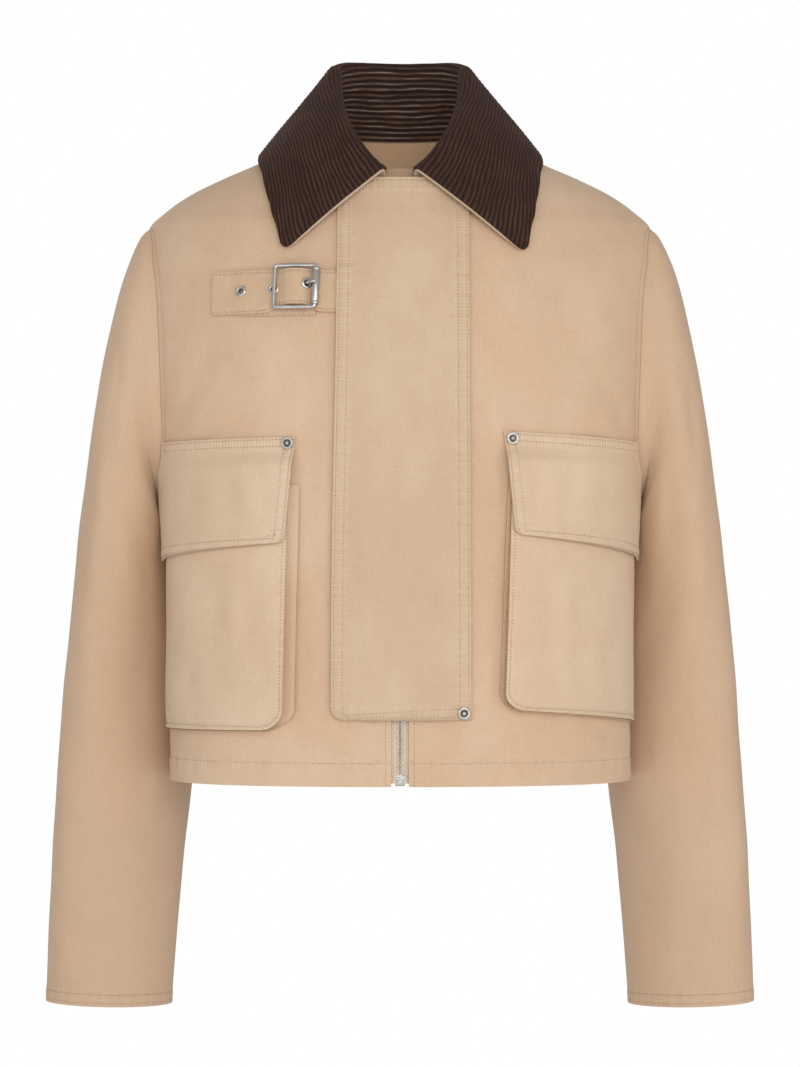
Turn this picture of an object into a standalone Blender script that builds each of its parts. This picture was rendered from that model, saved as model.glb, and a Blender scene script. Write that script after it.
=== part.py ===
"""A cropped cotton jacket with a wide-wale corduroy collar, filled out as worn, with no wearer.

Metres, +Z up. The front faces -Y and the wearer's left is +X. The origin is the middle of the neck, at the
height where the shoulder seams meet the collar. Every cloth piece is a thin wall laid on one body surface:
`torso(turn, z)` is that surface, where `turn` runs round the body from 0 at the centre front, through a
quarter turn at the wearer's left side, to a half turn at the centre back.
"""
import math
from collections import namedtuple

import bmesh
import bpy
from mathutils import Vector

# --- driving sizes ---------------------------------------------------------------------------------------
CLOTH = 0.0016            # one cotton layer with its facing
GAP = 0.0003              # between pieces that are sewn together
LAY = 0.0007              # between a curved panel and a piece laid on it
SEAM_HALF = 0.0002        # from the side line to each panel's edge
MERGE = 0.00001
HEM_Z = -0.515
HEM_DEPTH = 0.019         # turned hem
HEM_CLOTH = 0.0026        # wall where the hem is turned in
NECK_DROP = 0.045         # centre-front neckline below the shoulder neck point
NECK_ROUND = 4.0          # how quickly the neckline falls towards the centre front
QUARTER = math.pi / 2

BodyRing = namedtuple("BodyRing", "z half front back side_y front_round back_round")
BODY = (
    BodyRing(0.000, 0.063, 0.068, 0.070, 0.000, 2.00, 2.00),
    BodyRing(-0.012, 0.088, 0.072, 0.076, 0.001, 1.62, 1.65),
    BodyRing(-0.025, 0.1145, 0.075, 0.080, 0.002, 1.55, 1.60),
    BodyRing(-0.038, 0.1445, 0.079, 0.083, 0.003, 1.58, 1.62),
    BodyRing(-0.050, 0.1685, 0.084, 0.086, 0.003, 1.64, 1.68),
    BodyRing(-0.063, 0.1870, 0.088, 0.090, 0.003, 1.72, 1.76),
    BodyRing(-0.076, 0.2000, 0.092, 0.094, 0.002, 1.82, 1.86),
    BodyRing(-0.110, 0.2080, 0.100, 0.102, 0.001, 2.05, 2.04),
    BodyRing(-0.150, 0.2070, 0.105, 0.110, -0.002, 2.24, 2.16),
    BodyRing(-0.200, 0.2025, 0.107, 0.118, -0.006, 2.38, 2.20),
    BodyRing(-0.250, 0.1945, 0.107, 0.122, -0.009, 2.42, 2.18),
    BodyRing(-0.290, 0.1870, 0.106, 0.124, -0.011, 2.42, 2.14),
    BodyRing(-0.340, 0.1838, 0.106, 0.122, -0.012, 2.42, 2.12),
    BodyRing(-0.420, 0.1828, 0.106, 0.119, -0.012, 2.42, 2.10),
    BodyRing(-0.515, 0.1828, 0.105, 0.120, -0.012, 2.42, 2.10),
)

ARMHOLE_TOP = -0.076
ARMHOLE_LOW = -0.290
ARMHOLE_FRONT = 0.050     # reach of the armhole in front of the side line
ARMHOLE_BACK = 0.044

SLEEVE_AROUND = 18
SleeveRing = namedtuple("SleeveRing", "out_x out_z in_x in_z mid_y depth lean own")
SLEEVE = (                # outer and inner edge as seen from the front, then the ring's place in depth
    SleeveRing(0.2055, -0.0815, 0.1888, -0.2915, -0.006, 0.0505, 0.000, 0.35),
    SleeveRing(0.2125, -0.0950, 0.1905, -0.2945, -0.004, 0.0520, -0.003, 0.70),
    SleeveRing(0.2200, -0.1150, 0.1908, -0.3000, -0.001, 0.0545, -0.006, 1.0),
    SleeveRing(0.2290, -0.1490, 0.1888, -0.3095, 0.002, 0.0575, -0.012, 1.0),
    SleeveRing(0.2365, -0.1870, 0.1845, -0.3225, 0.006, 0.0600, -0.019, 1.0),
    SleeveRing(0.2430, -0.2270, 0.1805, -0.3380, 0.012, 0.0610, -0.027, 1.0),
    SleeveRing(0.2490, -0.2710, 0.1765, -0.3570, 0.020, 0.0605, -0.033, 1.0),
    SleeveRing(0.2555, -0.3170, 0.1725, -0.3820, 0.028, 0.0590, -0.034, 1.0),
    SleeveRing(0.2625, -0.3750, 0.1680, -0.4150, 0.037, 0.0560, -0.031, 1.0),
    SleeveRing(0.2700, -0.4390, 0.1660, -0.4580, 0.045, 0.0530, -0.026, 1.0),
    SleeveRing(0.2755, -0.5040, 0.1690, -0.5110, 0.048, 0.0500, -0.021, 1.0),
    SleeveRing(0.2812, -0.5800, 0.1768, -0.5840, 0.048, 0.0470, -0.016, 1.0),
    SleeveRing(0.2858, -0.6880, 0.1853, -0.6925, 0.045, 0.0430, -0.010, 1.0),
    SleeveRing(0.2860, -0.6970, 0.1858, -0.7015, 0.045, 0.0430, -0.010, 1.0),
)
CUFF_RINGS = 2            # rings in the turned cuff

PILE = 0.0016             # corduroy wall below its ribs
UNDER_CLOTH = 0.0010
FALL_BOW = 0.0030         # how far the fall bows out between the roll and its edge
FALL_OUT = 0.0058         # fall's outer face above the body at its edge
FALL_RIBS = 23
STAND_RIBS = 15
RIB_SHARE = 0.20          # rib height over rib pitch
RIB_TOP = 0.0008
COLLAR_GAP = 0.0005       # between the upper collar and the under collar
SEAM_LIFT = 0.0009        # collar above the neckline's edge
UNDER_SHOWS = 0.0011      # under collar past the collar's front ends
COLLAR_STEPS = 10         # columns from a front end to the centre back
CollarStation = namedtuple("CollarStation", "place seam_turn roll_x roll_y roll_z edge_turn edge_z radius")
COLLAR = (                # turns in degrees
    CollarStation(0, 7.6, 0.0125, -0.0885, -0.0355, 25.7, -0.0980, 0.0066),
    CollarStation(1, 15.5, 0.0225, -0.0790, -0.0250, 32.3, -0.0795, 0.0072),
    CollarStation(2, 29.0, 0.0330, -0.0630, -0.0090, 40.2, -0.0590, 0.0080),
    CollarStation(3, 56.0, 0.0425, -0.0370, 0.0110, 54.0, -0.0380, 0.0084),
    CollarStation(4, 90.0, 0.0490, -0.0060, 0.0340, 83.0, -0.0238, 0.0076),
    CollarStation(5, 120.0, 0.0515, 0.0280, 0.0560, 112.5, -0.0225, 0.0062),
    CollarStation(6, 145.0, 0.0385, 0.0530, 0.0630, 139.0, -0.0225, 0.0055),
    CollarStation(7, 163.0, 0.0195, 0.0680, 0.0642, 160.0, -0.0225, 0.0052),
    CollarStation(8, 180.0, 0.0000, 0.0715, 0.0642, 180.0, -0.0225, 0.0052),
)
POINT_TURN = {-1: 0.0, 1: 1.4}        # the wearer's left collar point sits a little lower and further out
POINT_DROP = {-1: 0.0, 1: 0.004}
POINT_FADE = 2.0

FLAP_TOP = -0.0447
FLAP_LOW = -0.4635
FLAP_RIGHT_TOP = 0.0529
FLAP_RIGHT_LOW = 0.0546
FLAP_LEFT_TOP = -0.0479
FLAP_LEFT_LOW = -0.0527
FLAP_CORNER = 0.010
FLAP_OVER_ZIP = 0.0030
FLAP_AT_SEAM = 0.0008
FLAP_AT_FREE_EDGE = 0.0009
FLAP_OVER_STRAP = 0.0029

FRONT_EDGE = 0.0068       # front edges either side of the zip
TAPE_INNER = 0.0025
TAPE_OUTER = 0.0155
TAPE = 0.0008
TAPE_GAP = 0.0010         # from the front's inner face, which is a little flatter than the surface
CHAIN_HALF = 0.0022
CHAIN_THICK = 0.0022
ZIP_TOP = -0.0500
CHAIN_TOP = -0.0575
ZIP_LOW = -0.5070
BOX_LOW = -0.5144
BOX_HALF = 0.0037
BOX_THICK = 0.0026
BOX_SHOULDER = 0.0003
SLIDER_THICK = 0.0046
TAB_HALF = 0.0024
TAB_LOW = -0.0860
TAB_THICK = 0.0011
GUARD_TOP = -0.0330
GUARD_LOW = -0.4920
GUARD_HALF = 0.0185
GUARD_CLOTH = 0.0014
GUARD_OUT = -0.0068
FACING_CLOTH = 0.0012

STRAP_CLOTH = 0.0020
BUCKLE_X = -0.0798        # centre bar
BUCKLE_Z = -0.1308
SLOPE = 0.970             # how far the strap moves in x for its length, where the front curves away
StrapRow = namedtuple("StrapRow", "along lift low high")
STRAP = (                 # along runs from the centre bar towards the free end
    StrapRow(-0.0426, 0.0005, -0.1491, -0.1165),
    StrapRow(-0.0330, 0.0005, -0.1491, -0.1165),
    StrapRow(-0.0240, 0.0008, -0.1492, -0.1165),
    StrapRow(-0.0180, 0.0022, -0.1490, -0.1165),
    StrapRow(-0.0150, 0.0025, -0.1478, -0.1164),
    StrapRow(-0.0122, 0.0032, -0.1452, -0.1167),
    StrapRow(-0.0085, 0.0056, -0.1446, -0.1170),
    StrapRow(-0.0052, 0.0079, -0.1445, -0.1171),
    StrapRow(0.0000, 0.0090, -0.1445, -0.1171),
    StrapRow(0.0052, 0.0080, -0.1445, -0.1171),
    StrapRow(0.0095, 0.0056, -0.1446, -0.1170),
    StrapRow(0.0135, 0.0037, -0.1452, -0.1167),
    StrapRow(0.0175, 0.0027, -0.1474, -0.1164),
    StrapRow(0.0230, 0.0024, -0.1496, -0.1165),
    StrapRow(0.0330, 0.0022, -0.1504, -0.1166),
    StrapRow(0.0430, 0.0020, -0.1506, -0.1166),
    StrapRow(0.0490, 0.0011, -0.1507, -0.1166),
    StrapRow(0.0550, 0.0007, -0.1507, -0.1166),
    StrapRow(0.0675, 0.0006, -0.1507, -0.1166),
)
STRAP_ACROSS = 4
HOLE_RADIUS = 0.0026
EYELET_BORE = 0.0019
EYELET_BARREL = 0.0023
EYELET_FLANGE = 0.0043
EYELET_RISE = 0.0009
EYELETS = (("eyelet_1", -0.0078, -0.1287), ("eyelet_2", 0.0172, -0.1319), ("eyelet_3", 0.0436, -0.1329))

BASE_CLOTH = 0.0009
BASE_NEAR = -0.0150
BASE_FAR = 0.0430
BASE_LOW = -0.1520
BASE_HIGH = -0.1175
FRAME_OUT = 0.0081        # frame plane above the front panel
FRAME_HALF_X = 0.0163     # bar centres from the centre bar
FRAME_HALF_Z = 0.0168
WIRE = 0.0017
BAR_WIRE = 0.0014
BAR_OUT = 0.0057
ROLLER_RADIUS = 0.0031
ROLLER_BORE = 0.0019
ROLLER_HALF = 0.0146
ROLLER_PIN = 0.0015
LOOP_CLOTH = 0.0008
LOOP_RADIUS = 0.0021      # middle of the cloth round the bar
LOOP_HALF = 0.0143
LOOP_TAIL = 0.0098
PRONG_Z = 0.0024          # above the buckle's middle
PRONG_EYE = 0.0023
PRONG_EYE_WIRE = 0.0006
PRONG_WIRE = 0.0009
SLOT_HALF = 0.0018

Pocket = namedtuple("Pocket", "name side flap_top_in flap_top_out flap_low_in flap_low_out "
                    "flap_x_top flap_x_low low_in low_out corner fold_below rivet_z")
POCKETS = (
    Pocket("right", -1, -0.2456, -0.2485, -0.3277, -0.3420, 0.0801, 0.0865, -0.4710, -0.4730,
           0.0150, 0.0012, -0.2505),
    Pocket("left", 1, -0.2413, -0.2484, -0.3214, -0.3415, 0.0798, 0.0882, -0.4570, -0.4690,
           0.0095, 0.0060, -0.2468),
)
POCKET_CLOTH = 0.0015
POCKET_MOUTH = -0.2715
POCKET_X_TOP = 0.0845
POCKET_X_LOW = 0.0880
POCKET_PROUD = 0.0135
POCKET_PROUD_SIDE = 0.0030
POCKET_PUFF = 0.0020
POCKET_FOLD = 0.0060      # gusset fold past the face on the centre side
REAR_GAP = 0.0060         # pockets and flaps end this far before the side seam
REAR_MARGIN = 0.0040      # or before the armhole, above the underarm
REAR_STRAIGHT = -0.3110   # the rear edge turns towards the armhole above this height
POCKET_WIDE = 0.155       # along the body, for rounding its corner
SIDE_STEPS = 5
CORNER_STEPS = 4
LOW_STEPS = 6
FACE_SHARES = (0.18, 0.36, 0.54, 0.70, 0.85, 1.0)
REAR_TAPER = 0.30         # share of the foot over which the gusset narrows towards the rear
FLAP_CLOTH = 0.0018
FLAP_CORNER_IN = 0.0060   # round of the flap's lower inner corner
FLAP_SEWN = 0.0085        # top band stitched flat to the front
FLAP_RISE = 0.0150
FLAP_STAND_OFF = 0.0014   # between the flap and the pocket's face
RIVET_RADIUS = 0.0048
RIVET_X = 0.0862
FLAP_RIVET_RADIUS = 0.0049
FLAP_RIVET_X = 0.0489
FLAP_RIVET_Z = -0.4583

# colour, roughness, metallic
SAND = ((0.62, 0.42, 0.26), 0.85, 0.0)
PALE = ((0.66, 0.48, 0.31), 0.85, 0.0)
BROWN = ((0.045, 0.026, 0.020), 0.95, 0.0)
STEEL = ((0.52, 0.51, 0.48), 0.35, 1.0)
TAPE_TAN = ((0.50, 0.38, 0.26), 0.8, 0.0)

PARTS = bpy.data.collections.new("cropped_parka")
CUTTERS = bpy.data.collections.new("cutters")


def clear_scene():
    """Remove what the scene holds and add the two collections."""
    for thing in list(bpy.data.objects):
        bpy.data.objects.remove(thing, do_unlink=True)
    for group in (PARTS, CUTTERS):
        bpy.context.scene.collection.children.link(group)


def mix(low, high, share):
    """The value a share of the way from low to high."""
    return low + (high - low) * share


def ease(share):
    """A smooth 0 to 1 step for a share that may lie outside that range."""
    held = min(1.0, max(0.0, share))
    return held * held * (3.0 - 2.0 * held)


class Track:
    """A smooth curve through one column of a table that never overshoots its rows."""

    def __init__(self, rows, key, column):
        pairs = sorted((getattr(row, key), getattr(row, column)) for row in rows)
        self.keys = [pair[0] for pair in pairs]
        self.values = [pair[1] for pair in pairs]
        spans = [b - a for a, b in zip(self.keys, self.keys[1:])]
        rises = [(b - a) / span for a, b, span in zip(self.values, self.values[1:], spans)]
        self.slopes = [rises[0]]
        for before, after in zip(rises, rises[1:]):
            same_way = before * after > 0.0
            self.slopes.append(2.0 * before * after / (before + after) if same_way else 0.0)
        self.slopes.append(rises[-1])

    def __call__(self, key):
        held = min(self.keys[-1], max(self.keys[0], key))
        index = 0
        while index < len(self.keys) - 2 and held > self.keys[index + 1]:
            index += 1
        span = self.keys[index + 1] - self.keys[index]
        t = (held - self.keys[index]) / span
        start = (1.0 + 2.0 * t) * (1.0 - t) ** 2 * self.values[index]
        end = t * t * (3.0 - 2.0 * t) * self.values[index + 1]
        leave = t * (1.0 - t) ** 2 * span * self.slopes[index]
        arrive = t * t * (t - 1.0) * span * self.slopes[index + 1]
        return start + end + leave + arrive


HALF = Track(BODY, "z", "half")
FRONT = Track(BODY, "z", "front")
BACK = Track(BODY, "z", "back")
SIDE_Y = Track(BODY, "z", "side_y")
FRONT_ROUND = Track(BODY, "z", "front_round")
BACK_ROUND = Track(BODY, "z", "back_round")


# --- the body surface ------------------------------------------------------------------------------------
def torso(turn, z):
    """The point of the body surface at a turn round the body and a height."""
    sine, cosine = math.sin(turn), math.cos(turn)
    power = 2.0 / (FRONT_ROUND(z) if cosine >= 0.0 else BACK_ROUND(z))
    depth = FRONT(z) if cosine >= 0.0 else BACK(z)
    x = HALF(z) * math.copysign(abs(sine) ** power, sine)
    y = SIDE_Y(z) - math.copysign(depth * abs(cosine) ** power, cosine)
    return Vector((x, y, z))


def torso_normal(turn, z):
    """The outward direction of the body surface."""
    turn_step, z_step = 0.02, 0.003
    across = torso(turn + turn_step, z) - torso(turn - turn_step, z)
    upward = torso(turn, min(0.0, z + z_step)) - torso(turn, z - z_step)
    return across.cross(upward).normalized()


def skin(turn, z, out=0.0):
    """A point of the body surface moved out by a distance."""
    return torso(turn, z) + torso_normal(turn, z) * out


def turn_at_x(x, z):
    """The turn on the front where the surface reaches x."""
    share = min(1.0, abs(x) / HALF(z))
    return math.copysign(math.asin(share ** (FRONT_ROUND(z) / 2.0)), x)


def turn_beside_side(z, reach, front=True):
    """The turn on the left at a reach in front of, or behind, the side line."""
    depth = FRONT(z) if front else BACK(z)
    power = (FRONT_ROUND(z) if front else BACK_ROUND(z)) / 2.0
    turn = math.acos(min(1.0, reach / depth) ** power)
    return turn if front else math.pi - turn


def front_point(x, z, out=0.0):
    """A point on the front at a place seen from the front, moved out."""
    return skin(turn_at_x(x, z), z, out)


def neck_z(turn):
    """The height of the neckline at a turn."""
    return -NECK_DROP * max(0.0, math.cos(turn)) ** NECK_ROUND


def wall_at(z):
    """The thickness of the body's wall at a height."""
    return mix(HEM_CLOTH, CLOTH, ease((z - HEM_Z - HEM_DEPTH) / 0.002 + 0.5))


def armhole_place(angle):
    """The turn and height of the left armhole, from the shoulder (0) down the front to the underarm (pi)."""
    middle, half = (ARMHOLE_TOP + ARMHOLE_LOW) / 2.0, (ARMHOLE_TOP - ARMHOLE_LOW) / 2.0
    z = middle + half * math.cos(angle)
    sine = math.sin(angle)
    reach = ARMHOLE_FRONT * sine if sine >= 0.0 else -ARMHOLE_BACK * sine
    return turn_beside_side(z, max(reach, SEAM_HALF), front=sine >= -1e-9), z


# --- mesh helpers ----------------------------------------------------------------------------------------
def finish(thing, look, group=PARTS):
    """Give an object its material and its collection."""
    colour, roughness, metallic = look
    name = f"finish_{colour[0]:.3f}_{roughness:.2f}"
    material = bpy.data.materials.get(name) or bpy.data.materials.new(name)
    material.use_nodes = True
    shader = material.node_tree.nodes["Principled BSDF"]
    shader.inputs["Base Color"].default_value = (*colour, 1.0)
    shader.inputs["Roughness"].default_value = roughness
    shader.inputs["Metallic"].default_value = metallic
    thing.data.materials.clear()
    thing.data.materials.append(material)
    for owner in list(thing.users_collection):
        owner.objects.unlink(thing)
    group.objects.link(thing)
    return thing


def object_from(name, points, faces, look):
    """A closed body from points and faces, smooth but for its edges."""
    mesh = bpy.data.meshes.new(name)
    mesh.from_pydata([tuple(point) for point in points], [], faces)
    body = bmesh.new()
    body.from_mesh(mesh)
    bmesh.ops.remove_doubles(body, verts=body.verts, dist=MERGE)
    bmesh.ops.dissolve_degenerate(body, edges=body.edges, dist=MERGE)
    bmesh.ops.recalc_face_normals(body, faces=body.faces)
    if body.calc_volume(signed=True) < 0.0:
        bmesh.ops.reverse_faces(body, faces=body.faces)
    body.to_mesh(mesh)
    body.free()
    mesh.shade_smooth()
    mesh.set_sharp_from_angle(angle=math.radians(50.0))
    thing = bpy.data.objects.new(name, mesh)
    bpy.context.scene.collection.objects.link(thing)
    return finish(thing, look)


def wall(name, outer, inner, look, closed=False):
    """A cloth wall between two grids of points, open at the grid's ends or closed round into a tube."""
    rows, columns = len(outer), len(outer[0])
    points = [point for grid in (outer, inner) for row in grid for point in row]
    span = columns if closed else columns - 1

    def at(layer, row, column):
        return (layer * rows + row) * columns + column % columns

    faces = [(at(layer, r, c), at(layer, r, c + 1), at(layer, r + 1, c + 1), at(layer, r + 1, c))
             for layer in (0, 1) for r in range(rows - 1) for c in range(span)]
    faces += [(at(0, r, c), at(1, r, c), at(1, r, c + 1), at(0, r, c + 1))
              for r in (0, rows - 1) for c in range(span)]
    if not closed:
        faces += [(at(0, r, c), at(0, r + 1, c), at(1, r + 1, c), at(1, r, c))
                  for c in (0, columns - 1) for r in range(rows - 1)]
    return object_from(name, points, faces, look)


def ribbed_wall(name, ribbed, plain, picks, look):
    """A wall whose ribbed face has many rows and whose plain face has one row under each picked row."""
    columns = len(ribbed[0])
    points = [point for grid in (ribbed, plain) for row in grid for point in row]
    base = len(ribbed) * columns
    faces = [(r * columns + c, r * columns + c + 1, (r + 1) * columns + c + 1, (r + 1) * columns + c)
             for r in range(len(ribbed) - 1) for c in range(columns - 1)]
    faces += [tuple(base + i for i in (r * columns + c, r * columns + c + 1,
                                       (r + 1) * columns + c + 1, (r + 1) * columns + c))
              for r in range(len(plain) - 1) for c in range(columns - 1)]
    for row, pick in ((0, 0), (len(plain) - 1, len(ribbed) - 1)):
        faces += [(pick * columns + c, pick * columns + c + 1, base + row * columns + c + 1,
                   base + row * columns + c) for c in range(columns - 1)]
    for c in (0, columns - 1):
        for row, (low, high) in enumerate(zip(picks, picks[1:])):
            steps = [r * columns + c for r in range(high, low - 1, -1)]
            faces.append((base + row * columns + c, base + (row + 1) * columns + c, *steps))
    return object_from(name, points, faces, look)


def grid_normals(grid, centres=None):
    """Directions square to a grid of points; centres, one a row, close its rows and say which way is out."""
    rows, columns = len(grid), len(grid[0])
    closed = centres is not None
    normals = []
    for r in range(rows):
        line = []
        for c in range(columns):
            along = grid[min(rows - 1, r + 1)][c] - grid[max(0, r - 1)][c]
            if closed:
                across = grid[r][(c + 1) % columns] - grid[r][c - 1]
            else:
                across = grid[r][min(columns - 1, c + 1)] - grid[r][max(0, c - 1)]
            line.append(along.cross(across).normalized())
        if closed and line[0].dot(grid[r][0] - centres[r]) < 0.0:
            line = [-normal for normal in line]
        normals.append(line)
    return normals


def moved(grid, normals, distance):
    """A grid of points moved along their normals."""
    return [[point + normal * distance for point, normal in zip(row, line)]
            for row, line in zip(grid, normals)]


def mirrored(point, side):
    """A point of the left side, or its mirror on the right."""
    return Vector((point.x * side, point.y, point.z))


def cut(thing, cutter):
    """Cut one object with another."""
    tool = thing.modifiers.new("cut", "BOOLEAN")
    tool.operation = "DIFFERENCE"
    tool.object = cutter
    cutter.hide_render = True
    cutter.display_type = "WIRE"


def tube(name, points, radii, look, sides=2, cyclic=False):
    """A round wire through points, with a radius for each, as a closed mesh."""
    curve = bpy.data.curves.new(name, "CURVE")
    curve.dimensions = "3D"
    curve.bevel_depth = 1.0
    curve.bevel_resolution = sides
    curve.use_fill_caps = not cyclic
    spline = curve.splines.new("POLY")
    spline.points.add(len(points) - 1)
    spline.use_cyclic_u = cyclic
    for knot, point, radius in zip(spline.points, points, radii):
        knot.co = (*point, 1.0)
        knot.radius = radius
    wire = bpy.data.objects.new(name + "_curve", curve)
    bpy.context.scene.collection.objects.link(wire)
    bpy.context.view_layer.update()
    mesh = bpy.data.meshes.new_from_object(wire.evaluated_get(bpy.context.evaluated_depsgraph_get()))
    body = bmesh.new()
    body.from_mesh(mesh)
    bmesh.ops.remove_doubles(body, verts=body.verts, dist=MERGE)
    bmesh.ops.recalc_face_normals(body, faces=body.faces)
    body.to_mesh(mesh)
    body.free()
    mesh.shade_smooth()
    bpy.data.objects.remove(wire, do_unlink=True)
    thing = bpy.data.objects.new(name, mesh)
    bpy.context.scene.collection.objects.link(thing)
    return finish(thing, look)


def turned(name, profile, centre, axis, look, steps=16):
    """A body turned from a profile of radius and height about an axis at a centre."""
    side = Vector((1.0, 0.0, 0.0)) if abs(axis.x) < 0.9 else Vector((0.0, 1.0, 0.0))
    first = axis.cross(side).normalized()
    second = axis.cross(first).normalized()
    rings = [[centre + axis * height + (first * math.cos(a) + second * math.sin(a)) * radius
              for a in (2.0 * math.pi * step / steps for step in range(steps))]
             for radius, height in profile]
    points = [point for ring in rings for point in ring]
    faces = [(r * steps + c, r * steps + (c + 1) % steps, (r + 1) * steps + (c + 1) % steps,
              (r + 1) * steps + c) for r in range(len(rings) - 1) for c in range(steps)]
    if profile[0][0] > MERGE:
        faces.append(tuple(range(steps)))
    if profile[-1][0] > MERGE:
        faces.append(tuple((len(rings) - 1) * steps + c for c in range(steps)))
    return object_from(name, points, faces, look)


# --- fronts and back -------------------------------------------------------------------------------------
SIDE_ROWS = 6
ARMHOLE_ROWS = SLEEVE_AROUND // 2
SHOULDER_ROWS = 4
CENTRE_AT_SHOULDER = -0.112       # height at the centre front of the row that meets the shoulder point
FRONT_COLUMNS = 12
BACK_COLUMNS = 16


def panel_side(front):
    """Places down a panel's left side from hem to neck: side seam, armhole, shoulder seam."""
    heights = [mix(HEM_Z, ARMHOLE_LOW, r / SIDE_ROWS) for r in range(SIDE_ROWS)]
    hem_top = HEM_Z + HEM_DEPTH
    heights = sorted(heights + [hem_top - 0.001, hem_top + 0.001])
    places = [(turn_beside_side(z, SEAM_HALF, front), z) for z in heights]
    places.append((turn_beside_side(ARMHOLE_LOW, SEAM_HALF, front), ARMHOLE_LOW))
    for r in range(1, ARMHOLE_ROWS):
        angle = math.pi * (1.0 - r / ARMHOLE_ROWS)
        places.append(armhole_place(angle if front else 2.0 * math.pi - angle))
    for r in range(SHOULDER_ROWS + 1):
        z = mix(ARMHOLE_TOP, 0.0, r / SHOULDER_ROWS)
        places.append((turn_beside_side(z, SEAM_HALF, front), z))
    return places, len(heights), len(heights) + ARMHOLE_ROWS


def centre_heights():
    """The heights of a front panel's rows at the centre front."""
    places, start, end = panel_side(front=True)
    chest = [mix(ARMHOLE_LOW, CENTRE_AT_SHOULDER, r / (end - start)) for r in range(1, end - start + 1)]
    throat = [mix(CENTRE_AT_SHOULDER, -NECK_DROP, r / SHOULDER_ROWS) for r in range(1, SHOULDER_ROWS + 1)]
    return [z for _, z in places[:start + 1]] + chest + throat


def seam_normal(turn, z, seam):
    """The surface's normal, turned square to the seam's plane where two panels meet at the side."""
    normal = torso_normal(turn, z)
    if seam:
        normal.y = 0.0
    return normal.normalized()


def build_front(side):
    """One front panel; side is 1 for the wearer's left."""
    places, armhole_start, armhole_end = panel_side(front=True)
    last = len(places) - 1
    outer, inner = [], []
    for r, (edge_turn, edge_z) in enumerate(places):
        centre_z = centre_heights()[r]
        centre_turn = turn_at_x(FRONT_EDGE, centre_z)
        neck_share = ease((r - armhole_end) / (last - armhole_end))
        line_out, line_in = [], []
        for c in range(FRONT_COLUMNS + 1):
            share = c / FRONT_COLUMNS
            turn = mix(centre_turn, edge_turn, share)
            z = mix(centre_z, edge_z, mix(ease(share), share, neck_share))
            z += (neck_z(turn) - mix(-NECK_DROP, 0.0, share)) * neck_share
            at_seam = c == FRONT_COLUMNS and (r <= armhole_start or r >= armhole_end)
            normal = seam_normal(turn, z, at_seam)
            point = torso(turn, z)
            line_out.append(mirrored(point, side))
            line_in.append(mirrored(point - normal * wall_at(z), side))
        outer.append(line_out)
        inner.append(line_in)
    name = "front_left" if side > 0 else "front_right"
    return wall(name, outer, inner, SAND)


def build_back():
    """The back panel, from one side line round the back to the other."""
    places, armhole_start, armhole_end = panel_side(front=False)
    outer, inner = [], []
    for r, (edge_turn, edge_z) in enumerate(places):
        line_out, line_in = [], []
        for c in range(BACK_COLUMNS + 1):
            turn = mix(edge_turn, 2.0 * math.pi - edge_turn, c / BACK_COLUMNS)
            at_seam = c in (0, BACK_COLUMNS) and (r <= armhole_start or r >= armhole_end)
            normal = seam_normal(turn, edge_z, at_seam)
            point = torso(turn, edge_z)
            line_out.append(point)
            line_in.append(point - normal * wall_at(edge_z))
        outer.append(line_out)
        inner.append(line_in)
    return wall("back", outer, inner, SAND)


# --- sleeves ---------------------------------------------------------------------------------------------
def armhole_ring():
    """The sleeve's first ring, a seam's gap inside the armhole's edge."""
    middle = Vector((HALF(ARMHOLE_LOW), SIDE_Y(ARMHOLE_LOW), (ARMHOLE_TOP + ARMHOLE_LOW) / 2.0))
    points = []
    for step in range(SLEEVE_AROUND):
        angle = 2.0 * math.pi * step / SLEEVE_AROUND
        turn, z = armhole_place(angle)
        if step in (0, SLEEVE_AROUND // 2):
            turn = QUARTER
        ahead, behind = (torso(*armhole_place(angle + nudge)) for nudge in (0.05, -0.05))
        away = torso_normal(turn, z).cross(ahead - behind).normalized()
        point = torso(turn, z)
        if away.dot(middle - point) < 0.0:
            away.negate()
        points.append(point + away * GAP)
    return points


def sleeve_ring(row, seam_points):
    """One ring of the sleeve, blended with the armhole's shape near the top."""
    centre = Vector(((row.out_x + row.in_x) / 2.0, row.mid_y, (row.out_z + row.in_z) / 2.0))
    reach = Vector(((row.out_x - row.in_x) / 2.0, row.lean, (row.out_z - row.in_z) / 2.0))
    points = []
    for step, seam in enumerate(seam_points):
        angle = 2.0 * math.pi * step / SLEEVE_AROUND
        own = centre + reach * math.cos(angle) - Vector((0.0, row.depth, 0.0)) * math.sin(angle)
        points.append(Vector((own.x, mix(seam.y, own.y, row.own), own.z)))
    return points, centre


def build_sleeve(side):
    """One sleeve as a tube wall from the armhole to the cuff, open at both ends."""
    seam_points = armhole_ring()
    grid, centres = [seam_points], [sum(seam_points, Vector()) / len(seam_points)]
    for row in SLEEVE:
        points, centre = sleeve_ring(row, seam_points)
        grid.append(points)
        centres.append(centre)
    normals = grid_normals(grid, centres)
    inner = []
    for r, (row, line) in enumerate(zip(grid, normals)):
        thick = HEM_CLOTH if r >= len(grid) - CUFF_RINGS else CLOTH
        inner.append([point - normal * thick for point, normal in zip(row, line)])
    outer = [[mirrored(point, side) for point in row] for row in grid]
    inner = [[mirrored(point, side) for point in row] for row in inner]
    return wall("sleeve_left" if side > 0 else "sleeve_right", outer, inner, SAND, closed=True)


# --- collar ----------------------------------------------------------------------------------------------
def collar_tracks():
    """The collar table's columns as curves that run on evenly past the centre back."""
    before = COLLAR[-2]
    past = CollarStation(COLLAR[-1].place + 1, 360.0 - before.seam_turn, -before.roll_x, before.roll_y,
                         before.roll_z, 360.0 - before.edge_turn, before.edge_z, before.radius)
    rows = (*COLLAR, past)
    return {column: Track(rows, "place", column) for column in CollarStation._fields[1:]}


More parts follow.
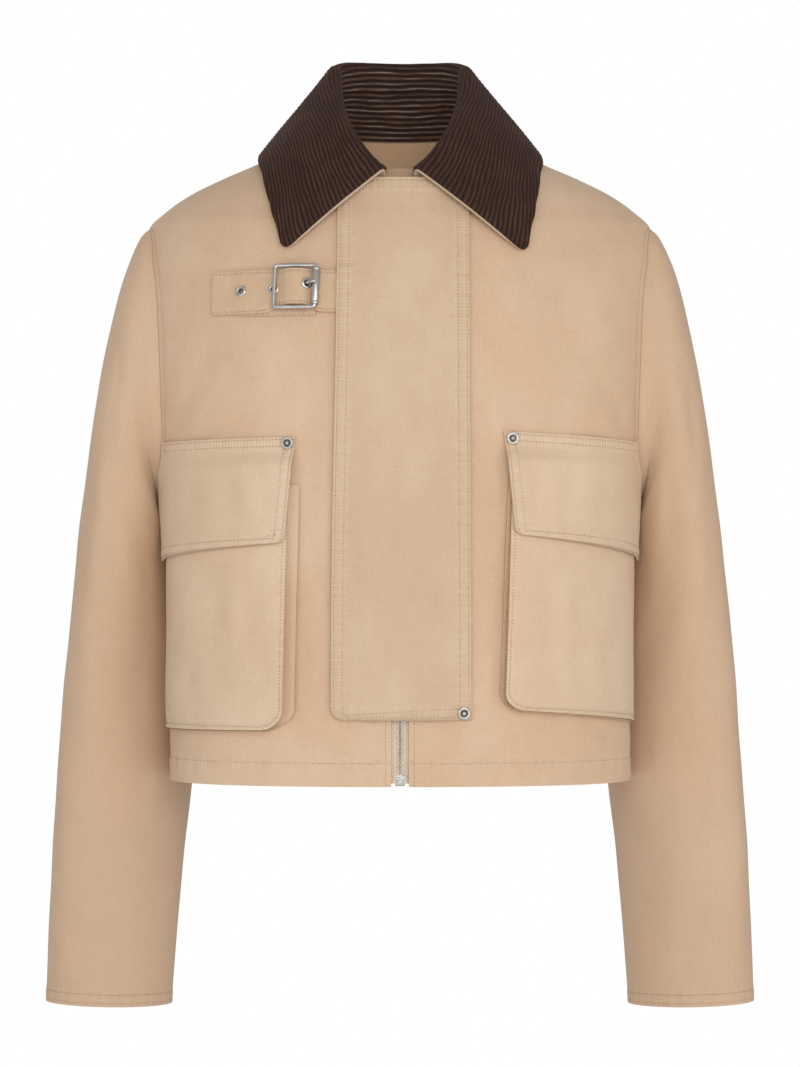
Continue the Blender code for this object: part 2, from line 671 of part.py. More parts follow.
def collar_frame(place, side, tracks):
    """The seam, roll and edge points of the collar's ribbed face at a place along it."""
    fade = max(0.0, 1.0 - place / POINT_FADE)
    seam_turn = math.radians(tracks["seam_turn"](place))
    seam = torso(seam_turn, neck_z(seam_turn))
    nudge = 0.02
    along = torso(seam_turn + nudge, neck_z(seam_turn + nudge)) - seam
    roll = Vector([tracks[name](place) for name in ("roll_x", "roll_y", "roll_z")])
    rise = (roll - seam).normalized()
    inward = along.cross(rise).normalized()
    if inward.dot(Vector((-seam.x, -seam.y, 0.04))) < 0.0:
        inward.negate()
    seam = seam + inward * (PILE + COLLAR_GAP + UNDER_CLOTH + GAP) + rise * SEAM_LIFT
    edge_turn = math.radians(tracks["edge_turn"](place) + POINT_TURN[side] * fade)
    edge = skin(edge_turn, tracks["edge_z"](place) - POINT_DROP[side] * fade, FALL_OUT)
    return seam, roll, edge, tracks["radius"](place)


def belt(seam, roll, edge, radius, stand_steps, fall_steps):
    """Points from the seam up, over a round roll and down to the edge, evenly spaced on each side of it."""
    to_seam, to_edge = (seam - roll).normalized(), (edge - roll).normalized()
    up = -(to_seam + to_edge).normalized()
    centre = roll - up * radius
    side_way = to_seam.cross(to_edge).cross(up).normalized()
    if side_way.dot(to_edge) < 0.0:
        side_way.negate()

    def on_roll(angle):
        return centre + (up * math.cos(angle) + side_way * math.sin(angle)) * radius

    def half_path(far, sign, steps, bow):
        offset = far - centre
        away = math.atan2(offset.dot(side_way), offset.dot(up))
        angle = away - sign * math.acos(radius / max(offset.length, radius))
        touch, normal = on_roll(angle), (on_roll(angle) - centre).normalized()
        straight, arc = (far - touch).length, abs(angle) * radius
        points = []
        for step in range(steps + 1):
            distance = (straight + arc) * step / steps
            if distance <= straight:
                share = distance / straight
                points.append(far.lerp(touch, share) + normal * bow * math.sin(math.pi * share))
            else:
                points.append(on_roll(angle * (1.0 - (distance - straight) / arc)))
        return points, (straight + arc) / steps

    stand, stand_step = half_path(seam, -1.0, stand_steps, 0.0)
    fall, fall_step = half_path(edge, 1.0, fall_steps, FALL_BOW)
    return stand + fall[-2::-1], [stand_step] * (stand_steps + 1) + [fall_step] * fall_steps


def collar_grid():
    """The ribbed face before its ribs, the row pitches, and the rows' normals."""
    tracks = collar_tracks()
    last = COLLAR[-1].place
    columns, pitches = [], []
    for side in (-1, 1):
        steps = range(COLLAR_STEPS + 1) if side < 0 else range(COLLAR_STEPS - 1, -1, -1)
        for step in steps:
            frame = collar_frame(last * step / COLLAR_STEPS, side, tracks)
            line, pitch = belt(*frame, 2 * STAND_RIBS, 2 * FALL_RIBS)
            columns.append([mirrored(point, side) for point in line])
            pitches.append(pitch)
    rows = [list(row) for row in zip(*columns)]
    pitch_rows = [list(row) for row in zip(*pitches)]
    normals = grid_normals(rows)
    stand_middle = normals[STAND_RIBS][COLLAR_STEPS]
    if stand_middle.y > 0.0:
        normals = [[-normal for normal in line] for line in normals]
    return rows, normals, pitch_rows


def plain_rows(count):
    """Rows of the collar's plain face: few on the flats and close together over the roll."""
    roll_row = 2 * STAND_RIBS
    near = {roll_row + shift for shift in (-6, -4, -2, 0, 2, 4, 6)}
    wide = {row for row in range(0, count, 10) if abs(row - roll_row) > 8}
    return sorted(near | wide | {0, count - 1})


def build_collars():
    """The ribbed upper collar and the plain under collar inside its fold."""
    rows, normals, pitches = collar_grid()
    count = len(rows)
    ribbed = []
    for index, (row, line, pitch) in enumerate(zip(rows, normals, pitches)):
        crest = index % 2 == 1
        ribbed.append([point + normal * (min(RIB_TOP, 2.0 * gap * RIB_SHARE) if crest else 0.0)
                       for point, normal, gap in zip(row, line, pitch)])
    picks = plain_rows(count)
    plain = [moved([rows[i]], [normals[i]], -PILE)[0] for i in picks]
    collar = ribbed_wall("collar", ribbed, plain, picks, BROWN)
    near_in, far_in = -PILE - COLLAR_GAP, -PILE - COLLAR_GAP - UNDER_CLOTH
    near = [moved([rows[i]], [normals[i]], near_in)[0] for i in picks]
    far = [moved([rows[i]], [normals[i]], far_in)[0] for i in picks]
    for grid in (near, far):
        for row in grid:
            for end, next_in in ((0, 1), (-1, -2)):
                row[end] = row[end] + (row[end] - row[next_in]).normalized() * UNDER_SHOWS
    under = wall("under_collar", near, far, PALE)
    return collar, under


def build_neck_facing():
    """The facing inside the back neck, under the back panel's own points."""
    places, _, armhole_end = panel_side(front=False)
    outer, inner = [], []
    for edge_turn, z in places[armhole_end + 1:]:
        turns = [mix(edge_turn, 2.0 * math.pi - edge_turn, c / BACK_COLUMNS) for c in range(1, BACK_COLUMNS)]
        outer.append([skin(turn, z, -CLOTH - GAP) for turn in turns])
        inner.append([skin(turn, z, -CLOTH - GAP - FACING_CLOTH) for turn in turns])
    return wall("back_neck_facing", outer, inner, SAND)


# --- storm flap and zip ----------------------------------------------------------------------------------
def flap_left(z):
    """The storm flap's free edge, with its round lower corner."""
    share = (FLAP_TOP - z) / (FLAP_TOP - FLAP_LOW)
    edge = mix(FLAP_LEFT_TOP, FLAP_LEFT_LOW, ease(share * 1.1))
    above = z - FLAP_LOW
    if above < FLAP_CORNER:
        edge += FLAP_CORNER - math.sqrt(FLAP_CORNER ** 2 - (FLAP_CORNER - above) ** 2)
    return edge


def flap_right(z):
    """The storm flap's sewn edge."""
    return mix(FLAP_RIGHT_TOP, FLAP_RIGHT_LOW, (FLAP_TOP - z) / (FLAP_TOP - FLAP_LOW))


def flap_inner_out(x, z):
    """How far the storm flap's inner face stands off the front."""
    free = mix(FLAP_AT_FREE_EDGE, FLAP_OVER_ZIP, ease((x + 0.048) / 0.030))
    sewn = mix(FLAP_AT_SEAM, FLAP_OVER_ZIP, ease((0.050 - x) / 0.030))
    over_strap = ease((z + 0.157) / 0.006) * ease((-0.109 - z) / 0.006) * ease((-0.026 - x) / 0.010)
    return max(min(free, sewn), FLAP_OVER_STRAP * over_strap)


def build_storm_flap():
    """The wide flap over the zip."""
    heights = [FLAP_LOW + step for step in (0.0, 0.0014, 0.0042, 0.0105)]
    heights += [mix(heights[-1], -0.158, r / 6) for r in range(1, 7)]
    heights += [-0.150, -0.135, -0.116, -0.108]
    heights += [mix(-0.108, FLAP_TOP, r / 3) for r in range(1, 4)]
    outer, inner = [], []
    for z in heights:
        xs = [mix(flap_left(z), flap_right(z), share) for share in
              (0.0, 0.08, 0.20, 0.34, 0.5, 0.66, 0.82, 1.0)]
        inner.append([front_point(x, z, flap_inner_out(x, z)) for x in xs])
        outer.append([front_point(x, z, flap_inner_out(x, z) + CLOTH) for x in xs])
    return wall("storm_flap", outer, inner, PALE)


def tape_out(z):
    """The outer face of the zip tape, just behind the front's wall."""
    return -wall_at(z) - TAPE_GAP


def zip_heights(low, high):
    """The front panels' own row heights between two levels, with the levels themselves."""
    inside = [z for z in centre_heights() if low + 0.002 < z < high - 0.002]
    return [low, *inside, high]


def build_zip():
    """The closed zip: two tapes, the chain with its box at the hem, and the slider at the top."""
    for side, name in ((1, "zip_tape_left"), (-1, "zip_tape_right")):
        outer, inner = [], []
        for z in zip_heights(ZIP_LOW, ZIP_TOP):
            outer.append([front_point(side * x, z, tape_out(z)) for x in (TAPE_INNER, TAPE_OUTER)])
            inner.append([front_point(side * x, z, tape_out(z) - TAPE) for x in (TAPE_INNER, TAPE_OUTER)])
        wall(name, outer, inner, TAPE_TAN)
    outer, inner = [], []
    box_top = ZIP_LOW - GAP
    for z in [BOX_LOW, box_top - BOX_SHOULDER, *zip_heights(box_top, CHAIN_TOP)]:
        half, thick = (BOX_HALF, BOX_THICK) if z < box_top else (CHAIN_HALF, CHAIN_THICK)
        middle = tape_out(z) - TAPE / 2.0
        outer.append([front_point(x, z, middle + thick / 2.0) for x in (-half, half)])
        inner.append([front_point(x, z, middle - thick / 2.0) for x in (-half, half)])
    wall("zip_chain", outer, inner, STEEL)
    build_slider()


def build_slider():
    """The slider at the top of the chain, with its tab hanging flat over the teeth."""
    middle = tape_out(CHAIN_TOP) - TAPE / 2.0
    back_out, front_out = middle - SLIDER_THICK / 2.0, middle + SLIDER_THICK / 2.0
    tab_in = middle + CHAIN_THICK / 2.0 + GAP
    bottom, top = CHAIN_TOP + GAP, ZIP_TOP + 0.001
    outer = [[front_point(x, TAB_LOW, tab_in + TAB_THICK) for x in (-TAB_HALF, 0.0, TAB_HALF)],
             [front_point(x, bottom, tab_in + TAB_THICK) for x in (-TAB_HALF, 0.0, TAB_HALF)],
             [front_point(x, bottom + 0.0004, front_out) for x in (-TAB_HALF, 0.0, TAB_HALF)],
             [front_point(x, top, front_out) for x in (-TAB_HALF, 0.0, TAB_HALF)]]
    inner = [[front_point(x, TAB_LOW, tab_in) for x in (-TAB_HALF, 0.0, TAB_HALF)],
             [front_point(x, bottom, tab_in) for x in (-TAB_HALF, 0.0, TAB_HALF)],
             [front_point(x, bottom + 0.0004, back_out) for x in (-TAB_HALF, 0.0, TAB_HALF)],
             [front_point(x, top, back_out) for x in (-TAB_HALF, 0.0, TAB_HALF)]]
    return wall("zip_slider", outer, inner, STEEL)


def guard_out(x, z):
    """The zip guard's outer face, which comes forward to its sewn edge on the wearer's left."""
    sewn = tape_out(z) - TAPE - LAY
    below_neck = ease((-0.055 - z) / 0.020)
    return mix(GUARD_OUT, sewn, ease((x - 0.004) / 0.009) * below_neck)


def build_zip_guard():
    """The cloth guard behind the zip, a little taller than the neckline."""
    xs = [-GUARD_HALF, 0.0, 0.0060, 0.0135, GUARD_HALF]
    outer, inner = [], []
    for z in zip_heights(GUARD_LOW, GUARD_TOP):
        outer.append([front_point(x, z, guard_out(x, z)) for x in xs])
        inner.append([front_point(x, z, guard_out(x, z) - GUARD_CLOTH) for x in xs])
    return wall("zip_guard", outer, inner, SAND)


# --- throat strap and buckle -----------------------------------------------------------------------------
LIFT = Track(STRAP, "along", "lift")
STRAP_LOW = Track(STRAP, "along", "low")
STRAP_HIGH = Track(STRAP, "along", "high")


def strap_point(along, z, above):
    """A point above the strap's underside, by its distance along the strap from the centre bar."""
    return front_point(BUCKLE_X - along * SLOPE, z, LIFT(along) + above)


def strap_normal(along, z):
    """The outward direction of the strap's face."""
    step = 0.0008
    run = strap_point(along - step, z, 0.0) - strap_point(along + step, z, 0.0)
    rise = strap_point(along, z + step, 0.0) - strap_point(along, z - step, 0.0)
    return run.cross(rise).normalized()


def build_strap():
    """The strap, from under the storm flap through the buckle to its free end, with its eyelet holes."""
    keys = [row.along for row in STRAP]
    alongs = sorted(keys + [(a + b) / 2.0 for a, b in zip(keys, keys[1:]) if abs(a + b) < 0.036])
    outer, inner = [], []
    for along in alongs:
        zs = [mix(STRAP_LOW(along), STRAP_HIGH(along), c / STRAP_ACROSS) for c in range(STRAP_ACROSS + 1)]
        bottom = [strap_point(along, z, 0.0) for z in zs]
        inner.append(bottom)
        outer.append([point + strap_normal(along, z) * STRAP_CLOTH for point, z in zip(bottom, zs)])
    strap = wall("strap", outer, inner, SAND)
    for name, along, z in EYELETS:
        centre = strap_point(along, z, 0.0)
        cutter = turned(name + "_hole", [(HOLE_RADIUS, -0.003), (HOLE_RADIUS, 0.005)], centre,
                        strap_normal(along, z), SAND, steps=12)
        finish(cutter, SAND, CUTTERS)
        cut(strap, cutter)
    return strap


def build_eyelet(name, along, z):
    """A pressed eyelet that follows the strap's face, with its barrel through the hole."""
    normal = strap_normal(along, z)
    centre = strap_point(along, z, 0.0)
    across = normal.cross(Vector((0.0, 0.0, 1.0))).normalized()
    up = across.cross(normal).normalized()
    steps = 12
    top = STRAP_CLOTH + GAP

    def ring(radius, height, follow):
        points = []
        for step in range(steps):
            angle = 2.0 * math.pi * step / steps
            reach_x, reach_z = radius * math.cos(angle), radius * math.sin(angle)
            if follow:
                here, there = along - reach_x, z + reach_z
                points.append(strap_point(here, there, 0.0) + strap_normal(here, there) * height)
            else:
                points.append(centre + across * -reach_x + up * reach_z + normal * height)
        return points

    rings = [ring(EYELET_BORE, 0.0, False), ring(EYELET_BARREL, 0.0, False),
             ring(EYELET_BARREL, top, False), ring(EYELET_FLANGE, top, True),
             ring(EYELET_FLANGE * 0.92, top + EYELET_RISE * 0.6, True),
             ring(EYELET_FLANGE * 0.72, top + EYELET_RISE, True),
             ring(EYELET_BORE * 1.15, top + EYELET_RISE * 0.8, False)]
    points = [point for line in rings for point in line]
    faces = [(r * steps + c, r * steps + (c + 1) % steps, ((r + 1) % len(rings)) * steps + (c + 1) % steps,
              ((r + 1) % len(rings)) * steps + c) for r in range(len(rings)) for c in range(steps)]
    return object_from(name, points, faces, STEEL)


def buckle_axes():
    """The buckle's middle on the front and its own right, up and out directions."""
    origin = front_point(BUCKLE_X, BUCKLE_Z)
    out = torso_normal(turn_at_x(BUCKLE_X, BUCKLE_Z), BUCKLE_Z)
    right = Vector((0.0, 0.0, 1.0)).cross(out).normalized() * -1.0
    if right.x < 0.0:
        right.negate()
    up = out.cross(right).normalized()
    if up.z < 0.0:
        up.negate()
    return origin, right, up, out


def buckle_point(right_by, up_by, out_by):
    """A point in the buckle's own axes."""
    origin, right, up, out = buckle_axes()
    return origin + right * right_by + up * up_by + out * out_by


def corner_arc(centre_x, centre_z, radius, start):
    """Four points round a quarter circle, in the buckle's plane."""
    return [(centre_x + radius * math.cos(math.radians(a)), centre_z + radius * math.sin(math.radians(a)))
            for a in (start, start + 30, start + 60, start + 90)]


def build_buckle():
    """The frame with its centre bar, the roller, the prong and the cloth loop that holds the bar."""
    tight, wide = 0.0018, 0.0042
    x, z = FRAME_HALF_X, FRAME_HALF_Z
    outline = corner_arc(x - tight, z - tight, tight, 0) + corner_arc(-x + wide, z - wide, wide, 90)
    outline += corner_arc(-x + wide, -z + wide, wide, 180) + corner_arc(x - tight, -z + tight, tight, 270)
    pin = [(x, -ROLLER_HALF + 0.0012), (x, ROLLER_HALF - 0.0012)]
    points = [buckle_point(px, pz, FRAME_OUT) for px, pz in outline + pin]
    radii = [WIRE] * len(outline) + [ROLLER_PIN] * len(pin)
    radii[0] = radii[len(outline) - 1] = ROLLER_PIN
    frame = tube("buckle_frame", points, radii, STEEL, cyclic=True)
    bar = tube("buckle_bar", [buckle_point(0.0, end * z, BAR_OUT) for end in (-1.0, 1.0)],
               [BAR_WIRE] * 2, STEEL)
    join = frame.modifiers.new("bar", "BOOLEAN")
    join.operation = "UNION"
    join.object = bar
    finish(bar, STEEL, CUTTERS)
    bar.hide_render = True
    bar.display_type = "WIRE"
    _, _, up, _ = buckle_axes()
    sleeve = [(ROLLER_BORE, -ROLLER_HALF), (ROLLER_RADIUS - 0.0004, -ROLLER_HALF),
              (ROLLER_RADIUS, -ROLLER_HALF + 0.0005), (ROLLER_RADIUS, ROLLER_HALF - 0.0005),
              (ROLLER_RADIUS - 0.0004, ROLLER_HALF), (ROLLER_BORE, ROLLER_HALF)]
    roller_ring(sleeve, buckle_point(x, 0.0, FRAME_OUT), up)
    build_prong()
    build_loop()


def roller_ring(profile, centre, axis):
    """The roller: a short tube turned round the frame's front bar."""
    steps = 16
    first = axis.cross(Vector((0.0, 1.0, 0.0))).normalized()
    second = axis.cross(first).normalized()
    points = [centre + axis * height + (first * math.cos(a) + second * math.sin(a)) * radius
              for radius, height in profile for a in (2.0 * math.pi * c / steps for c in range(steps))]
    count = len(profile)
    faces = [(r * steps + c, r * steps + (c + 1) % steps, ((r + 1) % count) * steps + (c + 1) % steps,
              ((r + 1) % count) * steps + c) for r in range(count) for c in range(steps)]
    return object_from("buckle_roller", points, faces, STEEL)


def build_prong():
    """The prong: an eye round the centre bar and a shank up through the strap and over the roller."""
    places, radii = [], []
    for degrees in range(30, 301, 45):
        angle = math.radians(degrees)
        places.append((PRONG_EYE * math.cos(angle), BAR_OUT + PRONG_EYE * math.sin(angle)))
        radii.append(PRONG_EYE_WIRE)
    roller_top = FRAME_OUT + ROLLER_RADIUS + GAP + PRONG_WIRE
    rest = FRAME_HALF_X
    places += [(0.0036, 0.0050), (0.0058, 0.0057), (0.0078, 0.0070), (0.0103, 0.0092),
               (rest - 0.0030, roller_top - 0.0004), (rest, roller_top + 0.0001), (rest + 0.0026, roller_top)]
    radii += [0.00075, PRONG_WIRE, PRONG_WIRE, PRONG_WIRE, PRONG_WIRE, PRONG_WIRE, 0.0005]
    points = [buckle_point(px, PRONG_Z, out) for px, out in places]
    return tube("buckle_prong", points, radii, STEEL)


def build_loop():
    """The folded cloth loop round the centre bar, slotted for the prong, on the base strip's top."""
    low = LAY + BASE_CLOTH + GAP + LOOP_CLOTH / 2.0
    upper = low + LOOP_CLOTH + GAP
    path = [(-LOOP_TAIL, low), (-0.0070, low), (-0.0030, low)]
    for degrees in (-70, -40, 0, 40, 80, 120, 160, 200):
        angle = math.radians(degrees)
        path.append((LOOP_RADIUS * math.cos(angle), BAR_OUT + LOOP_RADIUS * math.sin(angle)))
    path += [(-0.0040, upper + 0.0012), (-0.0060, upper), (-LOOP_TAIL + 0.0006, upper)]
    outer, inner = [], []
    for index, (px, out) in enumerate(path):
        before, after = path[max(0, index - 1)], path[min(len(path) - 1, index + 1)]
        run = Vector((after[0] - before[0], after[1] - before[1])).normalized()
        side = Vector((-run.y, run.x)) * LOOP_CLOTH / 2.0
        ups = [mix(-LOOP_HALF, LOOP_HALF, c / 2) for c in range(3)]
        outer.append([buckle_point(px - side.x, up, out - side.y) for up in ups])
        inner.append([buckle_point(px + side.x, up, out + side.y) for up in ups])
    loop = wall("buckle_loop", outer, inner, SAND)
    corners = [buckle_point(px, PRONG_Z + up, out) for px in (-0.0034, 0.0036)
               for up in (-SLOT_HALF, SLOT_HALF) for out in (low + LOOP_CLOTH / 2.0 + 0.0001, 0.0100)]
    slot_faces = [(0, 1, 3, 2), (4, 6, 7, 5), (0, 4, 5, 1), (2, 3, 7, 6), (0, 2, 6, 4), (1, 5, 7, 3)]
    slot = object_from("prong_slot", corners, slot_faces, SAND)
    finish(slot, SAND, CUTTERS)
    cut(loop, slot)
    return loop


def build_strap_base():
    """The strip sewn to the front under the buckle."""
    outer, inner = [], []
    for c in range(9):
        x = BUCKLE_X - mix(BASE_NEAR, BASE_FAR, c / 8) * SLOPE
        zs = [mix(BASE_LOW, BASE_HIGH, r / 3) for r in range(4)]
        inner.append([front_point(x, z, LAY) for z in zs])
        outer.append([front_point(x, z, LAY + BASE_CLOTH) for z in zs])
    return wall("strap_base", outer, inner, SAND)


# --- pockets ---------------------------------------------------------------------------------------------
def rear_reach(z):
    """How far in front of the side line pockets and flaps end at a height."""
    middle, half = (ARMHOLE_TOP + ARMHOLE_LOW) / 2.0, (ARMHOLE_TOP - ARMHOLE_LOW) / 2.0
    level = max(z, POCKET_MOUTH)
    by_armhole = ARMHOLE_FRONT * math.sqrt(1.0 - ((level - middle) / half) ** 2) + REAR_MARGIN
    above = min(1.0, max(0.0, (z - REAR_STRAIGHT) / (POCKET_MOUTH - REAR_STRAIGHT)))
    return mix(REAR_GAP, by_armhole, above)


def rear_turn(z):
    """Where pockets and their flaps end: near the side seam, or before the armhole above the underarm."""
    return turn_beside_side(z, rear_reach(z))


def pocket_foot(pocket, across):
    """The height of a pocket's foot at a place across it."""
    return mix(pocket.low_in, pocket.low_out, min(1.0, max(0.0, across)))


def pocket_place(pocket, across, up):
    """Turn and height of a place on a pocket: across from its inner edge (0) to its rear, up from its foot."""
    z = mix(pocket_foot(pocket, across), POCKET_MOUTH, up)
    inner_turn = turn_at_x(mix(POCKET_X_LOW, POCKET_X_TOP, up), z)
    return mix(inner_turn, rear_turn(z), across), z


def place_on_pocket(pocket, turn, z):
    """The reverse of pocket_place."""
    across, up = 0.5, 0.5
    for _ in range(3):
        foot = pocket_foot(pocket, across)
        up = (z - foot) / (POCKET_MOUTH - foot)
        inner_turn = turn_at_x(mix(POCKET_X_LOW, POCKET_X_TOP, up), z)
        across = (turn - inner_turn) / (rear_turn(z) - inner_turn)
    return across, up


def pocket_height(across, up):
    """How far the pocket's face stands off the front."""
    across_held, up_held = min(1.0, max(0.0, across)), min(1.0, max(0.0, up))
    depth = mix(POCKET_PROUD, POCKET_PROUD_SIDE, across_held ** 0.8) * (1.0 - 0.45 * up_held ** 2)
    puff = POCKET_PUFF * math.sin(math.pi * min(1.0, across_held * 1.1)) * math.sin(math.pi * up_held)
    sewn = ease((1.0 - across_held) / 0.07)
    return mix(POCKET_CLOTH + LAY, depth + max(0.0, puff), sewn)


def pocket_skin(pocket, across, up, out):
    """A point on the body under a pocket, moved out, on the pocket's own side."""
    turn, z = pocket_place(pocket, across, up)
    return mirrored(skin(turn, z, out), pocket.side)


def pocket_line(pocket, across, up, radius):
    """An L-shaped run from the mouth down, round the lower corner and along to the rear edge."""
    tall = POCKET_MOUTH - pocket.low_in
    corner_a, corner_u = radius / POCKET_WIDE, radius / tall
    run = [(across, mix(1.0, up + corner_u, s / SIDE_STEPS)) for s in range(SIDE_STEPS)]
    for s in range(CORNER_STEPS + 1):
        angle = QUARTER * s / CORNER_STEPS
        run.append((across + corner_a * (1.0 - math.cos(angle)), up + corner_u * (1.0 - math.sin(angle))))
    start = across + corner_a
    shares = [s / LOW_STEPS for s in range(1, LOW_STEPS)] + [0.94, 1.0]
    run += [(mix(start, 1.0, share), up) for share in sorted(shares)]
    return run


def build_pocket(pocket):
    """A bellows pocket: face and folded gusset in one wall, open at the mouth under the flap."""
    tall = POCKET_MOUTH - pocket.low_in
    gusset = (            # outward reach, inset inside, share of the height outside and in, both at the rear
        (0.0012, 0.0018, 0.0, 0.0, 0.0012, 0.0018),
        (POCKET_FOLD, 0.0022, 0.40, 0.42, 0.0004, 0.0013),
        (-0.0014, 0.0016, 0.62, 0.60, 0.0000, 0.0013),
        (0.0, 0.0016, 1.0, 1.0, 0.0, 0.0016),
    )
    outer, inner = [], []
    for reach, inset, share_out, share_in, rear_out, rear_inset in gusset:
        low_reach = min(reach, pocket.fold_below)
        line_out, line_in = [], []
        for index, (a, u) in enumerate(pocket_line(pocket, 0.0, 0.0, pocket.corner)):
            below = ease((index - SIDE_STEPS) / CORNER_STEPS)
            taper = ease((1.0 - a) / REAR_TAPER)
            own_low, own_inset = mix(rear_out, low_reach, taper), mix(rear_inset, inset, taper)
            full = pocket_height(a, u)
            heights = (full * share_out, min(full * share_in, full - POCKET_CLOTH))
            for line, cut_back, height in ((line_out, 0.0, heights[0]), (line_in, own_inset, heights[1])):
                place_a = a - (1.0 - below) * (reach - cut_back) / POCKET_WIDE
                place_u = u - below * (own_low - cut_back) / tall
                line.append(pocket_skin(pocket, place_a, place_u, max(height, LAY)))
        outer.append(line_out)
        inner.append(line_in)
    for share in FACE_SHARES:
        radius = mix(pocket.corner, 0.0, share)
        places = pocket_line(pocket, share, share, radius)
        outer.append([pocket_skin(pocket, a, u, pocket_height(a, u)) for a, u in places])
        inner.append([pocket_skin(pocket, a, u, pocket_height(a, u) - POCKET_CLOTH) for a, u in places])
    return wall("pocket_" + pocket.name, outer, inner, PALE)


def build_pocket_flap(pocket):
    """The flap: sewn flat along its top, then over the pocket's mouth and down its face."""
    full = pocket.flap_top_in - pocket.flap_low_in
    drops = [0.0, FLAP_SEWN, 0.012, 0.016, 0.020, FLAP_SEWN + FLAP_RISE, 0.036, 0.052]
    levels = [drop / full for drop in drops]
    levels += [1.0 - FLAP_CORNER_IN / full, 1.0 - FLAP_CORNER_IN * 0.35 / full, 1.0]
    outer, inner = [], []
    for level in levels:
        line_out, line_in = [], []
        for share in (0.0, 0.035, 0.14, 0.29, 0.45, 0.61, 0.77, 0.91, 1.0):
            top = mix(pocket.flap_top_in, pocket.flap_top_out, share)
            low = mix(pocket.flap_low_in, pocket.flap_low_out, share)
            z = mix(top, low, level)
            edge_x = mix(pocket.flap_x_top, pocket.flap_x_low, level)
            from_low = (1.0 - level) * full
            if from_low < FLAP_CORNER_IN:
                edge_x += FLAP_CORNER_IN - math.sqrt(FLAP_CORNER_IN ** 2 - (FLAP_CORNER_IN - from_low) ** 2)
            turn = mix(turn_at_x(edge_x, z), rear_turn(z), share)
            cover = pocket_height(*place_on_pocket(pocket, turn, z)) + FLAP_STAND_OFF
            rise = ease(((top - low) * level - FLAP_SEWN) / FLAP_RISE)
            start = mix(LAY, cover, rise)
            line_in.append(mirrored(skin(turn, z, start), pocket.side))
            line_out.append(mirrored(skin(turn, z, start + FLAP_CLOTH), pocket.side))
        outer.append(line_out)
        inner.append(line_in)
    return wall("pocket_flap_" + pocket.name, outer, inner, PALE)


def build_rivet(name, point, normal, radius):
    """A pressed cap rivet: a round rim, a ring groove and a domed middle."""
    profile = [(0.0, 0.0), (radius * 0.90, 0.0), (radius, 0.0004), (radius * 0.96, 0.0010),
               (radius * 0.74, 0.0013), (radius * 0.56, 0.0009), (radius * 0.46, 0.0010),
               (radius * 0.34, 0.0018), (radius * 0.14, 0.0022), (0.0, 0.0022)]
    return turned(name, profile, point + normal * GAP * 1.4, normal, STEEL, steps=12)


def build_rivets():
    """One cap rivet at each pocket flap's inner top corner and one at the storm flap's foot."""
    for pocket in POCKETS:
        turn = turn_at_x(RIVET_X, pocket.rivet_z)
        normal = mirrored(torso_normal(turn, pocket.rivet_z), pocket.side)
        top = mirrored(skin(turn, pocket.rivet_z, LAY + FLAP_CLOTH), pocket.side)
        build_rivet("rivet_pocket_" + pocket.name, top, normal, RIVET_RADIUS)
    turn = turn_at_x(FLAP_RIVET_X, FLAP_RIVET_Z)
    out = flap_inner_out(FLAP_RIVET_X - 0.004, FLAP_RIVET_Z) + CLOTH
    build_rivet("rivet_flap", skin(turn, FLAP_RIVET_Z, out), torso_normal(turn, FLAP_RIVET_Z),
                FLAP_RIVET_RADIUS)


def main():
    """Build the whole garment."""
    clear_scene()
    for side in (1, -1):
        build_front(side)
        build_sleeve(side)
    build_back()
    build_collars()
    build_neck_facing()
    build_storm_flap()
    build_zip()
    build_zip_guard()
    build_strap_base()
    build_strap()
    for name, along, z in EYELETS:
        build_eyelet(name, along, z)
    build_buckle()
    for pocket in POCKETS:
        build_pocket(pocket)
        build_pocket_flap(pocket)
    build_rivets()


main()
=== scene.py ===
"""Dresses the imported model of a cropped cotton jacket, filled out as it is worn, with no wearer.

Metres, +Z up; the front faces -Y and the wearer's left is +X. Each cloth piece is laid out again, finer,
on the same body surface as its solid, with its creases, turned edges and sewing. `turn` runs round the
body from the centre front, through a quarter turn at the wearer's left side, to a half turn at the back.
"""
import logging
import math
from collections.abc import Callable, Iterator
from contextlib import contextmanager
from dataclasses import dataclass, field
from enum import Enum

import bmesh
import bpy
import numpy as np
from mathutils import Matrix, Vector


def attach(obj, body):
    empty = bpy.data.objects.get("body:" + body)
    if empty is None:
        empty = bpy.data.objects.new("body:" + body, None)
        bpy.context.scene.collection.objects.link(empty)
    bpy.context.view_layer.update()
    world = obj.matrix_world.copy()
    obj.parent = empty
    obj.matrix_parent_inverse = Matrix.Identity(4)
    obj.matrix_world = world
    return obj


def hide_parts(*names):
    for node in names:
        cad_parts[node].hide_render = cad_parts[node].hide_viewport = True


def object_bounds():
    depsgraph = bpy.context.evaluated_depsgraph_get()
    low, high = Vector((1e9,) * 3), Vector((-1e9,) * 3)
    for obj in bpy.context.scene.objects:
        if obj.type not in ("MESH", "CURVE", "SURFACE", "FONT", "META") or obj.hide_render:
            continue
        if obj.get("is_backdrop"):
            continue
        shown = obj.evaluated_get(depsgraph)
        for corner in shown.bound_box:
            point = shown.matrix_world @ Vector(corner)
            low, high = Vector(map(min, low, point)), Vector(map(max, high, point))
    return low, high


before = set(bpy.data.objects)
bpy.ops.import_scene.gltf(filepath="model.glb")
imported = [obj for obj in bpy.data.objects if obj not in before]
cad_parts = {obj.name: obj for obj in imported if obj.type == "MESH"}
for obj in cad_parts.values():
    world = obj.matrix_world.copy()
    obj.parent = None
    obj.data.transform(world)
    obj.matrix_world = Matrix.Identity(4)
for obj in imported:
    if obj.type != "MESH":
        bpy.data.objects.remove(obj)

CAD_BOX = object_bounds()
LOG = logging.getLogger("cropped_parka")

Array = np.ndarray
Colour = tuple[float, float, float]
Size = tuple[float, float, float]
QUARTER = math.pi / 2


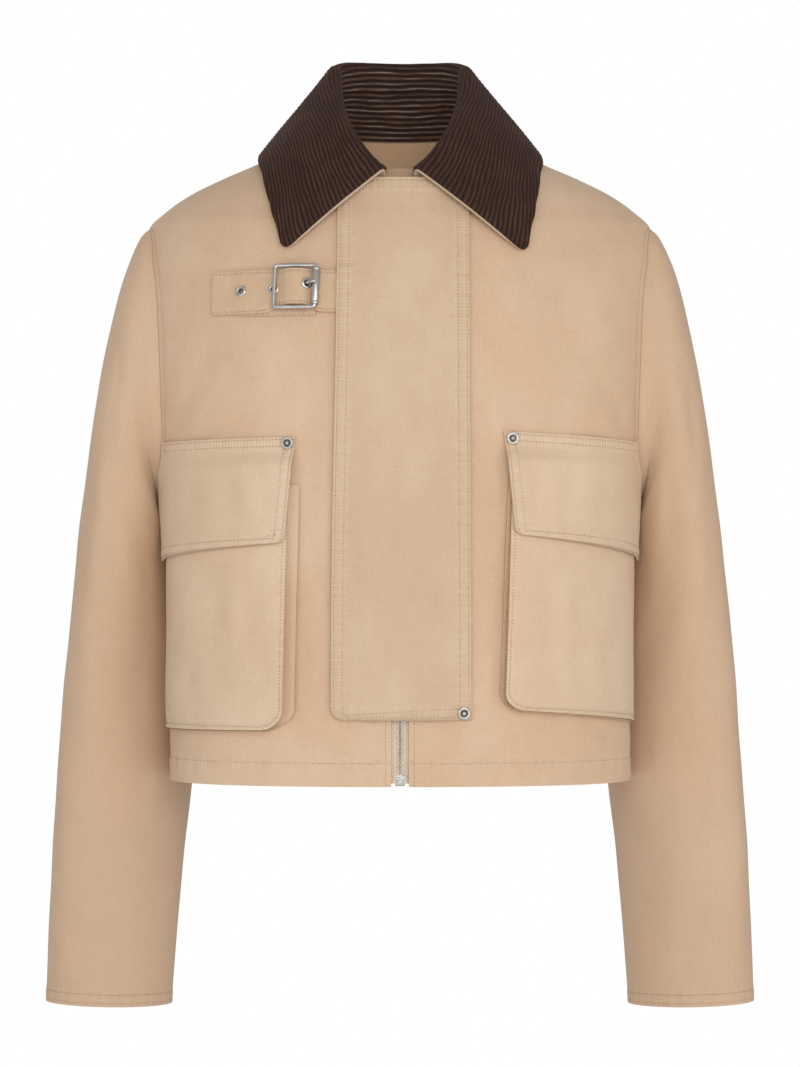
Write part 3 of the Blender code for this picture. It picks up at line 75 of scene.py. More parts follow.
# --- small helpers ---------------------------------------------------------------------------------------
def mix(low: Array, high: Array, share: Array) -> Array:
    """The value a share of the way from low to high."""
    return low + (high - low) * share


def ease(share: Array) -> Array:
    """A smooth 0 to 1 step for a share that may lie outside that range."""
    held = np.clip(share, 0.0, 1.0)
    return held * held * (3.0 - 2.0 * held)


def hill(offset: Array, width: float) -> Array:
    """A soft hill of height 1 at offset 0."""
    return np.exp(-(offset / width) ** 2)


def puckers(along: Array, close: float, drift: float, slow: float) -> Array:
    """The small uneven waves, from -1 to 1, of cloth drawn in by its stitches."""
    return np.sin(along * close + drift * np.sin(along * slow))


def unit(vectors: Array) -> Array:
    """Vectors scaled to length 1."""
    return vectors / np.maximum(np.linalg.norm(vectors, axis=-1, keepdims=True), 1e-12)


def steps(*pairs: tuple[float, int], start: float) -> Array:
    """Values that run from start through each (end, count) pair in even steps.

    Args:
        pairs: The end of each stretch and how many steps it takes.
        start: The first value.

    Returns:
        The values, with no repeats.
    """
    values = [start]
    for end, count in pairs:
        values.extend(np.linspace(values[-1], end, count + 1)[1:])
    return np.array(values)


def run_along(path: Array) -> Array:
    """The distance run along a path of points, from its first."""
    return np.concatenate([[0.0], np.cumsum(np.linalg.norm(np.diff(path, axis=0), axis=1))])


def read_along(run: Array, values: Array, places: Array) -> Array:
    """Values kept at the points of a path, read at places of its run."""
    return np.stack([np.interp(places, run, values[:, i]) for i in range(3)], 1)


class Track:
    """A smooth curve through one column of a table that never overshoots its rows."""

    def __init__(self, keys: list[float], values: list[float]) -> None:
        """Sort the rows by key and set a slope at each, flat at every turning point.

        Args:
            keys: The table's first column.
            values: The column that the curve runs through.
        """
        order = np.argsort(keys)
        self.keys = np.asarray(keys, dtype=float)[order]
        self.values = np.asarray(values, dtype=float)[order]
        rises = np.diff(self.values) / np.diff(self.keys)
        before, after = rises[:-1], rises[1:]
        product = before * after
        inner = np.where(product > 0.0, 2.0 * product / np.where(product > 0.0, before + after, 1.0), 0.0)
        self.slopes = np.concatenate([rises[:1], inner, rises[-1:]])

    def __call__(self, key: Array) -> Array:
        """The curve's values.

        Args:
            key: The keys to read it at; past either end it keeps its last value.

        Returns:
            The value at each key.
        """
        held = np.clip(key, self.keys[0], self.keys[-1])
        index = np.clip(np.searchsorted(self.keys, held, side="right") - 1, 0, len(self.keys) - 2)
        span = self.keys[index + 1] - self.keys[index]
        t = (held - self.keys[index]) / span
        start = (1.0 + 2.0 * t) * (1.0 - t) ** 2 * self.values[index]
        end = t * t * (3.0 - 2.0 * t) * self.values[index + 1]
        leave = t * (1.0 - t) ** 2 * span * self.slopes[index]
        arrive = t * t * (t - 1.0) * span * self.slopes[index + 1]
        return start + end + leave + arrive


def smooth_table(keys: Array, table: Array, wanted: Array) -> Array:
    """The columns of a table as smooth curves, read at the wanted keys."""
    return np.stack([Track(keys, table[:, i])(wanted) for i in range(table.shape[1])], 1)


@dataclass(frozen=True)
class Crease:
    """One soft fold on a piece's map: its ends, half width, and depth, which is below 0 for a trough."""

    a0: float
    b0: float
    a1: float
    b1: float
    width: float
    depth: float
    bow: float = 0.0

    def lift(self, a: Array, b: Array) -> Array:
        """How far the fold lifts the cloth.

        Args:
            a: The map's first number at each place.
            b: Its second number.

        Returns:
            The lift at each place, in metres.
        """
        run = np.array([self.a1 - self.a0, self.b1 - self.b0])
        length = float(np.hypot(*run))
        along = ((a - self.a0) * run[0] + (b - self.b0) * run[1]) / length
        share = np.clip(along / length, 0.0, 1.0)
        past = np.maximum(np.abs(along - length / 2.0) - length / 2.0, 0.0)
        beside = ((b - self.b0) * run[0] - (a - self.a0) * run[1]) / length
        beside = beside - self.bow * 4.0 * share * (1.0 - share)
        fade = np.sin(np.pi * mix(0.06, 0.94, share)) ** 0.8 * hill(past, self.width)
        uneven = 1.0 + 0.25 * np.sin(7.0 * share + 40.0 * self.a0)
        width = self.width * (0.8 + 0.4 * share)
        shape = hill(beside, width) - 0.30 * hill(np.abs(beside) - 2.1 * width, width)
        return self.depth * fade * uneven * shape


def folds(creases: tuple[Crease, ...], a: Array, b: Array) -> Array:
    """The sum of a piece's creases at each place of its map."""
    return sum((crease.lift(a, b) for crease in creases), np.zeros_like(a + b))


def sway(a: Array, b: Array, amount: float, phase: float = 0.0) -> Array:
    """The slight unevenness of washed cloth, from a few long waves that never line up.

    Args:
        a: The map's first number at each place.
        b: Its second number.
        amount: How strong the waves are, in metres.
        phase: Where they start, so that no two pieces are alike.

    Returns:
        The relief at each place.
    """
    waves = (np.sin(61.0 * a + 23.0 * b + phase) + np.sin(37.0 * b - 44.0 * a + 1.7 + phase)
             + 0.6 * np.sin(113.0 * a + 31.0 * b + 0.6 * phase) + 0.5 * np.sin(97.0 * b + 18.0 * a + 2.3))
    return amount * waves / 2.2


# --- the body surface ------------------------------------------------------------------------------------
CLOTH = 0.0016
HEM_CLOTH = 0.0026
HEM_Z = -0.515
HEM_DEPTH = 0.019
NECK_DROP = 0.045
ARMHOLE_TOP = -0.076
ARMHOLE_LOW = -0.290
ARMHOLE_MIDDLE = (ARMHOLE_TOP + ARMHOLE_LOW) / 2.0
ARMHOLE_FRONT = 0.050
ARMHOLE_BACK = 0.044
SEAM_HALF = 0.00003
FRONT_EDGE = 0.0068
CENTRE_AT_SHOULDER = -0.112
# the gap under a piece laid on a curved panel, and the one between sewn pieces
LAY = 0.0007
GAP = 0.0003
# the half width of the groove that a row of stitches draws in, and a distance at which no sewing shows
GROOVE = 0.0009
BARE = 0.05


class BodyForm:
    """The filled-out body that every panel lies on."""

    rings = (  # z, half width, front depth, back depth, side y, front round, back round
        (0.000, 0.063, 0.068, 0.070, 0.000, 2.00, 2.00),
        (-0.012, 0.088, 0.072, 0.076, 0.001, 1.62, 1.65),
        (-0.025, 0.1145, 0.075, 0.080, 0.002, 1.55, 1.60),
        (-0.038, 0.1445, 0.079, 0.083, 0.003, 1.58, 1.62),
        (-0.050, 0.1685, 0.084, 0.086, 0.003, 1.64, 1.68),
        (-0.063, 0.1870, 0.088, 0.090, 0.003, 1.72, 1.76),
        (-0.076, 0.2000, 0.092, 0.094, 0.002, 1.82, 1.86),
        (-0.110, 0.2080, 0.100, 0.102, 0.001, 2.05, 2.04),
        (-0.150, 0.2070, 0.105, 0.110, -0.002, 2.24, 2.16),
        (-0.200, 0.2025, 0.107, 0.118, -0.006, 2.38, 2.20),
        (-0.250, 0.1945, 0.107, 0.122, -0.009, 2.42, 2.18),
        (-0.290, 0.1870, 0.106, 0.124, -0.011, 2.42, 2.14),
        (-0.340, 0.1838, 0.106, 0.122, -0.012, 2.42, 2.12),
        (-0.420, 0.1828, 0.106, 0.119, -0.012, 2.42, 2.10),
        (-0.515, 0.1828, 0.105, 0.120, -0.012, 2.42, 2.10),
    )

    def __init__(self) -> None:
        """Lay a smooth curve through each column of the rings."""
        columns = list(zip(*self.rings))
        tracks = [Track(columns[0], column) for column in columns[1:]]
        self.half, self.front, self.back, self.side_y, self.front_round, self.back_round = tracks

    def at(self, turn: Array, z: Array) -> Array:
        """Points of the surface.

        Args:
            turn: The turns round the body.
            z: The heights.

        Returns:
            A point for each turn and height.
        """
        turn, z = np.broadcast_arrays(np.asarray(turn, float), np.asarray(z, float))
        sine, cosine = np.sin(turn), np.cos(turn)
        ahead = cosine >= 0.0
        power = 2.0 / np.where(ahead, self.front_round(z), self.back_round(z))
        depth = np.where(ahead, self.front(z), self.back(z))
        x = self.half(z) * np.sign(sine) * np.abs(sine) ** power
        y = self.side_y(z) - np.sign(cosine) * depth * np.abs(cosine) ** power
        return np.stack([x, y, z], axis=-1)

    def normal(self, turn: Array, z: Array) -> Array:
        """The way out of the surface.

        Args:
            turn: The turns round the body.
            z: The heights.

        Returns:
            A direction for each turn and height.
        """
        across = self.at(turn + 0.02, z) - self.at(turn - 0.02, z)
        upward = self.at(turn, np.minimum(0.0, np.asarray(z) + 0.003)) - self.at(turn, np.asarray(z) - 0.003)
        return unit(np.cross(across, upward))

    def skin(self, turn: Array, z: Array, out: Array = 0.0) -> Array:
        """Points of the surface moved out by a distance."""
        return self.at(turn, z) + self.normal(turn, z) * np.asarray(out)[..., None]

    def turn_at_x(self, x: Array, z: Array) -> Array:
        """The turns on the front where the surface reaches x."""
        share = np.minimum(1.0, np.abs(x) / self.half(z))
        return np.copysign(np.arcsin(share ** (self.front_round(z) / 2.0)), x)

    def turn_beside_side(self, z: Array, reach: Array, front: bool = True) -> Array:
        """The turns on the wearer's left near the side line.

        Args:
            z: The heights.
            reach: How far from the side line, front to back.
            front: True for in front of it, False for behind.

        Returns:
            A turn for each height.
        """
        depth = self.front(z) if front else self.back(z)
        power = (self.front_round(z) if front else self.back_round(z)) / 2.0
        turn = np.arccos(np.minimum(1.0, reach / depth) ** power)
        return turn if front else math.pi - turn

    def front_point(self, x: Array, z: Array, out: Array = 0.0) -> Array:
        """Points on the front at places seen from the front, moved out."""
        x, z, out = np.broadcast_arrays(np.asarray(x, float), np.asarray(z, float), np.asarray(out, float))
        return self.skin(self.turn_at_x(x, z), z, out)

    def neck(self, turn: Array) -> Array:
        """The height of the neckline at turns."""
        return -NECK_DROP * np.maximum(0.0, np.cos(turn)) ** 4.0

    def armhole(self, angle: Array) -> tuple[Array, Array]:
        """Round the left armhole's edge.

        Args:
            angle: The way round, from the shoulder (0) down the front (half pi).

        Returns:
            The turns and the heights of the edge.
        """
        angle = np.asarray(angle, float)
        z = mix(ARMHOLE_LOW, ARMHOLE_TOP, (1.0 + np.cos(angle)) / 2.0)
        sine = np.sin(angle)
        ahead = self.turn_beside_side(z, np.maximum(ARMHOLE_FRONT * sine, SEAM_HALF), True)
        behind = self.turn_beside_side(z, np.maximum(-ARMHOLE_BACK * sine, SEAM_HALF), False)
        return np.where(sine >= -1e-9, ahead, behind), z


BODY = BodyForm()


def wall_at(z: Array) -> Array:
    """The thickness of the body's wall at a height, doubled in the turned hem."""
    return mix(HEM_CLOTH, CLOTH, ease((z - HEM_Z - HEM_DEPTH) / 0.002 + 0.5))


# --- cloth grids -----------------------------------------------------------------------------------------
@dataclass
class ClothGrid:
    """One face of a cloth piece: rows of points, the way out at each, and distances from the first edges."""

    points: Array
    normals: Array
    closed: bool = False

    def __post_init__(self) -> None:
        """Measure the grid along its rows and columns."""
        self.across = self.run(axis=1)
        self.down = self.run(axis=0)

    def run(self, axis: int) -> Array:
        """The distance run from the grid's first edge.

        Args:
            axis: 1 for along the rows, 0 for down the columns.

        Returns:
            The distance at each point.
        """
        length = np.linalg.norm(np.diff(self.points, axis=axis), axis=2)
        shape = list(length.shape)
        shape[axis] = 1
        return np.concatenate([np.zeros(shape), np.cumsum(length, axis=axis)], axis=axis)

    def raised(self, amount: Array) -> "ClothGrid":
        """The grid moved out along its normals."""
        amount = np.broadcast_to(amount, self.points.shape[:2])
        return ClothGrid(self.points + self.normals * amount[..., None], self.normals, self.closed)

    def mirrored(self, side: int) -> "ClothGrid":
        """The grid as it is for the wearer's left (1), or its mirror for the right (-1)."""
        flip = np.array([side, 1.0, 1.0])
        return ClothGrid(self.points * flip, self.normals * flip, self.closed)

    def sample(self, row: Array, column: Array) -> tuple[Array, Array]:
        """The grid between its points.

        Args:
            row: Fractional rows.
            column: Fractional columns.

        Returns:
            Points and normals.
        """
        rows, columns = self.points.shape[:2]
        row = np.clip(np.asarray(row, float), 0, rows - 1.000001)
        column = np.asarray(column, float)
        column = column % columns if self.closed else np.clip(column, 0, columns - 1.000001)
        r, c = np.floor(row).astype(int), np.floor(column).astype(int)
        fr, fc = (row - r)[..., None], (column - c)[..., None]
        c2 = (c + 1) % columns if self.closed else c + 1
        found = []
        for field_ in (self.points, self.normals):
            low = field_[r, c] * (1 - fc) + field_[r, c2] * fc
            high = field_[r + 1, c] * (1 - fc) + field_[r + 1, c2] * fc
            found.append(low * (1 - fr) + high * fr)
        return found[0], unit(found[1])

    def line_down(self, distance: float, from_end: bool, first: float = 0.0,
                  last: float = 1.0) -> tuple[Array, Array]:
        """A line that runs down the rows at a distance from a side edge.

        Args:
            distance: How far from the edge, in metres.
            from_end: True to measure from the last column.
            first: Share of the rows where the line starts.
            last: Share of the rows where it ends.

        Returns:
            Points and normals along the line.
        """
        rows = np.linspace(first, last, 400) * (len(self.points) - 1)
        columns = []
        for row in rows:
            run = self.across[int(round(row))]
            wanted = run[-1] - distance if from_end else distance
            columns.append(np.interp(wanted, run, np.arange(len(run))))
        return self.sample(rows, np.array(columns))

    def line_across(self, distance: float, from_end: bool, first: float = 0.0,
                    last: float = 1.0) -> tuple[Array, Array]:
        """A line that runs across the columns at a distance from the first or last row.

        Args:
            distance: How far from the edge, in metres.
            from_end: True to measure from the last row.
            first: Share of the columns where the line starts.
            last: Share of the columns where it ends.

        Returns:
            Points and normals along the line.
        """
        count = self.points.shape[1]
        columns = np.linspace(first, last, 500) * (count if self.closed else count - 1)
        rows = []
        for column in columns:
            run = self.down[:, int(round(column)) % count]
            wanted = run[-1] - distance if from_end else distance
            rows.append(np.interp(wanted, run, np.arange(len(run))))
        return self.sample(np.array(rows), columns)


def front_grid(x: Array, z: Array, out: Array) -> ClothGrid:
    """A cloth face on the front, at places seen from the front, moved out."""
    return ClothGrid(BODY.front_point(x, z, out), BODY.normal(BODY.turn_at_x(x, z), z))


def grid_normals(points: Array, closed: bool, outward: Array) -> Array:
    """Directions square to a grid.

    Args:
        points: The grid's points.
        closed: True if its last column meets its first.
        outward: A rough way out at each point.

    Returns:
        The normals, all on the side that outward points to over most of the grid.
    """
    along = np.gradient(points, axis=0)
    if closed:
        across = np.roll(points, -1, axis=1) - np.roll(points, 1, axis=1)
    else:
        across = np.gradient(points, axis=1)
    normals = unit(np.cross(along, across))
    return normals * (-1.0 if np.sum(normals * outward) < 0.0 else 1.0)


@dataclass(frozen=True)
class SewnLine:
    """A row of stitches seen from the grid: distance from it and place along it, for the cloth's relief."""

    distance: Array
    along: Array


def ride(piece: bpy.types.Object, *nodes: str, slot: str = "shell_cotton") -> bpy.types.Object:
    """Fix a piece to the jacket.

    Args:
        piece: The piece.
        nodes: The CAD nodes that it stands for.
        slot: Its material slot; not used.

    Returns:
        The piece.
    """
    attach(piece, "root")
    if nodes:
        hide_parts(*nodes)
    return piece


def place_piece(name: str, mesh: bpy.types.Mesh) -> bpy.types.Object:
    """A mesh as an object in the scene.

    Args:
        name: The object's name.
        mesh: The mesh.

    Returns:
        The object.
    """
    piece = bpy.data.objects.new(name, mesh)
    bpy.context.scene.collection.objects.link(piece)
    return piece


def mesh_object(name: str, points: Array, faces: list[tuple[int, ...]]) -> bpy.types.Object:
    """An object in the scene from its points and faces.

    Args:
        name: The object's name.
        points: Its points.
        faces: The points of each face.

    Returns:
        The object.
    """
    mesh = bpy.data.meshes.new(name)
    mesh.from_pydata(np.asarray(points).tolist(), [], faces)
    return place_piece(name, mesh)


def signed_volume(points: Array, quads: Array) -> float:
    """The volume inside a closed mesh of quads.

    Args:
        points: Its points.
        quads: The points of each face.

    Returns:
        Six times the volume, below 0 if the mesh is inside out.
    """
    a, b, c, d = (points[quads[:, i]] for i in range(4))
    first = np.einsum("ij,ij->i", a, np.cross(b, c)).sum()
    return float(first + np.einsum("ij,ij->i", a, np.cross(c, d)).sum())


def wall_patches(rows: int, columns: int, closed: bool) -> list[list[tuple[Array, Array, int]]]:
    """The faces of a wall between two grids, patch by patch: both sides, then the rims.

    Args:
        rows: Rows of each grid.
        columns: Columns of each grid.
        closed: True if the last column meets the first.

    Returns:
        For each patch, the row, column and grid (0 outer, 1 inner) of its faces' four corners.
    """
    around, down = np.arange(columns if closed else columns - 1), np.arange(rows - 1)
    r, c = (part.ravel() for part in np.meshgrid(down, around, indexing="ij"))
    face = [(r, c, 0), (r, c + 1, 0), (r + 1, c + 1, 0), (r + 1, c, 0)]
    patches = [face, [(row, column, 1) for row, column, _ in reversed(face)]]
    for row, turn in ((0, 1), (rows - 1, -1)):
        rim = [(row, around, 0), (row, around, 1), (row, around + 1, 1), (row, around + 1, 0)]
        patches.append(rim[::turn])
    for column, turn in () if closed else ((0, -1), (columns - 1, 1)):
        rim = [(down, column, 0), (down, column, 1), (down + 1, column, 1), (down + 1, column, 0)]
        patches.append(rim[::turn])
    return patches


def cloth_wall(name: str, outer: ClothGrid, inner: Array, finish: "Finish", lines: tuple[SewnLine, ...] = (),
               weave: tuple[Array, Array] | None = None) -> bpy.types.Object:
    """A cloth wall between its outer face and the inner points, with maps of the weave and the sewing.

    Args:
        name: The piece's name.
        outer: The face that shows.
        inner: The points of the other face, in the same rows.
        finish: The cloth's finish.
        lines: Where rows of stitches run.
        weave: The weave's two directions, if they don't run with the rows and columns.

    Returns:
        The piece.
    """
    rows, columns = outer.points.shape[:2]
    points = np.concatenate([outer.points.reshape(-1, 3), inner.reshape(-1, 3)])
    patches = wall_patches(rows, columns, outer.closed)
    quads = np.concatenate([np.stack([deep * rows * columns + row * columns + column % columns
                                      for row, column, deep in patch], 1) for patch in patches])
    places = np.concatenate([np.stack([row * (columns + 1) + column for row, column, _ in patch], 1)
                             for patch in patches])
    if signed_volume(points, quads) < 0.0:
        quads, places = quads[:, ::-1], places[:, ::-1]
    mesh = bpy.data.meshes.new(name)
    mesh.vertices.add(len(points))
    mesh.vertices.foreach_set("co", points.ravel())
    mesh.loops.add(quads.size)
    mesh.loops.foreach_set("vertex_index", quads.ravel())
    mesh.polygons.add(len(quads))
    mesh.polygons.foreach_set("loop_start", np.arange(0, quads.size, 4))
    mesh.polygons.foreach_set("use_smooth", np.ones(len(quads), dtype=bool))
    mesh.update(calc_edges=True)
    step = np.linalg.norm(outer.points[:, :1] - outer.points[:, -1:], axis=2) if outer.closed else 0.0
    maps = {"Cloth": weave or (outer.across, outer.down), "Sewing": nearest_line(lines, outer)}
    for title, (u, v) in maps.items():
        u = np.concatenate([u, u[:, -1:] + step], axis=1)
        v = np.concatenate([v, v[:, [0 if outer.closed else -1]]], axis=1)
        place_map(mesh, title, u, v, places)
    mesh.set_sharp_from_angle(angle=math.radians(58.0))
    mesh.materials.append(finish.material())
    return place_piece(name, mesh)


def nearest_line(lines: tuple[SewnLine, ...], outer: ClothGrid) -> tuple[Array, Array]:
    """Where each point of a grid lies beside the sewing.

    Args:
        lines: The rows of stitches.
        outer: The grid.

    Returns:
        The place along the nearest row, and the distance from it, kept bare where the place jumps.
    """
    distance = np.full(outer.points.shape[:2], BARE)
    along = np.zeros_like(distance)
    for line in lines:
        near = np.abs(line.distance) < distance
        distance = np.where(near, np.abs(line.distance), distance)
        along = np.where(near, line.along, along)
    turned = np.zeros(distance.shape, dtype=bool)
    for axis in (0, 1):
        jump = np.abs(np.diff(along, axis=axis)) > 0.0075
        ahead, behind = [[(0, 0), (0, 0)] for _ in range(2)]
        ahead[axis], behind[axis] = (1, 0), (0, 1)
        turned |= np.pad(jump, ahead) | np.pad(jump, behind)
    return along, np.where(turned, np.maximum(distance, 0.0045), distance)


def place_map(mesh: bpy.types.Mesh, name: str, u: Array, v: Array, places: Array) -> None:
    """Write a UV map from values kept for each row and column.

    Args:
        mesh: The mesh.
        name: The map's name.
        u: Its first number at each row and column.
        v: Its second number.
        places: Which of them each corner of each face takes.
    """
    layer = mesh.uv_layers.new(name=name)
    values = np.stack([u.ravel()[places.ravel()], v.ravel()[places.ravel()]], 1)
    layer.uv.foreach_set("vector", values.astype(np.float32).ravel())


# --- finishes --------------------------------------------------------------------------------------------
STAND_RIBS = 15


class Nodes:
    """A few short calls that build a shader tree."""

    def __init__(self, tree: bpy.types.NodeTree) -> None:
        """Keep the tree that the calls add to."""
        self.tree = tree

    def add(self, kind: str, /, **settings: object) -> bpy.types.Node:
        """A new node.

        Args:
            kind: Its kind.
            settings: Its settings.

        Returns:
            The node.
        """
        node = self.tree.nodes.new(kind)
        for key, value in settings.items():
            setattr(node, key, value)
        return node

    def feed(self, node: bpy.types.Node, **values: object) -> bpy.types.Node:
        """Set or link a node's inputs.

        Args:
            node: The node.
            values: Each input's value or the socket that gives it, by the input's name, with underscores
                for spaces, or by i and its number.

        Returns:
            The node.
        """
        for key, value in values.items():
            numbered = key[0] == "i" and key[1:].isdigit()
            socket = node.inputs[int(key[1:]) if numbered else key.replace("_", " ")]
            if isinstance(value, bpy.types.NodeSocket):
                self.tree.links.new(value, socket)
            else:
                socket.default_value = value
        return node

    def maths(self, operation: str, first: object, second: object = 0.0, third: object = 0.0) -> object:
        """The result of one sum.

        Args:
            operation: The kind of sum.
            first: Its first value, as a number or a socket.
            second: Its second value.
            third: Its third value.

        Returns:
            The socket that gives the result.
        """
        node = self.add("ShaderNodeMath", operation=operation)
        self.feed(node, i0=first, i1=second, i2=third)
        return node.outputs[0]

    def times(self, first: object, second: object) -> object:
        """The product of two values."""
        return self.maths("MULTIPLY", first, second)

    def here(self) -> object:
        """The place in the piece's own metres."""
        return self.add("ShaderNodeTexCoord").outputs["Object"]

    def map(self, name: str) -> object:
        """One of the piece's UV maps."""
        return self.add("ShaderNodeUVMap", uv_map=name).outputs[0]

    def link(self, value: object, node: bpy.types.Node, name: str) -> None:
        """Link a value to a node's input."""
        self.tree.links.new(value, node.inputs[name])

    def noise(self, place: object, scale: float, detail: float = 3.0, rough: float = 0.55) -> object:
        """A soft noise value at a place."""
        node = self.add("ShaderNodeTexNoise")
        return self.feed(node, Vector=place, Scale=scale, Detail=detail, Roughness=rough).outputs["Fac"]

    def spread(self, value: object, low: float, high: float, to_low: float = 0.0,
               to_high: float = 1.0) -> object:
        """A value stretched smoothly from one range to another.

        Args:
            value: The value.
            low: Where its range starts.
            high: Where it ends.
            to_low: What low becomes.
            to_high: What high becomes.

        Returns:
            The stretched value.
        """
        node = self.add("ShaderNodeMapRange", interpolation_type="SMOOTHSTEP")
        self.feed(node, Value=value, From_Min=low, From_Max=high, To_Min=to_low, To_Max=to_high)
        return node.outputs[0]

    def blend(self, share: object, first: object, second: object) -> object:
        """Two colours mixed.

        Args:
            share: How much of the second one there is.
            first: A colour or the value that gives it.
            second: The other one.

        Returns:
            The mixed colour.
        """
        node = self.add("ShaderNodeMix", data_type="RGBA")
        self.feed(node, i0=share)
        for slot, value in ((node.inputs[6], first), (node.inputs[7], second)):
            if isinstance(value, bpy.types.NodeSocket):
                self.tree.links.new(value, slot)
            else:
                slot.default_value = (*value, 1.0)
        return node.outputs[2]

    def stretched(self, place: object, scale: tuple[float, float, float]) -> object:
        """A place with each axis scaled."""
        return self.feed(self.add("ShaderNodeMapping"), Vector=place, Scale=scale).outputs[0]

    def split(self, place: object) -> tuple[object, object]:
        """The first two numbers of a place."""
        node = self.feed(self.add("ShaderNodeSeparateXYZ"), Vector=place)
        return node.outputs[0], node.outputs[1]


def group(name: str, inputs: dict[str, tuple[str, object]], outputs: dict[str, str]
          ) -> tuple[bpy.types.NodeTree, Nodes, bpy.types.Node, bpy.types.Node]:
    """A new shader group with named sockets.

    Args:
        name: The group's name.
        inputs: Each input's kind of socket and first value.
        outputs: Each output's kind of socket.

    Returns:
        The group's tree, its builder, its input node and its output node.
    """
    tree = bpy.data.node_groups.new(name, "ShaderNodeTree")
    for key, (kind, value) in inputs.items():
        socket = tree.interface.new_socket(name=key, in_out="INPUT", socket_type="NodeSocket" + kind)
        if value is not None:
            socket.default_value = value
    for key, kind in outputs.items():
        tree.interface.new_socket(name=key, in_out="OUTPUT", socket_type="NodeSocket" + kind)
    make = Nodes(tree)
    return tree, make, make.add("NodeGroupInput"), make.add("NodeGroupOutput")


class SharedEffects:
    """The shader groups that several finishes use, each built once."""

    def __init__(self) -> None:
        """Build the groups."""
        self.wash = self.build_wash()
        self.weave = self.build_weave()
        self.sewing = self.build_sewing()
        self.handling = self.build_handling()

    @staticmethod
    def build_wash() -> bpy.types.NodeTree:
        """Cloudy fading from garment washing, over a fine unevenness of dye.

        Returns:
            The group.
        """
        tree, make, start, end = group(
            "garment_wash",
            {"Place": ("Vector", None), "Base": ("Color", None), "Pale": ("Color", None),
             "Deep": ("Color", None), "Amount": ("Float", 0.5)}, {"Color": "Color"})
        place, amount = start.outputs["Place"], start.outputs["Amount"]
        clouds = make.spread(make.noise(make.stretched(place, (1.0, 1.0, 0.6)), 11.0, 5.0, 0.6), 0.40, 0.66)
        tone = make.blend(make.times(clouds, amount), start.outputs["Base"], start.outputs["Pale"])
        dips = make.spread(make.noise(place, 34.0, 4.0, 0.6), 0.52, 0.74)
        tone = make.blend(make.times(dips, make.times(amount, 0.42)), tone, start.outputs["Deep"])
        grain = make.spread(make.noise(place, 720.0, 2.0, 0.6), 0.3, 0.7, 0.955, 1.04)
        node = make.feed(make.add("ShaderNodeVectorMath", operation="SCALE"), Scale=grain)
        make.link(tone, node, "Vector")
        make.link(node.outputs[0], end, "Color")
        return tree

    @staticmethod
    def build_weave() -> bpy.types.NodeTree:
        """The relief of a fine twill, with thicker threads here and there.

        Returns:
            The group.
        """
        tree, make, start, end = group(
            "twill_weave", {"Map": ("Vector", None), "Threads": ("Float", 1400.0)},
            {"Height": "Float", "Slub": "Float"})
        u, v = make.split(start.outputs["Map"])
        count = start.outputs["Threads"]
        turn = make.times(count, 2.0 * math.pi)
        slant = make.maths("SINE", make.times(make.maths("ADD", u, v), turn))
        warp = make.maths("SINE", make.times(u, turn))
        slubs = make.noise(make.stretched(start.outputs["Map"], (620.0, 46.0, 1.0)), 1.0, 2.0)
        picks = make.noise(make.stretched(start.outputs["Map"], (40.0, 560.0, 1.0)), 1.0, 2.0)
        slub = make.maths("ADD", slubs, picks)
        height = make.maths("ADD", make.times(slant, 0.30), make.times(warp, 0.15))
        height = make.maths("ADD", height, make.times(slub, 1.1))
        make.link(height, end, "Height")
        make.link(slub, end, "Slub")
        return tree

    @staticmethod
    def build_sewing() -> bpy.types.NodeTree:
        """The groove, puckers and paler rubbed cloth beside a row of stitches.

        Returns:
            The group.
        """
        tree, make, start, end = group(
            "sewn_edge", {"Map": ("Vector", None), "Pitch": ("Float", 0.0026), "Reach": ("Float", 0.0045)},
            {"Height": "Float", "Rubbed": "Float", "Groove": "Float"})
        along, away = make.split(start.outputs["Map"])
        reach = start.outputs["Reach"]
        shift = make.times(make.noise(make.stretched(start.outputs["Map"], (150.0, 0.0, 0.0)), 1.0), 9.0)
        turns = make.maths("DIVIDE", make.times(along, 2.0 * math.pi), start.outputs["Pitch"])
        phase = make.maths("ADD", turns, shift)
        near = make.maths("SUBTRACT", 1.0, make.spread(make.maths("DIVIDE", away, reach), 0.15, 1.0))
        puckers = make.times(make.maths("SINE", phase), near)
        # the groove's mask: relief here, and painted shade where the finishes darken their cloth with it
        groove = make.maths("SUBTRACT", 1.0, make.spread(away, 0.0001, 0.0011))
        height = make.maths("SUBTRACT", make.times(puckers, 0.5), make.times(groove, 0.9))
        patches = make.noise(make.stretched(start.outputs["Map"], (260.0, 120.0, 0.0)), 1.0, 3.0)
        uneven = make.spread(patches, 0.32, 0.68)
        crest = make.spread(make.maths("SINE", phase), -0.6, 1.0, 0.35, 1.0)
        rubbed = make.times(make.times(near, uneven), crest)
        make.link(height, end, "Height")
        make.link(rubbed, end, "Rubbed")
        make.link(groove, end, "Groove")
        return tree

    @staticmethod
    def build_handling() -> bpy.types.NodeTree:
        """Fine scratches and dull patches on metal that has been washed and handled.

        Returns:
            The group.
        """
        tree, make, start, end = group(
            "handled_metal", {"Place": ("Vector", None)}, {"Dull": "Float", "Height": "Float"})
        place = start.outputs["Place"]
        dull = make.spread(make.noise(place, 420.0, 4.0, 0.65), 0.38, 0.66)
        lines = make.noise(make.stretched(place, (900.0, 900.0, 5200.0)), 1.0, 2.0)
        make.link(dull, end, "Dull")
        make.link(lines, end, "Height")
        return tree


EFFECTS = SharedEffects()


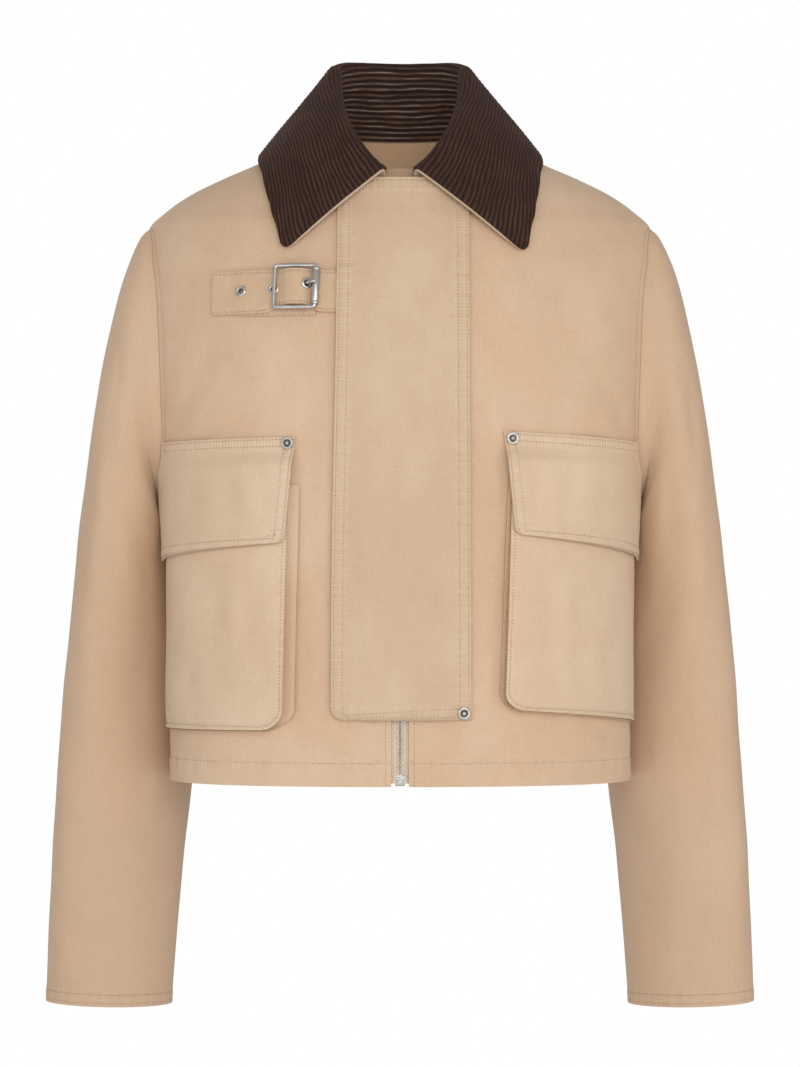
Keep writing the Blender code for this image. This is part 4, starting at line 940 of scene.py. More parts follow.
@dataclass(frozen=True)
class Finish:
    """What every finish has: a name, and a material built the first time that it is used."""

    name: str

    def material(self) -> bpy.types.Material:
        """The finish's material.

        Returns:
            The material, new or as it was first built.
        """
        found = bpy.data.materials.get(self.name)
        if found:
            return found
        made = bpy.data.materials.new(self.name)
        made.use_nodes = True
        make = Nodes(made.node_tree)
        self.dress(make, made.node_tree.nodes["Principled BSDF"])
        return made

    def dress(self, make: Nodes, shader: bpy.types.Node) -> None:
        """Build the finish's nodes; each kind of finish has its own.

        Args:
            make: The material's builder.
            shader: Its Principled BSDF.
        """

    @staticmethod
    def effect(make: Nodes, tree: bpy.types.NodeTree, **values: object) -> bpy.types.Node:
        """A shared effect placed in a material.

        Args:
            make: The material's builder.
            tree: The effect's group.
            values: Its own values here.

        Returns:
            The group's node.
        """
        node = make.add("ShaderNodeGroup")
        node.node_tree = tree
        return make.feed(node, **values)

    @staticmethod
    def relief(make: Nodes, shader: bpy.types.Node, *layers: tuple[object, float]) -> None:
        """Feed the shader's normal with heights.

        Args:
            make: The material's builder.
            shader: Its Principled BSDF.
            layers: Each height and its depth in metres.
        """
        normal = None
        for height, depth in layers:
            bump = make.feed(make.add("ShaderNodeBump"), Height=height, Distance=depth, Strength=1.0)
            if normal is not None:
                make.link(normal, bump, "Normal")
            normal = bump.outputs[0]
        make.link(normal, shader, "Normal")


@dataclass(frozen=True)
class WashedCotton(Finish):
    """Garment-washed cotton twill."""

    base: Colour
    pale: Colour
    deep: Colour
    wash: float = 0.5
    pucker: float = 0.00030
    rub: float = 0.55

    def dress(self, make: Nodes, shader: bpy.types.Node) -> None:
        """Dye, wash, weave and sewn edges, with painted shade along each row's groove.

        Args:
            make: The material's builder.
            shader: Its Principled BSDF.
        """
        place = make.here()
        cloth = make.map("Cloth")
        sewing = make.map("Sewing")
        wash = self.effect(make, EFFECTS.wash, Place=place, Base=(*self.base, 1.0), Pale=(*self.pale, 1.0),
                           Deep=(*self.deep, 1.0), Amount=self.wash)
        weave = self.effect(make, EFFECTS.weave, Map=cloth)
        sewn = self.effect(make, EFFECTS.sewing, Map=sewing)
        slub = make.spread(weave.outputs["Slub"], 0.7, 1.3, 0.0, 0.16)
        tone = make.blend(slub, wash.outputs["Color"], self.pale)
        tone = make.blend(make.times(sewn.outputs["Rubbed"], self.rub), tone, self.pale)
        # painted shade: the cloth darkens towards its deep tone in each row's groove
        tone = make.blend(make.times(sewn.outputs["Groove"], 0.20), tone, self.deep)
        make.link(tone, shader, "Base Color")
        rough = make.spread(weave.outputs["Slub"], 0.6, 1.4, 0.93, 0.80)
        make.link(rough, shader, "Roughness")
        shader.inputs["Specular IOR Level"].default_value = 0.18
        shader.inputs["Sheen Weight"].default_value = 0.10
        shader.inputs["Sheen Roughness"].default_value = 0.5
        self.relief(make, shader, (weave.outputs["Height"], 0.00010), (sewn.outputs["Height"], self.pucker))


@dataclass(frozen=True)
class Corduroy(Finish):
    """Wide-wale corduroy; the map's second number counts the ribs."""

    valley: Colour
    crest: Colour
    # the stand's crests, painted brighter as painted light
    stand_lit_crest: Colour
    glint: Colour

    def dress(self, make: Nodes, shader: bpy.types.Node) -> None:
        """Valleys in painted shade, crests lightened by painted light and by wear, short pile, brighter
        painted-light crests and thin painted glints on the stand.

        Args:
            make: The material's builder.
            shader: Its Principled BSDF.
        """
        place = make.here()
        cloth = make.map("Cloth")
        sewing = make.map("Sewing")
        _, ribs = make.split(cloth)
        wave = make.maths("COSINE", make.times(ribs, 2.0 * math.pi))
        # painted light and shade: crests lightened towards the crest colour and valleys kept dark; the worn
        # patches vary the lightening as wear
        crest = make.spread(wave, 0.75, -1.0)
        pile = make.noise(place, 900.0, 3.0, 0.65)
        worn = make.spread(make.noise(place, 55.0, 4.0), 0.38, 0.66, 0.55, 1.0)
        lit = make.times(make.times(crest, worn), make.spread(pile, 0.3, 0.65, 0.6, 1.0))
        on_stand = make.spread(ribs, STAND_RIBS - 1.0, STAND_RIBS - 3.0)
        # painted light: the stand's crests take a brighter colour than the fall's, standing in for light on
        # the stand
        tone = make.blend(lit, self.valley, make.blend(on_stand, self.crest, self.stand_lit_crest))
        streaks = make.spread(make.noise(make.stretched(cloth, (26.0, 1.0, 1.0)), 1.0, 2.0), 0.46, 0.62)
        top = make.spread(wave, -0.72, -0.98)
        glint = make.times(make.times(streaks, on_stand), top)
        tone = make.blend(make.times(glint, 0.85), tone, self.glint)
        sewn = self.effect(make, EFFECTS.sewing, Map=sewing, Pitch=0.0034)
        # painted shade: the corduroy darkens to its valley colour in the stitches' groove
        tone = make.blend(make.times(sewn.outputs["Groove"], 0.6), tone, self.valley)
        make.link(tone, shader, "Base Color")
        shader.inputs["Roughness"].default_value = 0.92
        shader.inputs["Specular IOR Level"].default_value = 0.15
        shader.inputs["Sheen Weight"].default_value = 0.20
        shader.inputs["Sheen Roughness"].default_value = 0.45
        shader.inputs["Sheen Tint"].default_value = (0.34, 0.19, 0.15, 1.0)
        self.relief(make, shader, (pile, 0.00022), (sewn.outputs["Height"], 0.0003))


@dataclass(frozen=True)
class WornNickel(Finish):
    """Dull nickel plate."""

    tone: Colour = (0.60, 0.585, 0.56)
    dark: Colour = (0.30, 0.285, 0.27)
    gloss: float = 0.26

    def dress(self, make: Nodes, shader: bpy.types.Node) -> None:
        """Bright plate with dull patches and fine scratches.

        Args:
            make: The material's builder.
            shader: Its Principled BSDF.
        """
        place = make.here()
        handled = self.effect(make, EFFECTS.handling, Place=place)
        tone = make.blend(make.times(handled.outputs["Dull"], 0.38), self.tone, self.dark)
        make.link(tone, shader, "Base Color")
        rough = make.spread(handled.outputs["Dull"], 0.0, 1.0, self.gloss, self.gloss + 0.16)
        make.link(rough, shader, "Roughness")
        shader.inputs["Metallic"].default_value = 1.0
        self.relief(make, shader, (handled.outputs["Height"], 0.00003))


@dataclass(frozen=True)
class Thread(Finish):
    """Twisted sewing thread."""

    tone: Colour
    shade: Colour

    def dress(self, make: Nodes, shader: bpy.types.Node) -> None:
        """Two plies with a slightly uneven dye.

        Args:
            make: The material's builder.
            shader: Its Principled BSDF.
        """
        place = make.here()
        plies = make.noise(make.stretched(place, (2600.0, 2600.0, 2600.0)), 1.0, 2.0)
        dye = make.noise(place, 60.0, 3.0)
        tone = make.blend(make.spread(make.maths("ADD", plies, dye), 0.7, 1.3), self.shade, self.tone)
        make.link(tone, shader, "Base Color")
        shader.inputs["Roughness"].default_value = 0.75
        shader.inputs["Specular IOR Level"].default_value = 0.25
        self.relief(make, shader, (plies, 0.00008))


@dataclass(frozen=True)
class Plaster(Finish):
    """The plain pale floor."""

    tone: Colour

    def dress(self, make: Nodes, shader: bpy.types.Node) -> None:
        """An almost even, matt surface.

        Args:
            make: The material's builder.
            shader: Its Principled BSDF.
        """
        clouds = make.spread(make.noise(make.here(), 3.0), 0.3, 0.7, 0.0, 0.04)
        tone = make.blend(clouds, self.tone, (0.80, 0.79, 0.78))
        make.link(tone, shader, "Base Color")
        shader.inputs["Roughness"].default_value = 0.9


SHELL = WashedCotton("washed_cotton_shell", (0.638, 0.436, 0.285), (0.730, 0.550, 0.392),
                     (0.560, 0.360, 0.217))
SLEEVE_CLOTH = WashedCotton("washed_cotton_sleeve", (0.610, 0.418, 0.275), (0.690, 0.510, 0.360),
                            (0.540, 0.350, 0.215), wash=0.35)
STRAP_CLOTH = WashedCotton("washed_cotton_strap", (0.615, 0.425, 0.272), (0.705, 0.528, 0.370),
                           (0.545, 0.350, 0.212), wash=0.45, rub=0.7)
FLAP_CLOTH = WashedCotton("washed_cotton_flap", (0.608, 0.432, 0.285), (0.700, 0.540, 0.388),
                          (0.545, 0.362, 0.225), wash=0.55, pucker=0.0002, rub=0.8)
PATCH = WashedCotton("washed_cotton_patch", (0.665, 0.480, 0.322), (0.760, 0.596, 0.436),
                     (0.596, 0.402, 0.253), wash=0.55, rub=0.8)
# the facing's tan, raised above its own tone as painted light for the hollow of the neck
LINING_PAINTED_LIGHT = WashedCotton("washed_cotton_inside_painted_light", (0.800, 0.530, 0.315), (0.850, 0.600, 0.380),
                      (0.720, 0.460, 0.260), wash=0.3)
GUARD_CLOTH = WashedCotton("washed_cotton_guard", (0.470, 0.318, 0.195), (0.540, 0.390, 0.262),
                           (0.410, 0.262, 0.152), wash=0.3)
TAPE = WashedCotton("zip_tape_weave", (0.66, 0.52, 0.38), (0.74, 0.62, 0.49), (0.55, 0.41, 0.28), wash=0.3,
                    pucker=0.0002)
# the valley colour doubles as painted shade, the third colour is the stand's crest raised as painted light,
# the last is the stand's painted glint
CORD = Corduroy("wide_wale_corduroy", (0.026, 0.0127, 0.0093), (0.083, 0.041, 0.029), (0.156, 0.089, 0.063),
                (0.26, 0.22, 0.19))
NICKEL = WornNickel("worn_nickel")
# nickel darkened as painted shade, between the zip's meshing tooth noses and in the rivets' ring grooves
SHADE_NICKEL = WornNickel("nickel_painted_shade", (0.20, 0.19, 0.18), (0.09, 0.09, 0.09), 0.34)
DULL_NICKEL = WornNickel("worn_nickel_dull", (0.52, 0.50, 0.45), (0.32, 0.30, 0.27), 0.46)
SAND_THREAD = Thread("sand_thread", (0.61, 0.395, 0.255), (0.47, 0.280, 0.165))
BROWN_THREAD = Thread("brown_thread", (0.040, 0.023, 0.018), (0.020, 0.011, 0.009))


# --- sewing ----------------------------------------------------------------------------------------------
class ThreadKind(Enum):
    """The two threads on the jacket."""

    SAND = SAND_THREAD
    BROWN = BROWN_THREAD


@dataclass
class Stitching:
    """Rows of single stitches that lie on the cloth, gathered into one piece."""

    name: str
    kind: ThreadKind = ThreadKind.SAND
    pitch: float = 0.0026
    length: float = 0.0019
    width: float = 0.00050
    height: float = 0.00026
    points: list[Array] = field(default_factory=list)
    faces: list[Array] = field(default_factory=list)
    count: int = 0

    bead = np.array([(-0.5, 0.0, -0.6), (-0.30, 0.5, 0.0), (-0.30, 0.0, 1.0), (-0.30, -0.5, 0.0),
                     (0.30, 0.5, 0.0), (0.30, 0.0, 1.0), (0.30, -0.5, 0.0), (0.5, 0.0, -0.6)])
    shell = np.array([(0, 1, 2), (0, 2, 3), (0, 3, 1), (1, 4, 5), (1, 5, 2), (2, 5, 6), (2, 6, 3),
                      (3, 6, 4), (3, 4, 1), (7, 5, 4), (7, 6, 5), (7, 4, 6)])

    def row(self, line: tuple[Array, Array], skip_start: float = 0.0, skip_end: float = 0.0) -> None:
        """Sew one row along a line of points with the cloth's normals.

        Args:
            line: Points and normals along the row.
            skip_start: Length left bare at the start.
            skip_end: Length left bare at the end.
        """
        path, normals = line
        run = run_along(path)
        centres = np.arange(skip_start + self.pitch / 2.0, run[-1] - skip_end, self.pitch)
        if len(centres) == 0:
            return
        middle, up = read_along(run, path, centres), unit(read_along(run, normals, centres))
        ahead, behind = (read_along(run, path, centres + nudge) for nudge in (0.0005, -0.0005))
        along = unit(ahead - behind)
        side = unit(np.cross(up, along))
        lengths = self.length * (1.0 + 0.10 * np.sin(centres * 5100.0))
        beads = (middle[:, None] + self.bead[None, :, :1] * (along * lengths[:, None])[:, None]
                 + self.bead[None, :, 1:2] * (side * self.width)[:, None]
                 + self.bead[None, :, 2:] * (up * self.height)[:, None])
        firsts = (self.count + np.arange(len(centres))) * len(self.bead)
        self.points.append(beads.reshape(-1, 3))
        self.faces.append((self.shell[None] + firsts[:, None, None]).reshape(-1, 3))
        self.count += len(centres)

    def build(self) -> bpy.types.Object:
        """Make one piece of every stitch of these rows.

        Returns:
            The piece.
        """
        piece = mesh_object(self.name, np.concatenate(self.points), np.concatenate(self.faces).tolist())
        body = bmesh.new()
        body.from_mesh(piece.data)
        bmesh.ops.recalc_face_normals(body, faces=body.faces)
        body.to_mesh(piece.data)
        body.free()
        piece.data.shade_smooth()
        piece.data.materials.append(self.kind.value.material())
        slot = "shell_cotton" if self.kind is ThreadKind.SAND else "collar_corduroy"
        LOG.info("%s: %d stitches", self.name, self.count)
        return ride(piece, slot=slot)


# --- body panels -----------------------------------------------------------------------------------------
FRONT_CREASES = (  # as seen from the front, on the wearer's left; a is x and b is z
    Crease(0.172, -0.262, 0.120, -0.222, 0.0075, -0.0011, 0.003),
    Crease(0.176, -0.240, 0.142, -0.176, 0.0060, -0.0009, -0.002),
    Crease(0.078, -0.105, 0.070, -0.225, 0.0100, -0.0008, 0.004),
    Crease(0.062, -0.185, 0.067, -0.330, 0.0085, -0.0010, -0.003),
    Crease(0.074, -0.300, 0.070, -0.455, 0.0070, 0.0007, 0.002),
    Crease(0.120, -0.100, 0.160, -0.150, 0.0120, 0.0007, 0.004),
    Crease(0.100, -0.128, 0.110, -0.210, 0.0110, 0.0006, -0.004),
    Crease(0.034, -0.474, 0.016, -0.500, 0.0050, -0.0008, 0.0),
    Crease(0.150, -0.474, 0.176, -0.487, 0.0040, -0.0009, 0.001),
    Crease(0.105, -0.478, 0.120, -0.508, 0.0060, -0.0006, 0.0),
)

RIGHT_CREASES = (  # on the wearer's right, mirrored to the left; a is x and b is z
    Crease(0.060, -0.160, 0.069, -0.300, 0.0100, -0.0011, 0.004),
    Crease(0.170, -0.258, 0.118, -0.232, 0.0070, -0.0010, -0.003),
    Crease(0.174, -0.232, 0.146, -0.166, 0.0065, -0.0008, 0.002),
    Crease(0.098, -0.165, 0.104, -0.232, 0.0110, 0.0006, 0.003),
    Crease(0.125, -0.090, 0.158, -0.146, 0.0120, 0.0007, -0.003),
    Crease(0.070, -0.330, 0.066, -0.470, 0.0070, 0.0006, -0.002),
    Crease(0.178, -0.474, 0.170, -0.489, 0.0032, -0.0012, 0.001),
    Crease(0.060, -0.476, 0.046, -0.505, 0.0060, -0.0007, 0.001),
    Crease(0.118, -0.480, 0.112, -0.508, 0.0050, -0.0005, 0.0),
)

BACK_CREASES = (  # seen from the back; a is x and b is z
    Crease(-0.168, -0.250, -0.090, -0.200, 0.0110, -0.0029, 0.006),
    Crease(-0.170, -0.268, -0.080, -0.262, 0.0100, -0.0025, -0.005),
    Crease(0.168, -0.246, 0.096, -0.188, 0.0105, -0.0027, -0.006),
    Crease(0.170, -0.270, 0.088, -0.270, 0.0105, -0.0023, 0.004),
    Crease(-0.030, -0.060, -0.055, -0.150, 0.0130, -0.0010, 0.004),
    Crease(0.036, -0.062, 0.052, -0.140, 0.0120, -0.0009, -0.004),
    Crease(-0.110, -0.280, -0.100, -0.480, 0.0130, -0.0023, 0.006),
    Crease(0.102, -0.300, 0.112, -0.470, 0.0130, -0.0022, -0.005),
    Crease(0.012, -0.200, 0.004, -0.440, 0.0160, -0.0022, 0.005),
    Crease(-0.052, -0.330, -0.060, -0.500, 0.0110, 0.0018, -0.003),
    Crease(0.058, -0.350, 0.050, -0.505, 0.0110, 0.0016, 0.004),
    Crease(-0.150, -0.478, -0.120, -0.506, 0.0060, -0.0014, 0.0),
    Crease(0.130, -0.480, 0.150, -0.508, 0.0060, -0.0014, 0.0),
)


COVERED = (  # what lies on the fronts, seen from the front: x from and to, z from and to
    (-0.0600, 0.0600, -0.4690, 1.0),
    (0.0700, 1.0, -0.4800, -0.2350),
    (-1.0, -0.0700, -0.4800, -0.2350),
    (-0.1560, -0.0500, -0.1600, -0.1080),
)


def covered(x: Array, z: Array) -> Array:
    """1 where another piece lies on a front, which keeps its plain form there.

    Args:
        x: Places on the front, seen from the front.
        z: Their heights.

    Returns:
        The cover at each place, from 0 to 1.
    """
    cover = sum(ease((x - left) / 0.003) * ease((right - x) / 0.003) * ease((z - low) / 0.003)
                * ease((high - z) / 0.003) for left, right, low, high in COVERED)
    collar = ease((z + 0.1040 + 0.35 * np.abs(np.abs(x) - 0.075)) / 0.006) * ease((0.125 - np.abs(x)) / 0.004)
    return np.clip(cover + collar, 0.0, 1.0)


@dataclass
class BodyPanels:
    """The two fronts and the back, with a turned hem."""

    side_rows: int = 82
    armhole_rows: int = 78
    shoulder_rows: int = 52
    front_columns: int = 72
    back_columns: int = 112
    hem_stitch: float = 0.0180
    seam_stitch: float = 0.0050
    shoulder_stitch: float = 0.0035
    zip_stitch: float = 0.0042
    edge_fade: float = 0.012
    front_area: float = 0.1125
    back_area: float = 0.243
    seams: Stitching = field(default_factory=lambda: Stitching("stitches_body"))

    def side_path(self, front: bool) -> tuple[Array, Array]:
        """A panel's left side: its side seam, armhole and shoulder seam.

        Args:
            front: True for a front panel, False for the back.

        Returns:
            The turns and the heights up the side.
        """
        seam = np.linspace(HEM_Z, ARMHOLE_LOW, self.side_rows + 1)
        angle = np.pi * (1.0 - np.arange(1, self.armhole_rows) / self.armhole_rows)
        hole_turn, hole_z = BODY.armhole(angle if front else 2.0 * np.pi - angle)
        shoulder = np.linspace(ARMHOLE_TOP, 0.0, self.shoulder_rows + 1)
        turns = [BODY.turn_beside_side(part, SEAM_HALF, front) for part in (seam, shoulder)]
        return np.concatenate([turns[0], hole_turn, turns[1]]), np.concatenate([seam, hole_z, shoulder])

    def centre_heights(self) -> Array:
        """The heights of a front's rows at the centre front."""
        return steps((ARMHOLE_LOW, self.side_rows), (CENTRE_AT_SHOULDER, self.armhole_rows),
                     (-NECK_DROP, self.shoulder_rows), start=HEM_Z)

    def on_seam(self, rows: int) -> Array:
        """Which rows of a panel end in the side or shoulder seam and not in the armhole."""
        index = np.arange(rows)
        return (index <= self.side_rows) | (index >= self.side_rows + self.armhole_rows)

    def hem_relief(self, z: Array, along: Array) -> Array:
        """The hem's turned layer: a low step at its stitches and small puckers below them.

        Args:
            z: The heights on the panel.
            along: The places across it.

        Returns:
            The relief.
        """
        above = z - HEM_Z
        step = 0.00045 * ease((self.hem_stitch + 0.0012 - above) / 0.0022)
        pull = -0.00055 * hill(above - self.hem_stitch, 0.0016)
        drawn = 0.00045 * puckers(along, 340.0, 2.0, 71.0) * hill(above - self.hem_stitch + 0.003, 0.006)
        return step + pull + drawn

    def face(self, turn: Array, z: Array, sewn_sides: list[int]) -> ClothGrid:
        """A panel's face before its creases, square to the seams' plane where it is sewn.

        Args:
            turn: The turns of its points.
            z: Their heights.
            sewn_sides: The columns that lie in the side seam, armhole and shoulder seam.

        Returns:
            The face.
        """
        at_seam = np.zeros(turn.shape, dtype=bool)
        at_seam[:, sewn_sides] = self.on_seam(len(turn))[:, None]
        normals = BODY.normal(turn, z)
        flat = unit(normals * np.array([1.0, 0.0, 1.0]))
        return ClothGrid(BODY.at(turn, z), np.where(at_seam[..., None], flat, normals))

    def finish(self, name: str, grid: ClothGrid, relief: Array, z: Array, seam: Array, side: int,
               zipped: bool) -> tuple[bpy.types.Object, ClothGrid]:
        """Give a panel its relief, wall and hem stitches, and hide its CAD node.

        Args:
            name: The panel's node.
            grid: Its plain face.
            relief: How far its creases and hem lift that face.
            z: The heights of the face's points.
            seam: Their distances from the armhole's side.
            side: 1, or -1 for the wearer's right front.
            zipped: True if a row of stitches runs beside its first column.

        Returns:
            The piece and its face as it is worn.
        """
        in_armhole = ~self.on_seam(len(z))[:, None]
        relief = relief - np.where(in_armhole, 0.0005 * hill(seam - self.seam_stitch, 0.0016), 0.0)
        outer = grid.raised(relief).mirrored(side)
        inner = outer.points - outer.normals * wall_at(z)[..., None]
        lines = [SewnLine(z - HEM_Z - self.hem_stitch, grid.across)]
        if zipped:
            lines.append(SewnLine(grid.across - self.zip_stitch, grid.down))
        lines.append(SewnLine(np.where(in_armhole, seam - self.seam_stitch, BARE), grid.down))
        piece = cloth_wall(name + "_cloth", outer, inner, SHELL, tuple(lines))
        self.seams.row(outer.line_across(self.hem_stitch, False))
        return ride(piece, name), outer

    def armhole_share(self) -> tuple[float, float]:
        """The shares of a panel's rows between which its armhole is stitched."""
        rows = self.side_rows + self.armhole_rows + self.shoulder_rows
        return self.side_rows / rows + 0.01, (self.side_rows + self.armhole_rows) / rows

    def front(self, side: int) -> bpy.types.Object:
        """One front panel.

        Args:
            side: 1 for the wearer's left, -1 for the right.

        Returns:
            The piece.
        """
        edge_turn, edge_z = self.side_path(front=True)
        rows, columns = len(edge_turn), self.front_columns
        centre_z = self.centre_heights()
        share = (np.arange(columns + 1) / columns)[None, :]
        above = (np.arange(rows) - self.side_rows - self.armhole_rows) / self.shoulder_rows
        neck_share = ease(above)[:, None]
        turn = mix(BODY.turn_at_x(FRONT_EDGE, centre_z)[:, None], edge_turn[:, None], share)
        z = mix(centre_z[:, None], edge_z[:, None], mix(ease(share), share, neck_share))
        z = z + (BODY.neck(turn) - mix(-NECK_DROP, 0.0, share)) * neck_share
        grid = self.face(turn, z, [-1])
        x = grid.points[..., 0]
        seam = grid.across[:, -1:] - grid.across
        edge = ease(np.minimum(grid.across, seam) / self.edge_fade)
        top = ease((grid.down[-1:] - grid.down) / self.edge_fade)
        creases = FRONT_CREASES if side > 0 else RIGHT_CREASES
        relief = (folds(creases, x, z) + sway(x, z, 0.00035, side)) * edge * top
        relief = np.where(relief > 0.0, relief * (1.0 - covered(x * side, z)), relief)
        relief = relief + self.hem_relief(z, grid.across) * ease(grid.across / 0.004)
        name = "front_left" if side > 0 else "front_right"
        piece, outer = self.finish(name, grid, relief, z, seam, side, True)
        first, last = self.armhole_share()
        self.seams.row(outer.line_down(self.zip_stitch, False, 0.0, 0.93))
        self.seams.row(outer.line_down(self.seam_stitch, True, first, last))
        self.seams.row(outer.line_down(self.shoulder_stitch, True, last, 1.0))
        return piece

    def back(self) -> bpy.types.Object:
        """The back panel.

        Returns:
            The piece.
        """
        edge_turn, edge_z = self.side_path(front=False)
        share = (np.arange(self.back_columns + 1) / self.back_columns)[None, :]
        turn = mix(edge_turn[:, None], 2.0 * np.pi - edge_turn[:, None], share)
        z = np.broadcast_to(edge_z[:, None], turn.shape)
        grid = self.face(turn, z, [0, -1])
        x = grid.points[..., 0]
        seam = np.minimum(grid.across, grid.across[:, -1:] - grid.across)
        edge = ease(seam / self.edge_fade) * ease((grid.down[-1:] - grid.down) / 0.030)
        relief = (folds(BACK_CREASES, x, z) + sway(x, z, 0.00045, 3.0)) * edge
        relief = relief + self.hem_relief(z, grid.across)
        piece, outer = self.finish("back", grid, relief, z, seam, 1, False)
        for from_end in (False, True):
            self.seams.row(outer.line_down(self.seam_stitch, from_end, *self.armhole_share()))
        return piece

    def build(self) -> None:
        """Build the panels and their sewing."""
        for side in (1, -1):
            self.front(side)
        self.back()
        self.seams.build()
        LOG.info("body panels: two fronts and the back")


# --- sleeves ---------------------------------------------------------------------------------------------
SLEEVE_CREASES = (  # a runs round from the outer edge (0) over the front (positive); b runs down the sleeve
    Crease(0.075, 0.060, 0.050, 0.170, 0.0120, -0.0014, 0.006),
    Crease(0.105, 0.090, 0.070, 0.210, 0.0100, -0.0013, -0.004),
    Crease(0.120, 0.130, 0.085, 0.300, 0.0120, -0.0012, 0.005),
    Crease(0.035, 0.180, 0.040, 0.400, 0.0140, -0.0011, -0.006),
    Crease(0.080, 0.300, 0.070, 0.540, 0.0130, -0.0010, 0.005),
    Crease(0.025, 0.400, 0.035, 0.590, 0.0100, 0.0008, 0.003),
    Crease(0.100, 0.420, 0.098, 0.590, 0.0090, 0.0008, -0.003),
    Crease(-0.060, 0.070, -0.050, 0.200, 0.0130, -0.0016, -0.006),
    Crease(-0.110, 0.110, -0.070, 0.240, 0.0110, -0.0014, 0.005),
    Crease(-0.045, 0.260, -0.050, 0.450, 0.0140, -0.0013, 0.006),
    Crease(-0.095, 0.300, -0.085, 0.520, 0.0120, -0.0011, -0.005),
    Crease(-0.115, 0.255, -0.060, 0.275, 0.0090, -0.0012, 0.004),
    Crease(-0.120, 0.310, -0.070, 0.300, 0.0085, -0.0011, -0.003),
)


